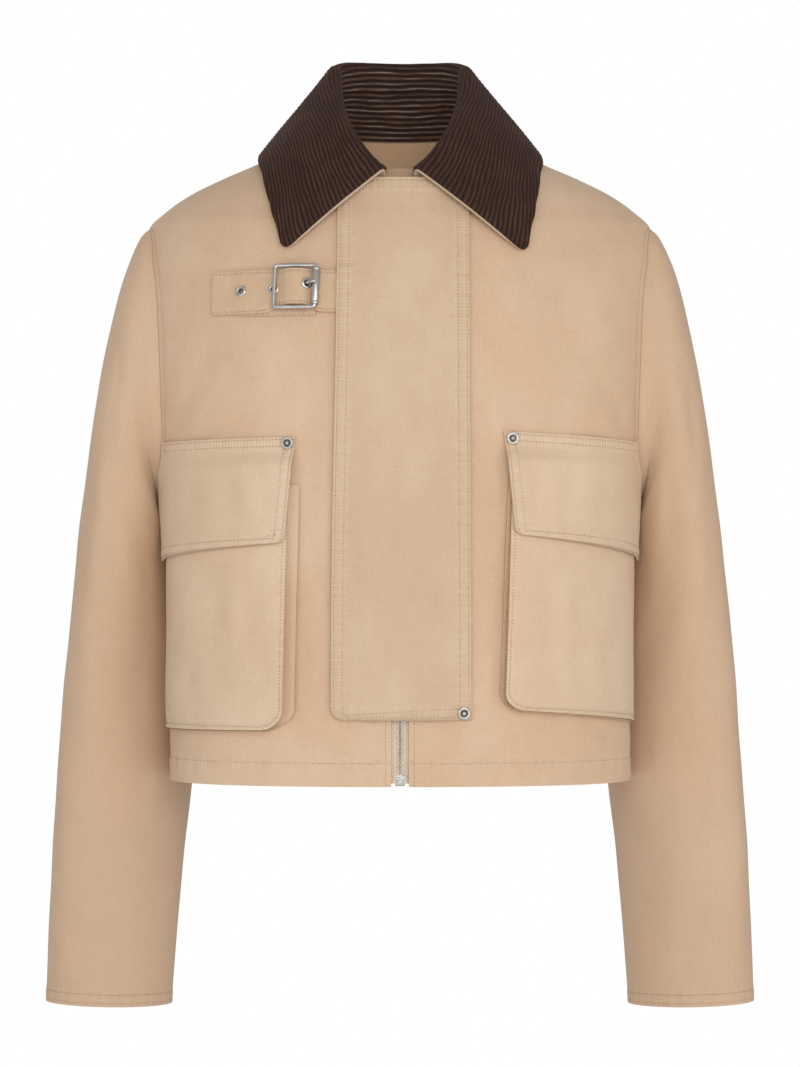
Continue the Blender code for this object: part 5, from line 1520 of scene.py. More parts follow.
@dataclass
class Sleeves:
    """The two sleeves, from the armhole to a narrow turned cuff."""

    around: int = 112
    down: int = 214
    cuff_rows: tuple[float, float] = (0.0028, 0.0098)
    cuff_depth: float = 0.0125
    edge_fade: float = 0.03
    area: float = 0.175
    cuffs: Stitching = field(default_factory=lambda: Stitching("stitches_cuffs"))
    rings = (  # outer x, z, inner x, z, middle y, depth, lean, own share
        (0.2055, -0.0815, 0.1888, -0.2915, -0.006, 0.0505, 0.000, 0.35),
        (0.2125, -0.0950, 0.1905, -0.2945, -0.004, 0.0520, -0.003, 0.70),
        (0.2200, -0.1150, 0.1908, -0.3000, -0.001, 0.0545, -0.006, 1.0),
        (0.2290, -0.1490, 0.1888, -0.3095, 0.002, 0.0575, -0.012, 1.0),
        (0.2365, -0.1870, 0.1845, -0.3225, 0.006, 0.0600, -0.019, 1.0),
        (0.2430, -0.2270, 0.1805, -0.3380, 0.012, 0.0610, -0.027, 1.0),
        (0.2490, -0.2710, 0.1765, -0.3570, 0.020, 0.0605, -0.033, 1.0),
        (0.2555, -0.3170, 0.1725, -0.3820, 0.028, 0.0590, -0.034, 1.0),
        (0.2625, -0.3750, 0.1680, -0.4150, 0.037, 0.0560, -0.031, 1.0),
        (0.2700, -0.4390, 0.1660, -0.4580, 0.045, 0.0530, -0.026, 1.0),
        (0.2755, -0.5040, 0.1690, -0.5110, 0.048, 0.0500, -0.021, 1.0),
        (0.2812, -0.5800, 0.1768, -0.5840, 0.048, 0.0470, -0.016, 1.0),
        (0.2858, -0.6880, 0.1853, -0.6925, 0.045, 0.0430, -0.010, 1.0),
        (0.2860, -0.6970, 0.1858, -0.7015, 0.045, 0.0430, -0.010, 1.0),
    )

    def armhole_ring(self, angle: Array) -> Array:
        """The sleeve's first ring, a seam's gap inside the armhole's edge.

        Args:
            angle: The way round, from the shoulder (0) down the front (half pi).

        Returns:
            The ring's points.
        """
        turn, z = BODY.armhole(angle)
        turn = np.where(np.abs(np.sin(angle)) < 1e-9, QUARTER, turn)
        ahead, behind = (BODY.at(*BODY.armhole(angle + nudge)) for nudge in (0.05, -0.05))
        away = unit(np.cross(BODY.normal(turn, z), ahead - behind))
        middle = np.array([BODY.half(ARMHOLE_LOW), BODY.side_y(ARMHOLE_LOW), ARMHOLE_MIDDLE])
        point = BODY.at(turn, z)
        inward = np.sum(away * (middle - point), axis=-1, keepdims=True)
        return point + away * np.where(inward < 0.0, -1.0, 1.0) * GAP

    def form(self) -> tuple[Array, Array]:
        """The left sleeve before its creases.

        Returns:
            Its points by row, and the rows' centres.
        """
        angle = 2.0 * np.pi * np.arange(self.around) / self.around
        seam = self.armhole_ring(angle)
        stack, middles = [seam], [seam.mean(axis=0)]
        for out_x, out_z, in_x, in_z, mid_y, depth, lean, own in self.rings:
            centre = np.array([(out_x + in_x) / 2.0, mid_y, (out_z + in_z) / 2.0])
            reach = np.array([(out_x - in_x) / 2.0, lean, (out_z - in_z) / 2.0])
            ring = (centre + reach * np.cos(angle)[:, None]
                    - np.array([0.0, depth, 0.0]) * np.sin(angle)[:, None])
            ring[:, 1] = mix(seam[:, 1], ring[:, 1], own)
            stack.append(ring)
            middles.append(centre)
        stack, middles = np.array(stack), np.array(middles)
        knots = np.concatenate([[0.0], np.cumsum(np.linalg.norm(np.diff(middles, axis=0), axis=1) + 0.004)])
        wanted = np.linspace(0.0, knots[-1], self.down + 1)
        smooth = smooth_table(knots, stack.reshape(len(stack), -1), wanted)
        return smooth.reshape(len(wanted), self.around, 3), smooth_table(knots, middles, wanted)

    def build_one(self, side: int) -> bpy.types.Object:
        """One sleeve.

        Args:
            side: 1 for the wearer's left, -1 for the right.

        Returns:
            The piece.
        """
        points, centres = self.form()
        outward = unit(points - centres[:, None])
        grid = ClothGrid(points, grid_normals(points, True, outward), closed=True)
        angle = 2.0 * np.pi * np.arange(self.around) / self.around
        angle = np.where(angle > np.pi, angle - 2.0 * np.pi, angle)
        girth = grid.across[:, -1:] / (2.0 * np.pi)
        a, b = angle[None, :] * girth, grid.down
        left = grid.down[-1:] - grid.down
        phase = 0.5 if side > 0 else 2.6
        creases = SLEEVE_CREASES
        if side < 0:
            creases = tuple(Crease(c.a0 * 0.94, c.b0 + 0.012, c.a1 * 0.94, c.b1 + 0.008, c.width,
                                   c.depth * 0.9, -c.bow) for c in SLEEVE_CREASES)
        free = ease((b - 0.012) / self.edge_fade) * ease((left - 0.012) / self.edge_fade)
        inward = np.cos(angle)[None, :] < -0.35
        relief = (folds(creases, a, b) + sway(a, b, 0.0005, phase)) * free
        relief = np.where(inward & (relief > 0.0), relief * 0.3, relief)
        in_cuff = ease((self.cuff_depth - left) / 0.0025)
        rows = sum(-0.0003 * hill(left - at, 0.0010) for at in self.cuff_rows)
        drawn = 0.00022 * puckers(a, 620.0, 2.0, 90.0) * hill(left - 0.0065, 0.005)
        outer = grid.raised(relief + 0.0004 * in_cuff + rows + drawn).mirrored(side)
        thick = mix(CLOTH, HEM_CLOTH, in_cuff)
        inner = outer.points - outer.normals * thick[..., None]
        lines = tuple(SewnLine(left - at, grid.across) for at in self.cuff_rows)
        name = "sleeve_left" if side > 0 else "sleeve_right"
        piece = ride(cloth_wall(name + "_cloth", outer, inner, SLEEVE_CLOTH, lines), name)
        for at in self.cuff_rows:
            self.cuffs.row(outer.line_across(at, True))
        return piece

    def build(self) -> None:
        """Build both sleeves and the cuffs' sewing."""
        for side in (1, -1):
            self.build_one(side)
        self.cuffs.build()
        LOG.info("sleeves: left and right")


# --- collar ----------------------------------------------------------------------------------------------
TIP_ROUND = 0.0080


@dataclass(frozen=True)
class Roll:
    """The round roll of the collar at one place: its middle, its way up and out, and its radius."""

    centre: Array
    up: Array
    out: Array
    radius: float

    def at(self, angle: Array) -> Array:
        """Points round the roll."""
        angle = np.atleast_1d(angle)[:, None]
        return self.centre + (self.up * np.cos(angle) + self.out * np.sin(angle)) * self.radius

    def strip(self, far: Array, sign: float, count: int, bow: float, trim: float) -> tuple[Array, Array]:
        """The collar from one of its edges up to the top of the roll.

        Args:
            far: The point on the edge.
            sign: 1 for the fall's edge, -1 for the stand's.
            count: How many steps it takes.
            bow: How far the cloth bows out on its way to the roll.
            trim: How much the edge is cut back, fading out over the first part of the way.

        Returns:
            The points and their distances from the edge.
        """
        offset = far - self.centre
        away = math.atan2(offset @ self.out, offset @ self.up)
        angle = away - sign * math.acos(self.radius / max(float(np.linalg.norm(offset)), self.radius))
        touch = self.at(angle)[0]
        straight, arc = float(np.linalg.norm(far - touch)), abs(angle) * self.radius
        distance = (straight + arc) * np.arange(count + 1) / count
        distance = distance + trim * np.maximum(0.0, 1.0 - distance / (3.0 * TIP_ROUND))
        share = np.clip(distance / straight, 0.0, 1.0)[:, None]
        flat = far + (touch - far) * share + unit(touch - self.centre) * bow * np.sin(np.pi * share)
        rolled = self.at(angle * (1.0 - np.clip((distance - straight) / arc, 0.0, 1.0)))
        return np.where((distance <= straight)[:, None], flat, rolled), distance


@dataclass
class Collar:
    """The corduroy collar, turned over its roll, with its plain under collar and the back neck facing."""

    columns: int = 160
    stand_rows: int = 120
    fall_rows: int = 184
    pile: float = 0.0016
    under_cloth: float = 0.0010
    under_gap: float = 0.0005
    under_shows: float = 0.0011
    facing_cloth: float = 0.0012
    rib_height: float = 0.0005
    stitched_share: float = 0.577
    ribs_at_back: float = 29.0
    ribs_at_front: float = 25.0
    tip_length: float = 0.0240
    fall_out: float = 0.0058
    fall_bow: float = 0.0030
    seam_lift: float = 0.0009
    stations = (  # place, seam turn, roll x, roll y, roll z, edge turn, edge z, radius; turns in degrees
        (0, 7.6, 0.0125, -0.0885, -0.0355, 25.5, -0.1028, 0.0066),
        (1, 15.5, 0.0225, -0.0790, -0.0250, 30.2, -0.0800, 0.0072),
        (2, 29.0, 0.0330, -0.0630, -0.0090, 37.8, -0.0590, 0.0080),
        (3, 56.0, 0.0425, -0.0370, 0.0110, 52.4, -0.0380, 0.0084),
        (4, 90.0, 0.0490, -0.0060, 0.0340, 83.0, -0.0238, 0.0076),
        (5, 120.0, 0.0515, 0.0280, 0.0560, 112.5, -0.0225, 0.0062),
        (6, 145.0, 0.0385, 0.0530, 0.0630, 139.0, -0.0225, 0.0055),
        (7, 163.0, 0.0195, 0.0680, 0.0642, 160.0, -0.0225, 0.0052),
        (8, 180.0, 0.0000, 0.0715, 0.0642, 180.0, -0.0225, 0.0052),
    )

    def tracks(self) -> list[Track]:
        """The table's columns as curves that run on evenly past the centre back.

        Returns:
            A curve for each column after the first.
        """
        _, seam, roll_x, roll_y, roll_z, edge, edge_z, radius = self.stations[-2]
        past = (9, 360.0 - seam, -roll_x, roll_y, roll_z, 360.0 - edge, edge_z, radius)
        columns = list(zip(*self.stations, past))
        return [Track(columns[0], column) for column in columns[1:]]

    def frame_at(self, place: float, side: int, tracks: list[Track]) -> tuple[Array, Array, Array, float]:
        """The ribbed face's main points at a place along the collar.

        Args:
            place: The place along the collar, 0 at its front end.
            side: 1 for the wearer's left, -1 for the right.
            tracks: The collar's table as curves.

        Returns:
            The point at the seam, on the roll and on the edge, and the roll's radius.
        """
        seam_deg, roll_x, roll_y, roll_z, edge_deg, edge_z, radius = (float(t(place)) for t in tracks)
        fade = max(0.0, 1.0 - place / 4.0) if side > 0 else 0.0
        turn = math.radians(seam_deg)
        seam, next_ = (BODY.at(t, BODY.neck(t)) for t in (turn, turn + 0.02))
        roll = np.array([roll_x, roll_y, roll_z])
        rise = unit(roll - seam)
        inward = unit(np.cross(next_ - seam, rise))
        if inward @ np.array([-seam[0], -seam[1], 0.04]) < 0.0:
            inward = -inward
        seam = seam + inward * (self.pile + self.under_gap + self.under_cloth + GAP) + rise * self.seam_lift
        edge = BODY.skin(math.radians(edge_deg + 2.1 * fade), edge_z - 0.0019 * fade, self.fall_out)
        return seam, roll, edge, radius

    def belt(self, place: float, seam: Array, roll: Array, edge: Array,
             radius: float) -> tuple[Array, Array, Array]:
        """Points from the seam up, over the round roll and down to the edge.

        Args:
            place: The place along the collar, 0 at its front end.
            seam: Where the collar meets the neckline.
            roll: The top of its roll.
            edge: Its outer edge.
            radius: The roll's radius.

        Returns:
            The points, and at each of them the count of ribs from the seam and the width of a rib.
        """
        to_seam, to_edge = unit(seam - roll), unit(edge - roll)
        up = -unit(to_seam + to_edge)
        out = unit(np.cross(np.cross(to_seam, to_edge), up))
        form = Roll(roll - up * radius, up, -out if out @ to_edge < 0.0 else out, radius)
        from_end = TIP_ROUND - min(place * self.tip_length, TIP_ROUND)
        trim = TIP_ROUND - math.sqrt(TIP_ROUND ** 2 - from_end ** 2)
        stand, climb = form.strip(seam, -1.0, self.stand_rows, 0.0, 0.0)
        fall, down = form.strip(edge, 1.0, self.fall_rows, self.fall_bow, trim)
        fall_ribs = float(mix(self.ribs_at_front, self.ribs_at_back, ease(np.array(place / 3.5))))
        counts = (climb / climb[-1] * STAND_RIBS, STAND_RIBS + (1.0 - down / down[-1]) * fall_ribs)
        widths = (np.full(len(climb), climb[-1] / STAND_RIBS), np.full(len(down), down[-1] / fall_ribs))
        return tuple(np.concatenate([first, last[-2::-1]]) for first, last in ((stand, fall), counts, widths))

    def face(self) -> tuple[ClothGrid, Array, Array]:
        """The collar's face before its ribs.

        Returns:
            The face, and at each point the count of ribs from the seam and the width of a rib.
        """
        tracks = self.tracks()
        half = self.columns // 2
        lines = []
        for index in range(self.columns + 1):
            side = -1 if index <= half else 1
            step = index if index <= half else self.columns - index
            place = float(np.interp(step, (0, 10, 14, half), (0.0, 0.33, 0.52, 8.0)))
            points, counts, widths = self.belt(place, *self.frame_at(place, side, tracks))
            lines.append((points * np.array([side, 1.0, 1.0]), counts, widths))
        points, counts, widths = (np.stack(part, axis=1) for part in zip(*lines))
        toward_neck = np.zeros_like(points)
        toward_neck[self.stand_rows // 2, half] = (0.0, -1.0, 0.0)
        grid = ClothGrid(points, grid_normals(points, False, toward_neck))
        a = grid.across
        drift = (0.20 * np.sin(a * 58.0 + counts * 0.45) + 0.13 * np.sin(a * 133.0 - counts * 0.8 + 1.0)
                 + 0.08 * np.sin(a * 251.0 + counts * 1.6 + 2.0))
        drift = drift * mix(0.45, 0.80, ease((counts - 12.0) / 6.0)) * ease(counts / 3.0)
        return grid, counts + drift, widths

    def ribs(self, across: Array, counts: Array, widths: Array) -> Array:
        """The ribs, with round crests, narrow valleys and small uneven places.

        Args:
            across: The places along the collar.
            counts: The count of ribs at each point.
            widths: The width of a rib there.

        Returns:
            The height of the ribs.
        """
        wave = 0.5 - 0.5 * np.cos(2.0 * np.pi * counts)
        uneven = 1.0 + 0.22 * np.sin(across * 190.0 + counts * 2.3) * np.sin(across * 77.0 - counts * 1.1)
        return np.minimum(self.rib_height, widths * 0.15) * wave ** 0.6 * uneven

    def build_upper(self) -> ClothGrid:
        """The ribbed upper collar.

        Returns:
            Its face before the ribs.
        """
        grid, counts, widths = self.face()
        end = np.minimum(grid.across, grid.across[:, -1:] - grid.across)
        edge = ease(np.minimum(end, grid.down[-1:] - grid.down) / 0.003)
        stitch = grid.down - self.stitched_share * grid.down[self.stand_rows:self.stand_rows + 1]
        pulled = -0.0006 * hill(stitch, 0.0014) * ease(end / 0.006)
        drawn = 0.0005 * puckers(grid.across, 520.0, 2.0, 60.0) * hill(stitch, 0.0045)
        bulge = 0.0002 * np.sin(grid.across * 33.0 + 1.0) * ease(end / 0.02)
        relief = self.ribs(grid.across, counts, widths) * mix(0.35, 1.0, edge) + pulled + drawn + bulge
        outer = grid.raised(relief)
        inner = grid.points - grid.normals * self.pile
        piece = cloth_wall("collar_corduroy", outer, inner, CORD, (SewnLine(stitch, grid.across),))
        self.count_ribs(piece, counts)
        ride(piece, "collar", slot="collar_corduroy")
        rows = Stitching("stitches_collar", ThreadKind.BROWN, pitch=0.0034, length=0.0022, width=0.0006)
        columns = np.linspace(0.08, 0.92, 500) * self.columns
        for offset in (-2.4, 2.4):
            row = np.full_like(columns, self.stitched_share * self.stand_rows + offset)
            points, normals = outer.sample(row, columns)
            rows.row((points + normals * 0.0002, normals))
        rows.build()
        return grid

    @staticmethod
    def count_ribs(piece: bpy.types.Object, counts: Array) -> None:
        """Make the second number of the collar's map count its ribs.

        Args:
            piece: The corduroy.
            counts: The count of ribs at each point of its face.
        """
        mesh = piece.data
        index = np.empty(len(mesh.loops), dtype=np.int32)
        mesh.loops.foreach_get("vertex_index", index)
        layer = mesh.uv_layers["Cloth"]
        values = np.empty((len(mesh.loops), 2), dtype=np.float32)
        layer.uv.foreach_get("vector", values.ravel())
        values[:, 1] = counts.ravel()[index % counts.size]
        layer.uv.foreach_set("vector", values.ravel())

    def build_under(self, face: ClothGrid) -> None:
        """The plain under collar inside the fold.

        Args:
            face: The upper collar's face before its ribs.
        """
        keep = np.unique(np.concatenate([np.arange(0, len(face.points), 4), [len(face.points) - 1]]))
        points, normals = face.points[keep], face.normals[keep]
        near = points - normals * (self.pile + self.under_gap)
        far = near - normals * self.under_cloth
        for layer in (near, far):
            layer[:, 0] += unit(layer[:, 0] - layer[:, 2]) * self.under_shows
            layer[:, -1] += unit(layer[:, -1] - layer[:, -3]) * self.under_shows
        grid = ClothGrid(far, -normals)
        end = np.minimum(grid.across, grid.across[:, -1:] - grid.across)
        low = np.minimum(end, grid.down[-1:] - grid.down)
        lines = (SewnLine(low - 0.004, grid.across + grid.down),)
        piece = cloth_wall("under_collar_cloth", grid, near, PATCH, lines)
        ride(piece, "under_collar")

    def build_facing(self) -> None:
        """The facing inside the back neck, its own tan raised lighter as painted light in the neck's hollow.
        """
        z = np.linspace(-0.0570, 0.0, 34)[:, None]
        edge = BODY.turn_beside_side(z, SEAM_HALF, False)
        turn = mix(edge, 2.0 * np.pi - edge, np.linspace(1 / 16, 15 / 16, 80)[None, :])
        normals = BODY.normal(turn, z)
        front = BODY.at(turn, z) - normals * (CLOTH + GAP)
        inside = ClothGrid(front - normals * self.facing_cloth, -normals)
        lines = (SewnLine(inside.down - 0.003, inside.across),)
        piece = cloth_wall("back_neck_facing_cloth", inside, front, LINING_PAINTED_LIGHT, lines)
        ride(piece, "back_neck_facing")

    def build(self) -> None:
        """Build the collar's three pieces."""
        face = self.build_upper()
        self.build_under(face)
        self.build_facing()
        LOG.info("collar: corduroy upper collar, under collar and back neck facing")


# --- storm flap ------------------------------------------------------------------------------------------
FLAP_CREASES = (  # seen from the front; a is x and b is z
    Crease(-0.030, -0.100, -0.026, -0.260, 0.0100, -0.0007, 0.003),
    Crease(0.022, -0.140, 0.026, -0.330, 0.0110, 0.0006, -0.004),
    Crease(-0.012, -0.250, -0.018, -0.430, 0.0100, -0.0006, 0.003),
    Crease(0.036, -0.330, 0.032, -0.450, 0.0075, -0.0006, -0.002),
    Crease(-0.040, -0.300, -0.030, -0.345, 0.0060, 0.0005, 0.001),
    Crease(0.008, -0.060, 0.014, -0.120, 0.0090, -0.0005, 0.002),
    Crease(-0.040, -0.412, -0.020, -0.446, 0.0055, -0.0007, 0.001),
)


@dataclass
class StormFlap:
    """The wide flap over the zip, with a raised turned edge and two rows of stitches all round."""

    top: float = -0.0447
    low: float = -0.4635
    corner: float = 0.010
    width: float = 0.106
    near_row: float = 0.0020
    far_row: float = 0.0088
    columns: int = 66
    rows: int = 210
    area: float = 0.0446

    def free_edge(self, z: Array) -> Array:
        """The free edge's x, as if its lower corner were square."""
        return mix(-0.0479, -0.0527, ease((self.top - z) / (self.top - self.low) * 1.1))

    def left(self, z: Array) -> Array:
        """The free edge's x, with its round lower corner."""
        above = np.minimum(z - self.low, self.corner)
        return self.free_edge(z) + self.corner - np.sqrt(self.corner ** 2 - (self.corner - above) ** 2)

    def right(self, z: Array) -> Array:
        """The sewn edge's x."""
        return mix(0.0529, 0.0546, (self.top - z) / (self.top - self.low))

    @staticmethod
    def inner_out(x: Array, z: Array) -> Array:
        """How far the inner face stands off the front.

        Args:
            x: Places on the flap.
            z: Their heights.

        Returns:
            The distance: least at both edges, more over the zip and over the strap.
        """
        free = mix(0.0009, 0.0030, ease((x + 0.048) / 0.030))
        below_strap = 0.0018 * ease((-0.105 - z) / 0.02)
        free = np.maximum(free, below_strap)
        sewn = mix(0.0008, 0.0030, ease((0.050 - x) / 0.030))
        over_strap = ease((z + 0.157) / 0.006) * ease((-0.109 - z) / 0.006) * ease((-0.026 - x) / 0.010)
        return np.maximum(np.minimum(free, sewn), 0.0029 * over_strap)

    def build(self) -> None:
        """Build the flap and its stitches."""
        z = np.concatenate([self.low + np.array([0.0, 0.0005, 0.0011, 0.0019, 0.0029, 0.0041]),
                            np.linspace(self.low + 0.006, self.top, self.rows)])[:, None]
        share = np.linspace(0.0, 1.0, self.columns + 1)[None, :]
        x = mix(self.left(z), self.right(z), share)
        z = np.broadcast_to(z, x.shape)
        out = self.inner_out(x, z)
        grid = front_grid(x, z, out + CLOTH)
        from_left, from_right = x - self.left(z), self.right(z) - x
        from_low, from_top = z - self.low, self.top - z
        to_round = np.hypot(self.corner - from_low, np.maximum(0.0, self.corner - (x - self.free_edge(z))))
        corner = np.where(from_low < self.corner, self.corner - to_round, BARE)
        edge = np.minimum(np.minimum(from_left, from_right), np.minimum(from_low, from_top))
        edge = np.where((from_low < self.corner) & (x < self.left(self.low + self.corner) + self.corner),
                        np.minimum(edge, np.maximum(corner, 0.0)), edge)
        inside = ease((edge - self.far_row) / 0.012)
        relief = (folds(FLAP_CREASES, x, z) + sway(x, z, 0.00030, 1.2)) * inside
        relief = relief + 0.00055 * ease((self.far_row + 0.0016 - edge) / 0.0016)
        for row in (self.near_row, self.far_row):
            relief = relief - 0.00045 * hill(edge - row, GROOVE)
        along = np.where(np.minimum(from_left, from_right) < np.minimum(from_low, from_top), z, x)
        band = hill(edge - 0.5 * (self.near_row + self.far_row), 0.0030)
        drawn = mix(0.00010, 0.00028, ease(from_top / 0.012)) * band
        outer = grid.raised(relief + drawn * puckers(along, 2400.0, 2.5, 310.0))
        inner = BODY.front_point(x, z, out)
        lines = tuple(SewnLine(edge - row, along) for row in (self.near_row, self.far_row))
        piece = cloth_wall("storm_flap_cloth", outer, inner, FLAP_CLOTH, lines)
        ride(piece, "storm_flap")
        self.sew(outer)
        LOG.info("storm flap: %d by %d cells", self.rows + 5, self.columns)

    def sew(self, outer: ClothGrid) -> None:
        """The two rows of stitches along every edge.

        Args:
            outer: The flap's outer face.
        """
        rows = Stitching("stitches_storm_flap")
        total = float(outer.down[-1].mean())
        for away in (self.near_row, self.far_row):
            start, end = (self.corner - away * 0.6) / total, 1.0 - away / total
            rows.row(outer.line_down(away, False, start, end))
            rows.row(outer.line_down(away, True, away / total, end))
            first, last = away / self.width, 1.0 - away / self.width
            rows.row(outer.line_across(away, False, (0.5 * self.corner + 0.2 * away) / self.width, last))
            rows.row(outer.line_across(away, True, first, last))
        rows.build()


# --- pockets ---------------------------------------------------------------------------------------------
# times a point on the left front, this gives a rough way out of the pocket there
POCKET_OUTWARD = np.array([0.6, 1.0, 0.0])


@dataclass(frozen=True)
class PocketPlan:
    """Where one pocket and its flap lie on the front."""

    name: str
    side: int
    flap_top_in: float
    flap_top_out: float
    flap_low_in: float
    flap_low_out: float
    flap_x_top: float
    flap_x_low: float
    low_in: float
    low_out: float
    corner: float
    fold_below: float
    phase: float
    x_top: float
    x_low: float
    mouth: float
    fold: float


@dataclass
class BellowsPocket:
    """A bellows pocket with its flap, on one front."""

    plan: PocketPlan
    cloth: float = 0.0015
    proud: float = 0.0135
    proud_side: float = 0.0030
    puff: float = 0.0020
    wide: float = 0.155
    flap_cloth: float = 0.0018
    flap_sewn: float = 0.0085
    flap_rise: float = 0.0150
    flap_corner: float = 0.0060
    face_stitch: float = 0.0034
    gusset_stitch: float = -0.0026
    flap_edge_rows: tuple[float, float] = (0.0020, 0.0082)
    flap_top_rows: tuple[float, float] = (0.0018, 0.0072)
    area: float = 0.033
    flap_area: float = 0.0126
    side_steps: int = 64
    corner_steps: int = 14
    low_steps: int = 40
    face_steps: int = 46

    def rear_turn(self, z: Array) -> Array:
        """Where the pocket and flap end: near the side seam, or before the armhole.

        Args:
            z: The heights.

        Returns:
            The turn of their rear edge at each height.
        """
        half = (ARMHOLE_TOP - ARMHOLE_LOW) / 2.0
        level = np.maximum(z, self.plan.mouth)
        by_hole = ARMHOLE_FRONT * np.sqrt(1.0 - ((level - ARMHOLE_MIDDLE) / half) ** 2) + 0.0040
        above = np.clip((z + 0.3110) / (self.plan.mouth + 0.3110), 0.0, 1.0)
        return BODY.turn_beside_side(z, mix(0.0060, by_hole, above))

    def foot(self, across: Array) -> Array:
        """The height of the pocket's foot at a place across it."""
        return mix(self.plan.low_in, self.plan.low_out, np.clip(across, 0.0, 1.0))

    def place(self, across: Array, up: Array) -> tuple[Array, Array]:
        """Turn and height of a place on the pocket.

        Args:
            across: The share of the way from its front edge to its rear.
            up: The share of the way from its foot to its mouth.

        Returns:
            The turns and heights.
        """
        z = mix(self.foot(across), self.plan.mouth, up)
        start = BODY.turn_at_x(mix(self.plan.x_low, self.plan.x_top, up), z)
        return mix(start, self.rear_turn(z), across), z

    def place_under(self, turn: Array, z: Array) -> tuple[Array, Array]:
        """The reverse of place.

        Args:
            turn: The turns of points on the front.
            z: Their heights.

        Returns:
            How far across and up the pocket each one is.
        """
        across = np.full(np.broadcast(turn, z).shape, 0.5)
        up = across
        for _ in range(4):
            foot = self.foot(across)
            up = (z - foot) / (self.plan.mouth - foot)
            start = BODY.turn_at_x(mix(self.plan.x_low, self.plan.x_top, up), z)
            across = (turn - start) / (self.rear_turn(z) - start)
        return across, up

    def height(self, across: Array, up: Array) -> Array:
        """How far the pocket's face stands off the front.

        Args:
            across: The share of the way from its front edge to its rear.
            up: The share of the way from its foot to its mouth.

        Returns:
            The distance.
        """
        a, u = np.clip(across, 0.0, 1.0), np.clip(up, 0.0, 1.0)
        depth = mix(self.proud, self.proud_side, a ** 0.8) * (1.0 - 0.45 * u ** 2)
        puff = self.puff * np.sin(np.pi * np.minimum(1.0, a * 1.1)) * np.sin(np.pi * u)
        return mix(self.cloth + LAY, depth + np.maximum(0.0, puff), ease((1.0 - a) / 0.07))

    def skin(self, across: Array, up: Array, out: Array) -> Array:
        """Points on the body under the pocket, moved out, on the wearer's left."""
        turn, z = self.place(across, up)
        return BODY.skin(turn, z, out)

    def run(self, across: float, up: float, radius: float) -> tuple[Array, Array, Array]:
        """An L-shaped run: down from the mouth, round the lower corner and along to the rear.

        Args:
            across: The share across the pocket of its way down.
            up: The share up the pocket of its way to the rear.
            radius: The corner's radius.

        Returns:
            The shares across and up at each step, and how far it has turned from down to rearward.
        """
        tall = self.plan.mouth - self.plan.low_in
        corner_a, corner_u = radius / self.wide, radius / tall
        down = np.arange(self.side_steps) / self.side_steps
        angle = QUARTER * np.arange(self.corner_steps + 1) / self.corner_steps
        rear = np.arange(1, self.low_steps + 1) / self.low_steps
        a = np.concatenate([np.full(self.side_steps, across), across + corner_a * (1.0 - np.cos(angle)),
                            mix(across + corner_a, 1.0, rear)])
        u = np.concatenate([mix(1.0, up + corner_u, down), up + corner_u * (1.0 - np.sin(angle)),
                            np.full(self.low_steps, up)])
        index = np.arange(len(a))
        below = ease((index - self.side_steps) / self.corner_steps)
        return a, u, below

    def build_bag(self) -> None:
        """The face and folded gusset in one wall, open at the mouth."""
        plan = self.plan
        tall = plan.mouth - plan.low_in
        table = np.array(((0.0012, 0.0018, 0.0, 0.0, 0.0012, 0.0018),
                          (plan.fold, 0.0022, 0.34, 0.20, 0.0004, 0.0013),
                          (-0.0014, 0.0016, 0.14, 0.05, 0.0000, 0.0013),
                          (0.0, 0.0016, 1.0, 1.0, 0.0, 0.0016)))
        wanted = steps((1.0, 5), (2.0, 6), (3.0, 6), start=0.0)
        gusset = smooth_table(np.arange(4.0), table, wanted)
        outer, inner = [], []
        for reach, inset, share_out, share_in, rear_out, rear_inset in gusset:
            a, u, below = self.run(0.0, 0.0, plan.corner)
            taper = ease((1.0 - a) / 0.30)
            own_low = mix(rear_out, min(reach, plan.fold_below), taper)
            own_inset = mix(rear_inset, inset, taper)
            full = self.height(a, u)
            heights = (full * share_out, np.minimum(full * share_in, full - self.cloth))
            for lines, cut_back, height in ((outer, 0.0, heights[0]), (inner, own_inset, heights[1])):
                place_a = a - (1.0 - below) * (reach - cut_back) / self.wide
                place_u = u - below * (own_low - cut_back) / tall
                lines.append(self.skin(place_a, place_u, np.maximum(height, LAY)))
        for share in np.concatenate([[0.012, 0.024, 0.040], np.linspace(0.06, 1.0, self.face_steps)]):
            a, u, _ = self.run(share, share, mix(plan.corner, 0.0, share))
            outer.append(self.skin(a, u, self.height(a, u)))
            inner.append(self.skin(a, u, self.height(a, u) - self.cloth))
        points = np.array(outer)
        grid = ClothGrid(points, grid_normals(points, False, points * POCKET_OUTWARD))
        face = len(gusset) - 1
        from_edge = grid.down - grid.down[face:face + 1]
        x, z = points[..., 0], points[..., 2]
        free = ease((from_edge - 0.004) / 0.010) * ease(grid.across / 0.006)
        relief = (folds(POCKET_CREASES, x, z) + sway(x, z, 0.00040, plan.phase)) * free
        relief = relief - 0.00040 * hill(from_edge - self.face_stitch, GROOVE)
        drawn = puckers(grid.across, 2300.0, 2.0, 290.0) * hill(from_edge - 0.0018, 0.0022)
        relief = relief + 0.00018 * drawn
        rear = ease((grid.across[:, -1:] - grid.across) / 0.010)
        worn = grid.raised(relief * rear).mirrored(plan.side)
        under = np.array(inner) * np.array([plan.side, 1.0, 1.0])
        lines = (SewnLine(from_edge - self.face_stitch, grid.across),
                 SewnLine(grid.down - 0.0030, grid.across))
        name = "pocket_" + plan.name
        piece = ride(cloth_wall(name + "_cloth", worn, under, PATCH, lines, (x, z)), name)
        rows = Stitching("stitches_" + name)
        for distance in (self.face_stitch, self.gusset_stitch):
            rows.row(self.beside_edge(worn, distance, face), 0.012, 0.002)
        rows.build()

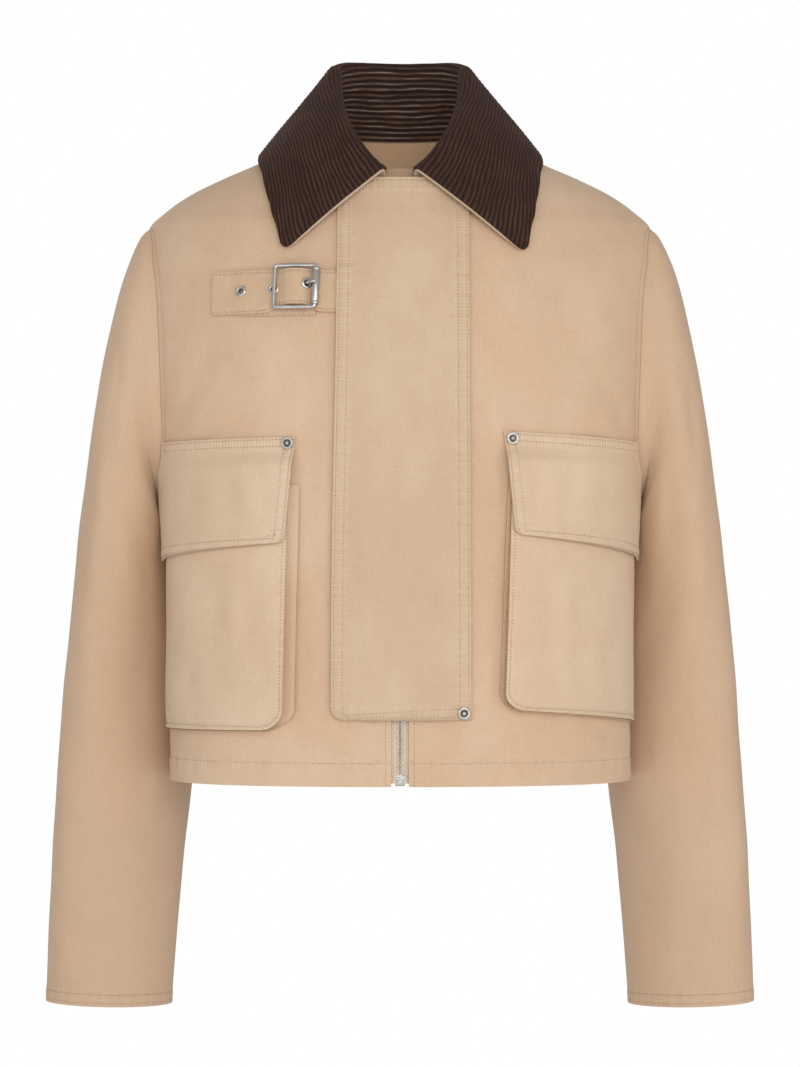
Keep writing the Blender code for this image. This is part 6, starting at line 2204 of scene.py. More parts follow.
    @staticmethod
    def beside_edge(outer: ClothGrid, distance: float, edge_row: int) -> tuple[Array, Array]:
        """A line on the pocket beside the edge of its face.

        Args:
            outer: The pocket's outer face.
            distance: How far in from the edge, below 0 for on the gusset.
            edge_row: The grid's row at that edge.

        Returns:
            Points and normals along the line.
        """
        count = outer.points.shape[1]
        columns = np.linspace(0.0, count - 1.001, 600)
        rows = [np.interp(outer.down[edge_row, int(round(c))] + distance, outer.down[:, int(round(c))],
                          np.arange(len(outer.points))) for c in columns]
        return outer.sample(np.array(rows), columns)

    def build_flap(self) -> None:
        """The flap: sewn flat along its top, then over the mouth and down the pocket's face."""
        plan = self.plan
        full = plan.flap_top_in - plan.flap_low_in
        near_low = 1.0 - self.flap_corner * (1.0 - np.linspace(0.0, 1.0, 9)) ** 1.6 / full
        level = np.concatenate([np.linspace(0.0, near_low[0], 46)[:-1], near_low])[:, None]
        share = np.concatenate([[0.0, 0.006, 0.012], np.linspace(0.02, 1.0, 60)])[None, :]
        top = mix(plan.flap_top_in, plan.flap_top_out, share)
        low = mix(plan.flap_low_in, plan.flap_low_out, share)
        z = mix(top, low, level)
        edge_x = mix(plan.flap_x_top, plan.flap_x_low, level)
        from_low = (1.0 - level) * full
        round_in = np.clip(self.flap_corner - from_low, 0.0, self.flap_corner)
        edge_x = edge_x + self.flap_corner - np.sqrt(self.flap_corner ** 2 - round_in ** 2)
        turn = mix(BODY.turn_at_x(edge_x, z), self.rear_turn(z), share)
        cover = self.height(*self.place_under(turn, z)) + 0.0014
        rise = ease(((top - low) * level - self.flap_sewn) / self.flap_rise)
        start = mix(LAY, cover, rise)
        points = BODY.skin(turn, z, start + self.flap_cloth)
        grid = ClothGrid(points, grid_normals(points, False, points * POCKET_OUTWARD))
        from_top, to_low, from_in = grid.down, grid.down[-1:] - grid.down, grid.across
        rear = grid.across[:, -1:] - grid.across
        edge = np.minimum(np.minimum(from_in, to_low), rear + 0.003)
        inside = ease((edge - 0.008) / 0.010) * ease((from_top - 0.010) / 0.008)
        x = points[..., 0]
        relief = (folds(POCKET_FLAP_CREASES, x, z) + sway(x, z, 0.00035, plan.phase + 1.0)) * inside
        relief = relief + 0.00045 * ease((0.0092 - edge) / 0.0014)
        rows_at = ([(edge, at) for at in self.flap_edge_rows] + [(from_top, at) for at in self.flap_top_rows])
        for away, at in rows_at:
            relief = relief - 0.00042 * hill(away - at, GROOVE)
        along = np.where(np.minimum(from_in, rear) < np.minimum(from_top, to_low), grid.down, grid.across)
        band = np.maximum(hill(edge - 0.0051, 0.0030), hill(from_top - 0.0045, 0.0026))
        relief = relief + 0.00022 * puckers(along, 2500.0, 2.5, 330.0) * band
        outer = grid.raised(relief * ease(rear / 0.004)).mirrored(plan.side)
        under = BODY.skin(turn, z, start) * np.array([plan.side, 1.0, 1.0])
        lines = tuple(SewnLine(away - at, along) for away, at in rows_at)
        name = "pocket_flap_" + plan.name
        piece = ride(cloth_wall(name + "_cloth", outer, under, PATCH, lines), name)
        rows = Stitching("stitches_" + name)
        for away in self.flap_edge_rows:
            rows.row(outer.line_across(away, True, away / 0.125, 0.985))
            rows.row(outer.line_down(away, False, 0.01, 1.0 - away / 0.09))
        for away in self.flap_top_rows:
            rows.row(outer.line_across(away, False, 0.012, 0.985))
        rows.build()

    def build(self) -> None:
        """Build the pocket and its flap."""
        self.build_bag()
        self.build_flap()
        LOG.info("pocket and flap: %s", self.plan.name)


POCKET_CREASES = (  # on the wearer's left; a is x and b is z
    Crease(0.112, -0.350, 0.116, -0.430, 0.0090, -0.0010, 0.003),
    Crease(0.150, -0.345, 0.140, -0.440, 0.0110, -0.0011, -0.004),
    Crease(0.096, -0.430, 0.130, -0.452, 0.0065, -0.0009, 0.002),
    Crease(0.128, -0.355, 0.131, -0.410, 0.0060, 0.0007, 0.001),
    Crease(0.160, -0.420, 0.168, -0.460, 0.0060, -0.0008, 0.001),
)
POCKET_FLAP_CREASES = (
    Crease(0.100, -0.258, 0.104, -0.318, 0.0075, -0.0006, 0.002),
    Crease(0.140, -0.262, 0.132, -0.325, 0.0090, -0.0008, -0.003),
    Crease(0.118, -0.262, 0.120, -0.300, 0.0060, 0.0005, 0.001),
    Crease(0.160, -0.275, 0.158, -0.330, 0.0070, -0.0006, 0.002),
)
POCKET_PLANS = (
    PocketPlan("right", -1, -0.2456, -0.2485, -0.3277, -0.3420, 0.0801, 0.0865, -0.4710, -0.4730, 0.0150,
               0.0012, 0.4, 0.0845, 0.0880, -0.2825, 0.0060),
    PocketPlan("left", 1, -0.2413, -0.2484, -0.3214, -0.3415, 0.0798, 0.0862, -0.4548, -0.4690, 0.0120,
               0.0060, 2.9, 0.0850, 0.0785, -0.2745, 0.0018),
)


# --- zip and its guard -----------------------------------------------------------------------------------
def tape_out(z: Array) -> Array:
    """The outer face of the zip tape, just behind the front's wall."""
    return -wall_at(z) - 0.0010


@dataclass
class FrontZip:
    """The closed zip behind the storm flap: tapes, teeth, box, slider, and the cloth guard behind it."""

    top: float = -0.0500
    chain_top: float = -0.0575
    low: float = -0.5070
    tape_low: float = -0.5126
    box_half: float = 0.0037
    tape: float = 0.0008
    tooth_pitch: float = 0.0023
    tooth: Size = (0.0028, 0.0019, 0.0010)
    tooth_x: float = 0.0013
    guard_cloth: float = 0.0014
    guard_half: float = 0.0185
    rows: int = 120

    def build_tapes(self) -> None:
        """The two woven tapes."""
        z = steps((self.low - 0.0001, 4), (self.low + 0.0007, 2), (self.top, self.rows), start=self.tape_low)
        z = z[:, None]
        first = mix(self.box_half + 0.0004, 0.0003, ease((z - self.low) / 0.0007))
        for side, name in ((1, "zip_tape_left"), (-1, "zip_tape_right")):
            x = side * mix(first, 0.0155, np.linspace(0.0, 1.0, 15)[None, :])
            grid = front_grid(x, z, tape_out(z))
            edge = x * side - 0.0025
            outer = grid.raised(0.0003 * hill(edge - 0.0004, 0.0006))
            inner = BODY.front_point(x, z, tape_out(z) - self.tape)
            piece = cloth_wall(name + "_weave", outer, inner, TAPE, (SewnLine(edge - 0.0060, grid.down),))
            ride(piece, name, slot="zip_tape")

    def build_guard(self) -> None:
        """The cloth guard, a little taller than the neckline."""
        z = np.linspace(-0.4920, -0.0330, 90)[:, None]
        x = np.linspace(-self.guard_half, self.guard_half, 23)[None, :]
        sewn = tape_out(z) - self.tape - LAY
        out = mix(-0.0068, sewn, ease((x - 0.004) / 0.009) * ease((-0.055 - z) / 0.020))
        grid = front_grid(x, z, out)
        inner = BODY.front_point(x, z, out - self.guard_cloth)
        edge = np.minimum(grid.down[-1:] - grid.down, x + self.guard_half)
        piece = cloth_wall("zip_guard_cloth", grid, inner, GUARD_CLOTH, (SewnLine(edge - 0.0035, grid.down),))
        ride(piece, "zip_guard")

    def model_tooth(self) -> bpy.types.Object:
        """One tooth: a block with a raised nose and softened edges.

        Returns:
            The tooth, to be copied.
        """
        tooth = Hard.start("tooth", bpy.ops.mesh.primitive_cube_add, self.tooth, size=1.0)
        with editing():
            Hard.pick_faces(tooth, 0, 1)
            bpy.ops.mesh.inset(thickness=0.00025)
            bpy.ops.mesh.extrude_region_move(TRANSFORM_OT_translate={"value": (0.0006, 0.0, 0.0)})
            bpy.ops.mesh.select_all(action="SELECT")
            bpy.ops.mesh.bevel(offset=0.00018, segments=1, affect="EDGES")
        return tooth

    def build_teeth(self) -> None:
        """The chain: the tooth copied down each tape, half a pitch apart, its meshing noses darkened as
        painted shade.
        """
        tooth = self.model_tooth()
        shape = np.array([vertex.co[:] for vertex in tooth.data.vertices])
        faces = [tuple(face.vertices) for face in tooth.data.polygons]
        bpy.data.objects.remove(tooth, do_unlink=True)
        for side in (1, -1):
            shift = 0.0 if side > 0 else self.tooth_pitch / 2.0
            z = np.arange(self.low + 0.0012 + shift, self.chain_top, self.tooth_pitch)
            middle = BODY.front_point(self.tooth_x * side, z, tape_out(z) - self.tape / 2.0)
            out = BODY.normal(BODY.turn_at_x(self.tooth_x * side, z), z)
            right = np.tile([-float(side), 0.0, 0.0], (len(z), 1))
            up = unit(np.cross(out, right))
            points = (middle[:, None] + shape[None, :, :1] * right[:, None]
                      + shape[None, :, 1:2] * out[:, None] + shape[None, :, 2:] * up[:, None]).reshape(-1, 3)
            copied = [tuple(i + k * len(shape) for i in face) for k in range(len(z)) for face in faces]
            name = "zip_teeth_left" if side > 0 else "zip_teeth_right"
            chain = finish_metal(mesh_object(name, points, copied), DULL_NICKEL, "zip_chain")
            # painted shade: the faces of the meshing noses take the dark nickel, standing in for the shade
            # between them
            chain.data.materials.append(SHADE_NICKEL.material())
            for face in chain.data.polygons:
                face.material_index = int(face.center.x * side < 0.0004)

    def build_box(self) -> None:
        """The retainer box that holds the tapes' ends at the hem."""
        place = Placing.on_front(0.0, (self.low - 0.0004 - 0.5144) / 2.0, tape_out(-0.511) - self.tape / 2.0)
        box = Hard.block("zip_box", (2.0 * self.box_half, 0.0072, 0.0028), 0.0007, 2)
        Hard.ridge(box, 2, 1, 0.0012, 0.0003)
        finish_metal(Hard.put(box, place), DULL_NICKEL, "zip_chain")

    def build_slider(self) -> None:
        """The slider at the top of the chain and its pull hanging over the teeth."""
        middle = tape_out(self.chain_top) - self.tape / 2.0
        body = Hard.block("zip_slider_body", (0.0074, 0.0080, 0.0042), 0.0011, 3)
        place = Placing.on_front(0.0, self.chain_top + 0.0044, middle)
        finish_metal(Hard.put(body, place), NICKEL, "zip_slider")
        tab = Hard.block("zip_slider_pull", (0.0048, 0.0270, 0.0009), 0.0004, 2)
        place = Placing.on_front(0.0, self.chain_top - 0.0142, middle + 0.0019)
        finish_metal(Hard.put(tab, place), NICKEL, "zip_slider")

    def build(self) -> None:
        """Build the zip and its guard."""
        self.build_tapes()
        self.build_guard()
        self.build_teeth()
        self.build_box()
        self.build_slider()
        LOG.info("zip: tapes, teeth, box, slider and guard")


# --- hard pieces -----------------------------------------------------------------------------------------
def finish_metal(piece: bpy.types.Object, finish: Finish, *nodes: str) -> bpy.types.Object:
    """Smooth a metal piece but for its edges, give it its finish, and hide the CAD nodes that it stands for.

    Args:
        piece: The piece.
        finish: Its finish.
        nodes: The CAD nodes that it stands for.

    Returns:
        The piece.
    """
    piece.data.materials.clear()
    piece.data.materials.append(finish.material())
    piece.data.shade_smooth()
    piece.data.set_sharp_from_angle(angle=math.radians(42.0))
    LOG.info("%s: %d faces", piece.name, len(piece.data.polygons))
    return ride(piece, *nodes, slot="fitting_metal")


@dataclass(frozen=True)
class Placing:
    """Where a hard piece sits: its middle and its own right, up and out directions."""

    origin: Vector
    right: Vector
    up: Vector
    out: Vector

    @classmethod
    def facing(cls, origin: Array, out: Array, out_by: float) -> "Placing":
        """A place that faces a given way.

        Args:
            origin: The point that it stands on.
            out: Its way out.
            out_by: How far out it lies.

        Returns:
            The place, with its right level and its up as steep as it can be.
        """
        out = Vector(out)
        right = Vector((0.0, 0.0, 1.0)).cross(out).normalized()
        right = right if right.x > 0.0 else -right
        up = out.cross(right).normalized()
        return cls(Vector(origin) + out * out_by, right, up if up.z > 0.0 else -up, out)

    @classmethod
    def on_front(cls, x: float, z: float, out_by: float) -> "Placing":
        """A place on the body's front, moved out."""
        turn, z = BODY.turn_at_x(np.array(x), np.array(z)), np.array(z)
        return cls.facing(BODY.at(turn, z), BODY.normal(turn, z), out_by)

    def matrix(self) -> Matrix:
        """The transform from a piece's own axes (right, up, out)."""
        turned = Matrix((self.right, self.up, self.out)).transposed().to_4x4()
        return Matrix.Translation(self.origin) @ turned


@contextmanager
def editing() -> Iterator[None]:
    """Edit the active piece with all of it selected, and leave edit mode at the end.

    Yields:
        Nothing, once edit mode is on.
    """
    bpy.ops.object.mode_set(mode="EDIT")
    bpy.ops.mesh.select_all(action="SELECT")
    yield
    bpy.ops.object.mode_set(mode="OBJECT")


class Hard:
    """Modelling steps that the metal pieces share."""

    @staticmethod
    def start(name: str, primitive: Callable[..., set[str]], scale: Size = (1.0, 1.0, 1.0),
              **settings: object) -> bpy.types.Object:
        """Add a primitive and apply its place and scale.

        Args:
            name: The piece's name.
            primitive: The operator that adds it.
            scale: Its scale.
            settings: The operator's own settings.

        Returns:
            The piece.
        """
        bpy.ops.object.select_all(action="DESELECT")
        primitive(**settings)
        piece = bpy.context.object
        piece.name = name
        piece.data.name = name
        piece.scale = scale
        bpy.ops.object.transform_apply(location=True, rotation=False, scale=True)
        return piece

    @classmethod
    def block(cls, name: str, size: Size, bevel: float, segments: int) -> bpy.types.Object:
        """A block with rounded edges.

        Args:
            name: The piece's name.
            size: Its size.
            bevel: The width of its rounded edges.
            segments: The steps of the rounding.

        Returns:
            The piece.
        """
        piece = cls.start(name, bpy.ops.mesh.primitive_cube_add, size, size=1.0)
        with editing():
            bpy.ops.mesh.bevel(offset=bevel, segments=segments, affect="EDGES")
        return piece

    @staticmethod
    def pick_faces(piece: bpy.types.Object, axis: int, sign: int) -> None:
        """Select only the faces that look along one way of an axis, in edit mode.

        Args:
            piece: The piece.
            axis: 0, 1 or 2 for x, y or z.
            sign: 1 or -1 for the way along it.
        """
        bpy.ops.mesh.select_all(action="DESELECT")
        body = bmesh.from_edit_mesh(piece.data)
        body.select_mode = {"FACE"}
        for face in body.faces:
            face.select_set(face.normal[axis] * sign > 0.95)
        body.select_flush_mode()
        bmesh.update_edit_mesh(piece.data)

    @classmethod
    def ridge(cls, piece: bpy.types.Object, axis: int, sign: int, inset: float, rise: float) -> None:
        """Raise a smaller panel on one side of a block.

        Args:
            piece: The block.
            axis: 0, 1 or 2 for x, y or z.
            sign: 1 or -1 for the way along it.
            inset: How far in from the side's edges the panel starts.
            rise: How high it is.
        """
        with editing():
            cls.pick_faces(piece, axis, sign)
            bpy.ops.mesh.inset(thickness=inset)
            bpy.ops.mesh.extrude_region_move(TRANSFORM_OT_translate={"value": (0.0, 0.0, rise)})
            bpy.ops.transform.resize(value=(0.86, 0.86, 1.0))

    @classmethod
    def turned(cls, name: str, profile: tuple[tuple[float, float], ...], sides: int = 40,
               capped: bool = True) -> bpy.types.Object:
        """A piece drawn out ring by ring from a circle.

        Args:
            name: The piece's name.
            profile: Each ring's radius and height.
            sides: The sides of each ring.
            capped: True for closed ends, False where the last ring meets the first.

        Returns:
            The piece.
        """
        (radius, height), rest = profile[0], profile[1:]
        piece = cls.start(name, bpy.ops.mesh.primitive_circle_add, vertices=sides, radius=radius,
                          fill_type="NGON" if capped else "NOTHING", location=(0.0, 0.0, height))
        with editing():
            for next_radius, next_height in rest:
                rise = (0.0, 0.0, next_height - height)
                bpy.ops.mesh.extrude_region_move(TRANSFORM_OT_translate={"value": rise})
                scale = next_radius / radius
                bpy.ops.transform.resize(value=(scale, scale, 1.0))
                radius, height = next_radius, next_height
            bpy.ops.mesh.select_all(action="SELECT")
            if not capped:
                bpy.ops.mesh.remove_doubles(threshold=1e-6)
            bpy.ops.mesh.normals_make_consistent(inside=False)
        if capped:
            cls.close_end(piece)
        return piece

    @staticmethod
    def close_end(piece: bpy.types.Object) -> None:
        """Fill the open end left by the last ring.

        Args:
            piece: The active piece.
        """
        with editing():
            body = bmesh.from_edit_mesh(piece.data)
            for edge in body.edges:
                edge.select_set(edge.is_boundary)
            bmesh.update_edit_mesh(piece.data)
            if any(edge.is_boundary for edge in body.edges):
                bpy.ops.mesh.edge_face_add()
            bpy.ops.mesh.select_all(action="SELECT")
            bpy.ops.mesh.normals_make_consistent(inside=False)

    @staticmethod
    def put(piece: bpy.types.Object, place: Placing) -> bpy.types.Object:
        """Move a piece's mesh from its own axes to its place on the jacket.

        Args:
            piece: The piece.
            place: Its place.

        Returns:
            The piece.
        """
        piece.data.transform(place.matrix())
        piece.data.update()
        return piece

    @staticmethod
    def modify(piece: bpy.types.Object, kind: str, **settings: object) -> None:
        """Put one modifier on a piece and apply it.

        Args:
            piece: The piece.
            kind: The modifier's kind.
            settings: Its settings.
        """
        bpy.ops.object.select_all(action="DESELECT")
        piece.select_set(True)
        bpy.context.view_layer.objects.active = piece
        modifier = piece.modifiers.new(kind.lower(), kind)
        for key, value in settings.items():
            setattr(modifier, key, value)
        bpy.ops.object.modifier_apply(modifier=modifier.name)

    @classmethod
    def cut(cls, piece: bpy.types.Object, cutter: bpy.types.Object) -> None:
        """Cut a piece with another, which is then removed."""
        cls.modify(piece, "BOOLEAN", operation="DIFFERENCE", solver="EXACT", use_self=True, object=cutter)
        bpy.data.objects.remove(cutter, do_unlink=True)


@dataclass(frozen=True)
class Bend:
    """A smooth bend through points (right, out): its own places, slopes and run, all at even steps."""

    run: Array
    fine: Array
    right: Array
    out: Array
    slope: Array

    @classmethod
    def through(cls, path: list[tuple[float, float]], count: int) -> "Bend":
        """The bend through a path.

        Args:
            path: The points, right and out.
            count: How many places it is given at.

        Returns:
            The bend.
        """
        run = run_along(np.array(path))
        fine = np.linspace(0.0, run[-1], count)
        right, out = smooth_table(run, np.array(path), fine).T
        return cls(run, fine, right, out, unit(np.stack([np.gradient(right), np.gradient(out)], 1)))


# --- throat strap and buckle -----------------------------------------------------------------------------
@dataclass
class ThroatStrap:
    """The strap that comes out from under the storm flap and fastens in the buckle."""

    bar_x: float = -0.0798
    bar_z: float = -0.1308
    slope: float = 0.970
    cloth: float = 0.0020
    base_cloth: float = 0.0009
    stitch: float = 0.0022
    hidden_end: float = 0.016
    hole: float = 0.0026
    wire: float = 0.0017
    frame_out: float = 0.0081
    half_x: float = 0.0163
    half_z: float = 0.0168
    roller_half: float = 0.0146
    roller_radius: float = 0.0031
    prong_z: float = 0.0024
    bar_out: float = 0.0057
    rows = (  # along, lift, low, high; along runs from the centre bar towards the free end
        (-0.0426, 0.0005, -0.1491, -0.1165), (-0.0330, 0.0005, -0.1491, -0.1165),
        (-0.0240, 0.0008, -0.1492, -0.1165), (-0.0180, 0.0022, -0.1490, -0.1165),
        (-0.0150, 0.0025, -0.1478, -0.1164), (-0.0122, 0.0032, -0.1452, -0.1167),
        (-0.0085, 0.0056, -0.1446, -0.1170), (-0.0052, 0.0079, -0.1445, -0.1171),
        (0.0000, 0.0090, -0.1445, -0.1171), (0.0052, 0.0080, -0.1445, -0.1171),
        (0.0095, 0.0056, -0.1446, -0.1170), (0.0135, 0.0037, -0.1452, -0.1167),
        (0.0175, 0.0027, -0.1474, -0.1164), (0.0230, 0.0024, -0.1496, -0.1165),
        (0.0330, 0.0022, -0.1504, -0.1166), (0.0430, 0.0020, -0.1506, -0.1166),
        (0.0490, 0.0011, -0.1507, -0.1166), (0.0550, 0.0007, -0.1507, -0.1166),
        (0.0675, 0.0006, -0.1507, -0.1166),
    )
    eyelets = (("eyelet_1", -0.0078, -0.1287), ("eyelet_2", 0.0172, -0.1319), ("eyelet_3", 0.0436, -0.1329))

    def __post_init__(self) -> None:
        """Lay curves through the table and find the buckle's place."""
        columns = list(zip(*self.rows))
        self.lift, self.low, self.high = (Track(columns[0], column) for column in columns[1:])
        self.place = Placing.on_front(self.bar_x, self.bar_z, 0.0)

    def under(self, along: Array, z: Array) -> Array:
        """Points of the strap's underside."""
        return BODY.front_point(self.bar_x - along * self.slope, z, self.lift(along))

    def out(self, along: Array, z: Array) -> Array:
        """The way out of the strap's face.

        Args:
            along: Places along the strap.
            z: Their heights.

        Returns:
            A direction for each place.
        """
        step = 0.0008
        run = self.under(along - step, z) - self.under(along + step, z)
        rise = self.under(along, z + step) - self.under(along, z - step)
        return unit(np.cross(run, rise))

    def on_strap(self, along: float, z: float, lift: float) -> Placing:
        """A place on the strap's face for a fitting."""
        a, h = np.array(along), np.array(z)
        return Placing.facing(self.under(a, h), self.out(a, h), lift)

    def arc(self, radius: float, degrees: tuple[int, ...] | range) -> list[tuple[float, float]]:
        """Points round the centre bar, right and out."""
        turns = [math.radians(degree) for degree in degrees]
        return [(radius * math.cos(turn), self.bar_out + radius * math.sin(turn)) for turn in turns]

    def build_strap(self) -> None:
        """The strap with its stitched edges and eyelet holes."""
        along = np.linspace(self.rows[0][0], self.rows[-1][0], 150)[:, None]
        z = mix(self.low(along), self.high(along), np.linspace(0.0, 1.0, 41)[None, :])
        along = np.broadcast_to(along, z.shape)
        under, out = self.under(along, z), self.out(along, z)
        grid = ClothGrid(under + out * self.cloth, out)
        side = np.minimum(grid.across, grid.across[:, -1:] - grid.across)
        edge = np.minimum(side, grid.down + 0.0004)
        end = grid.down[-1:] - grid.down
        round_edge = -0.0005 * (1.0 - np.sqrt(1.0 - (1.0 - np.clip(side / 0.0010, 0.0, 1.0)) ** 2))
        relief = round_edge - 0.00030 * hill(edge - self.stitch, 0.0008) + sway(along * 3.0, z * 2.0, 0.00012)
        relief = relief + 0.00016 * np.sin(grid.down * 2400.0) * hill(edge - 0.0018, 0.0018)
        outer = grid.raised(np.where(end < self.hidden_end, np.minimum(relief, 0.0), relief))
        lines = (SewnLine(edge - self.stitch, grid.down),)
        piece = cloth_wall("strap_cloth", outer, under, STRAP_CLOTH, lines)
        for _, place, height in self.eyelets:
            cutter = Hard.turned("hole", ((self.hole, -0.003), (self.hole, 0.006)), 28)
            Hard.cut(piece, Hard.put(cutter, self.on_strap(place, height, 0.0)))
        ride(piece, "strap")
        rows = Stitching("stitches_strap", pitch=0.0023, length=0.0016, width=0.00042)
        for from_end in (False, True):
            rows.row(outer.line_down(self.stitch, from_end), 0.001, self.hidden_end)
        rows.row(outer.line_across(0.0018, False, 0.07, 0.93))
        rows.build()

    def build_base(self) -> None:
        """The strip sewn to the front under the buckle."""
        x = (self.bar_x - np.linspace(-0.0150, 0.0430, 40) * self.slope)[:, None]
        z = np.linspace(-0.1520, -0.1175, 26)[None, :]
        grid = front_grid(x, z, LAY + self.base_cloth)
        side = np.minimum(grid.across, grid.across[:, -1:] - grid.across)
        edge = np.minimum(side, np.minimum(grid.down, grid.down[-1:] - grid.down))
        lines = (SewnLine(edge - 0.0016, grid.down),)
        piece = cloth_wall("strap_base_cloth", grid, BODY.front_point(x, z, LAY), STRAP_CLOTH, lines)
        ride(piece, "strap_base")

    def build_loop(self) -> None:
        """The folded cloth loop round the centre bar, slotted for the prong."""
        thick, tail = 0.0008, 0.0098
        low = LAY + self.base_cloth + GAP + thick / 2.0
        upper = low + thick + GAP
        path = [(-tail, low), (-0.0070, low), (-0.0030, low)]
        path += self.arc(0.0021, (-70, -40, 0, 40, 80, 120, 160, 200))
        path += [(-0.0040, upper + 0.0012), (-0.0060, upper), (-tail + 0.0006, upper)]
        bend = Bend.through(path, 70)
        up = np.linspace(-0.0143, 0.0143, 26)[None, :, None] * np.array(self.place.up)
        faces = []
        for offset in (-thick / 2.0, thick / 2.0):
            right, out = bend.right - bend.slope[:, 1] * offset, bend.out + bend.slope[:, 0] * offset
            faces.append(np.array(self.place.origin) + right[:, None, None] * np.array(self.place.right)
                         + up + out[:, None, None] * np.array(self.place.out))
        outer, inner = faces
        piece = cloth_wall("buckle_loop_cloth", ClothGrid(outer, unit(outer - inner)), inner, STRAP_CLOTH)
        slot = Hard.block("slot", (0.0070, 0.0036, 0.0100), 0.0002, 1)
        slot.data.transform(Matrix.Translation((0.0001, self.prong_z, low + thick / 2.0 + 0.0051)))
        Hard.cut(piece, Hard.put(slot, self.place))
        ride(piece, "buckle_loop")

    def build_frame(self) -> None:
        """The buckle's frame: a rounded plate opened by an inset, drawn out and softened, with its bars."""
        size = (2.0 * (self.half_x + self.wire), 2.0 * (self.half_z + self.wire), 1.0)
        metal = Hard.start("buckle_frame_metal", bpy.ops.mesh.primitive_plane_add, size, size=1.0)
        with editing():
            bpy.ops.mesh.bevel(offset=0.0040, segments=5, affect="VERTICES")
            bpy.ops.mesh.select_all(action="SELECT")
            bpy.ops.mesh.inset(thickness=2.0 * self.wire)
            bpy.ops.mesh.delete(type="ONLY_FACE")
            bpy.ops.mesh.select_all(action="SELECT")
            bpy.ops.mesh.extrude_region_move(TRANSFORM_OT_translate={"value": (0.0, 0.0, 2.0 * self.wire)})
            bpy.ops.mesh.select_all(action="SELECT")
            bpy.ops.transform.translate(value=(0.0, 0.0, self.frame_out - self.wire))
            bpy.ops.mesh.normals_make_consistent(inside=False)
        Hard.modify(metal, "SUBSURF", levels=2, render_levels=2)
        finish_metal(Hard.put(metal, self.place), NICKEL, "buckle_frame")
        bar = Hard.turned("buckle_bar_metal", ((0.0013, -self.half_z), (0.0013, self.half_z)), 20)
        bar.data.transform(Matrix.Translation((0.0, 0.0, self.bar_out)) @ Matrix.Rotation(-QUARTER, 4, "X"))
        finish_metal(Hard.put(bar, self.place), NICKEL, "buckle_frame")

    def build_roller(self) -> None:
        """The roller on the frame's front bar, with turned grooves near its ends."""
        end = ((0.62, 0.0), (0.90, 0.0), (1.0, 0.0005), (1.0, 0.0016), (0.93, 0.0019), (0.93, 0.0023),
               (1.0, 0.0026))
        lower = [(self.roller_radius * share, up - self.roller_half) for share, up in end]
        upper = [(radius, -height) for radius, height in reversed(lower)]
        roller = Hard.turned("buckle_roller_metal", (*lower, *upper), 36)
        roller.data.transform(Matrix.Translation((self.half_x, 0.0, self.frame_out))
                              @ Matrix.Rotation(-QUARTER, 4, "X"))
        finish_metal(Hard.put(roller, self.place), NICKEL, "buckle_roller")

    def build_prong(self) -> None:
        """The prong: from round the centre bar up through the strap and over the roller."""
        top = self.frame_out + self.roller_radius + GAP + 0.0009
        path = self.arc(0.0023, range(30, 301, 30))
        path += [(0.0036, 0.0050), (0.0058, 0.0057), (0.0078, 0.0070), (0.0103, 0.0092),
                 (self.half_x - 0.0030, top - 0.0002), (self.half_x - 0.0008, top + 0.0003),
                 (self.half_x + 0.0010, top + 0.0003)]
        bend = Bend.through(path, 46)
        past_eye = bend.fine - bend.run[9]
        radius = np.where(past_eye < 0.0, 0.0006, mix(0.0006, 0.00140, ease(past_eye / 0.005)))
        radius = radius * mix(0.62, 1.0, ease((bend.run[-1] - bend.fine) / 0.0022))
        prong = Hard.start("buckle_prong_metal", bpy.ops.mesh.primitive_circle_add, vertices=14, radius=1.0,
                           fill_type="NGON")
        with editing():
            for _ in bend.fine[1:]:
                bpy.ops.mesh.extrude_region_move(TRANSFORM_OT_translate={"value": (0.0, 0.0, 1.0)})
        Hard.close_end(prong)
        co = np.array([vertex.co[:] for vertex in prong.data.vertices])
        ring = np.clip(np.round(co[:, 2]).astype(int), 0, len(bend.fine) - 1)
        slope, r = bend.slope[ring], radius[ring]
        bent = np.stack([bend.right[ring] - slope[:, 1] * co[:, 0] * r, self.prong_z + co[:, 1] * r,
                         bend.out[ring] + slope[:, 0] * co[:, 0] * r], 1)
        prong.data.vertices.foreach_set("co", bent.astype(np.float32).ravel())
        Hard.close_end(prong)
        finish_metal(Hard.put(prong, self.place), NICKEL, "buckle_prong")

    def build_eyelets(self) -> None:
        """A rolled eyelet in each hole of the strap."""
        profile = ((0.0023, -self.cloth), (0.0023, 0.0003), (0.0030, 0.0004), (0.0043, 0.0003),
                   (0.0042, 0.0008), (0.0036, 0.0012), (0.0029, 0.0012), (0.0022, 0.0009),
                   (0.0019, 0.0003), (0.0019, -self.cloth), (0.0023, -self.cloth))
        for name, along, z in self.eyelets:
            piece = Hard.turned(name + "_metal", profile, 36, capped=False)
            finish_metal(Hard.put(piece, self.on_strap(along, z, self.cloth)), NICKEL, name)

    def build(self) -> None:
        """Build the strap, its base and loop, the buckle and the eyelets."""
        self.build_base()
        self.build_strap()
        self.build_loop()
        self.build_frame()
        self.build_roller()
        self.build_prong()
        self.build_eyelets()
        LOG.info("throat strap and buckle")


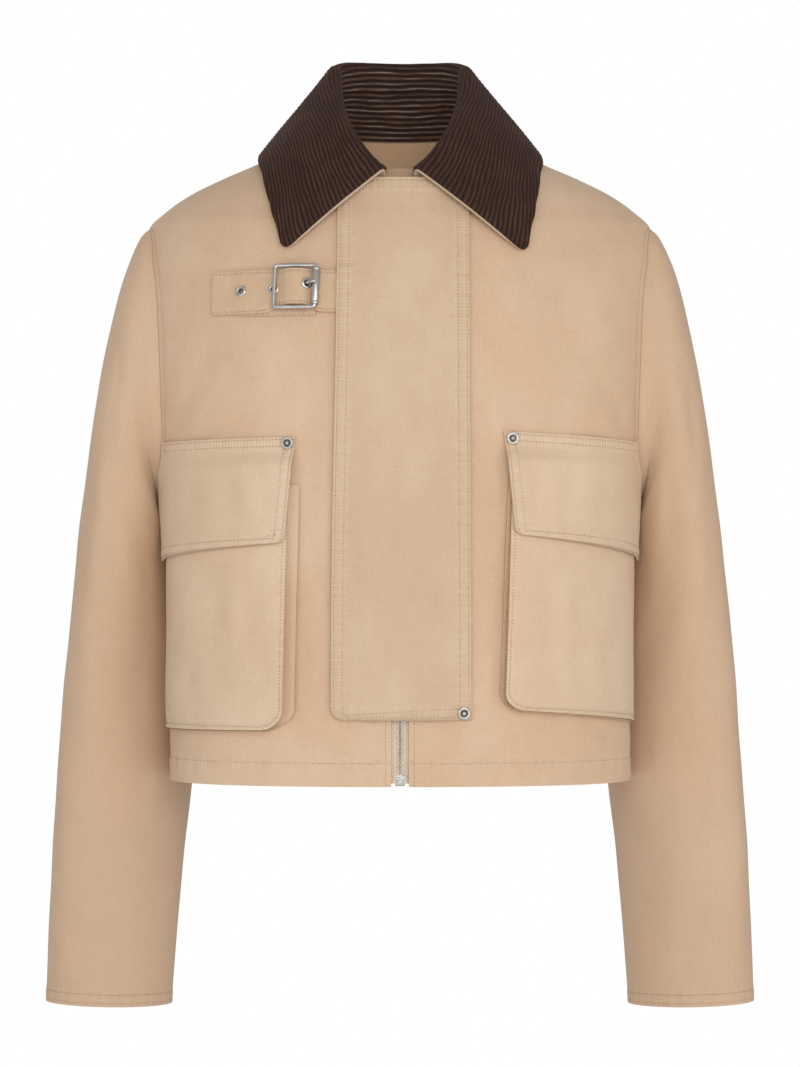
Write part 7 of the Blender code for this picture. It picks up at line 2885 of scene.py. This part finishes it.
# --- rivets ----------------------------------------------------------------------------------------------
@dataclass
class CapRivets:
    """Pressed cap rivets: a rolled rim, a ring groove darkened as painted shade and a domed middle."""

    radius: float = 0.0048
    flap_radius: float = 0.0049
    shape = (  # share of the radius, height
        (0.90, 0.0), (1.0, 0.0003), (1.0, 0.0008), (0.94, 0.0013), (0.84, 0.0014), (0.62, 0.0013),
        (0.56, 0.0008), (0.51, 0.0004), (0.44, 0.0004), (0.39, 0.0010), (0.35, 0.0016),
        (0.27, 0.0021), (0.15, 0.0024), (0.05, 0.0024),
    )

    def put(self, name: str, place: Placing, side: int, radius: float) -> None:
        """Model one rivet and set it on the jacket.

        Args:
            name: Its node.
            place: Its place on the wearer's left.
            side: 1, or -1 to mirror it to the right.
            radius: Its radius.
        """
        piece = Hard.turned(name + "_metal", tuple((radius * share, height) for share, height in self.shape))
        groove = [0.36 < face.center.xy.length / radius < 0.60 for face in piece.data.polygons]
        Hard.put(piece, place)
        if side < 0:
            piece.data.transform(Matrix.Diagonal((-1.0, 1.0, 1.0, 1.0)))
            piece.data.flip_normals()
        finish_metal(piece, DULL_NICKEL, name)
        # painted shade: the faces in the ring groove take the dark nickel
        piece.data.materials.append(SHADE_NICKEL.material())
        for face, dark in zip(piece.data.polygons, groove):
            face.material_index = int(dark)

    def build(self) -> None:
        """One at each pocket flap's inner top corner and one at the storm flap's foot."""
        for name, side, z in (("rivet_pocket_right", -1, -0.2505), ("rivet_pocket_left", 1, -0.2468)):
            self.put(name, Placing.on_front(0.0862, z, LAY + 0.0018 + 0.00075), side, self.radius)
        out = float(StormFlap.inner_out(np.array(0.0449), np.array(-0.4583))) + CLOTH + 0.00085
        self.put("rivet_flap", Placing.on_front(0.0489, -0.4583, out), 1, self.flap_radius)
        LOG.info("cap rivets: 3")


# --- stage -----------------------------------------------------------------------------------------------
@dataclass
class Studio:
    """The floor, the lights and the camera."""

    lens: float = 168.75
    distance: float = 3.0
    height: float = -0.320
    floor_z: float = -1.05
    room_light: float = 0.52

    def lay_floor(self) -> None:
        """A plain pale floor below the frame."""
        place = (0.0, 0.0, self.floor_z)
        floor = Hard.start("studio_floor", bpy.ops.mesh.primitive_plane_add, size=3.0, location=place)
        floor.data.materials.append(Plaster("pale_plaster", (0.86, 0.86, 0.85)).material())
        floor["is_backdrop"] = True

    @staticmethod
    def light(name: str, place: tuple[float, float, float], aim: tuple[float, float, float], size: float,
              power: float) -> None:
        """One soft square light turned towards a point.

        Args:
            name: The light's name.
            place: Where it stands.
            aim: What it is turned to.
            size: Its side, in metres.
            power: Its power, in watts.
        """
        lamp = bpy.data.lights.new(name, "AREA")
        lamp.shape = "SQUARE"
        lamp.size = size
        lamp.energy = power
        holder = bpy.data.objects.new(name, lamp)
        holder.location = place
        holder.rotation_euler = (Vector(aim) - Vector(place)).to_track_quat("-Z", "Y").to_euler()
        bpy.context.scene.collection.objects.link(holder)

    def set_lights(self) -> None:
        """A white room with a broad light from the front, two weaker ones beside it and one behind."""
        world = bpy.data.worlds.new("white_room")
        world.use_nodes = True
        make = Nodes(world.node_tree)
        seen = make.add("ShaderNodeLightPath").outputs["Is Camera Ray"]
        room = world.node_tree.nodes["Background"]
        strength = make.spread(seen, 0.0, 1.0, self.room_light, 1.0)
        make.feed(room, Color=(1.0, 1.0, 1.0, 1.0), Strength=strength)
        bpy.context.scene.world = world
        self.light("front_key", (0.30, -2.9, 0.25), (0.0, 0.0, -0.25), 1.5, 30.5)
        self.light("side_fill", (1.8, -2.2, -0.5), (0.0, 0.0, -0.40), 1.3, 10.0)
        self.light("low_fill", (-1.3, -2.2, -0.9), (0.0, 0.0, -0.45), 1.3, 9.0)
        self.light("back_fill", (-2.2, 2.3, 0.7), (0.0, 0.0, -0.35), 1.0, 16.0)

    def set_camera(self) -> None:
        """A long lens straight at the front."""
        lens = bpy.data.cameras.new("front_camera")
        lens.sensor_width = 36.0
        lens.sensor_fit = "HORIZONTAL"
        lens.lens = self.lens
        lens.clip_end = 20.0
        holder = bpy.data.objects.new("front_camera", lens)
        holder.location = (0.0, -self.distance, self.height)
        holder.rotation_euler = (QUARTER, 0.0, 0.0)
        bpy.context.scene.collection.objects.link(holder)
        bpy.context.scene.camera = holder

    def build(self) -> None:
        """Set the stage."""
        self.lay_floor()
        self.set_lights()
        self.set_camera()
        bpy.context.scene.view_settings.view_transform = "Standard"
        LOG.info("studio: floor, four lights and the camera")


def write_sizes() -> None:
    """Gather the solid's box and the finished piece's box as plain lists, which are not kept."""
    boxes = {"cad": CAD_BOX, "finished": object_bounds()}
    plain = {name: [[float(value) for value in corner] for corner in box] for name, box in boxes.items()}


def main() -> None:
    """Build the jacket piece by piece, then the stage."""
    logging.basicConfig(level=logging.INFO, format="%(name)s: %(message)s")
    bpy.ops.object.select_all(action="DESELECT")
    BodyPanels().build()
    Sleeves().build()
    Collar().build()
    StormFlap().build()
    for plan in POCKET_PLANS:
        BellowsPocket(plan).build()
    FrontZip().build()
    ThroatStrap().build()
    CapRivets().build()
    Studio().build()
    write_sizes()


if __name__ == "__main__":
    main()
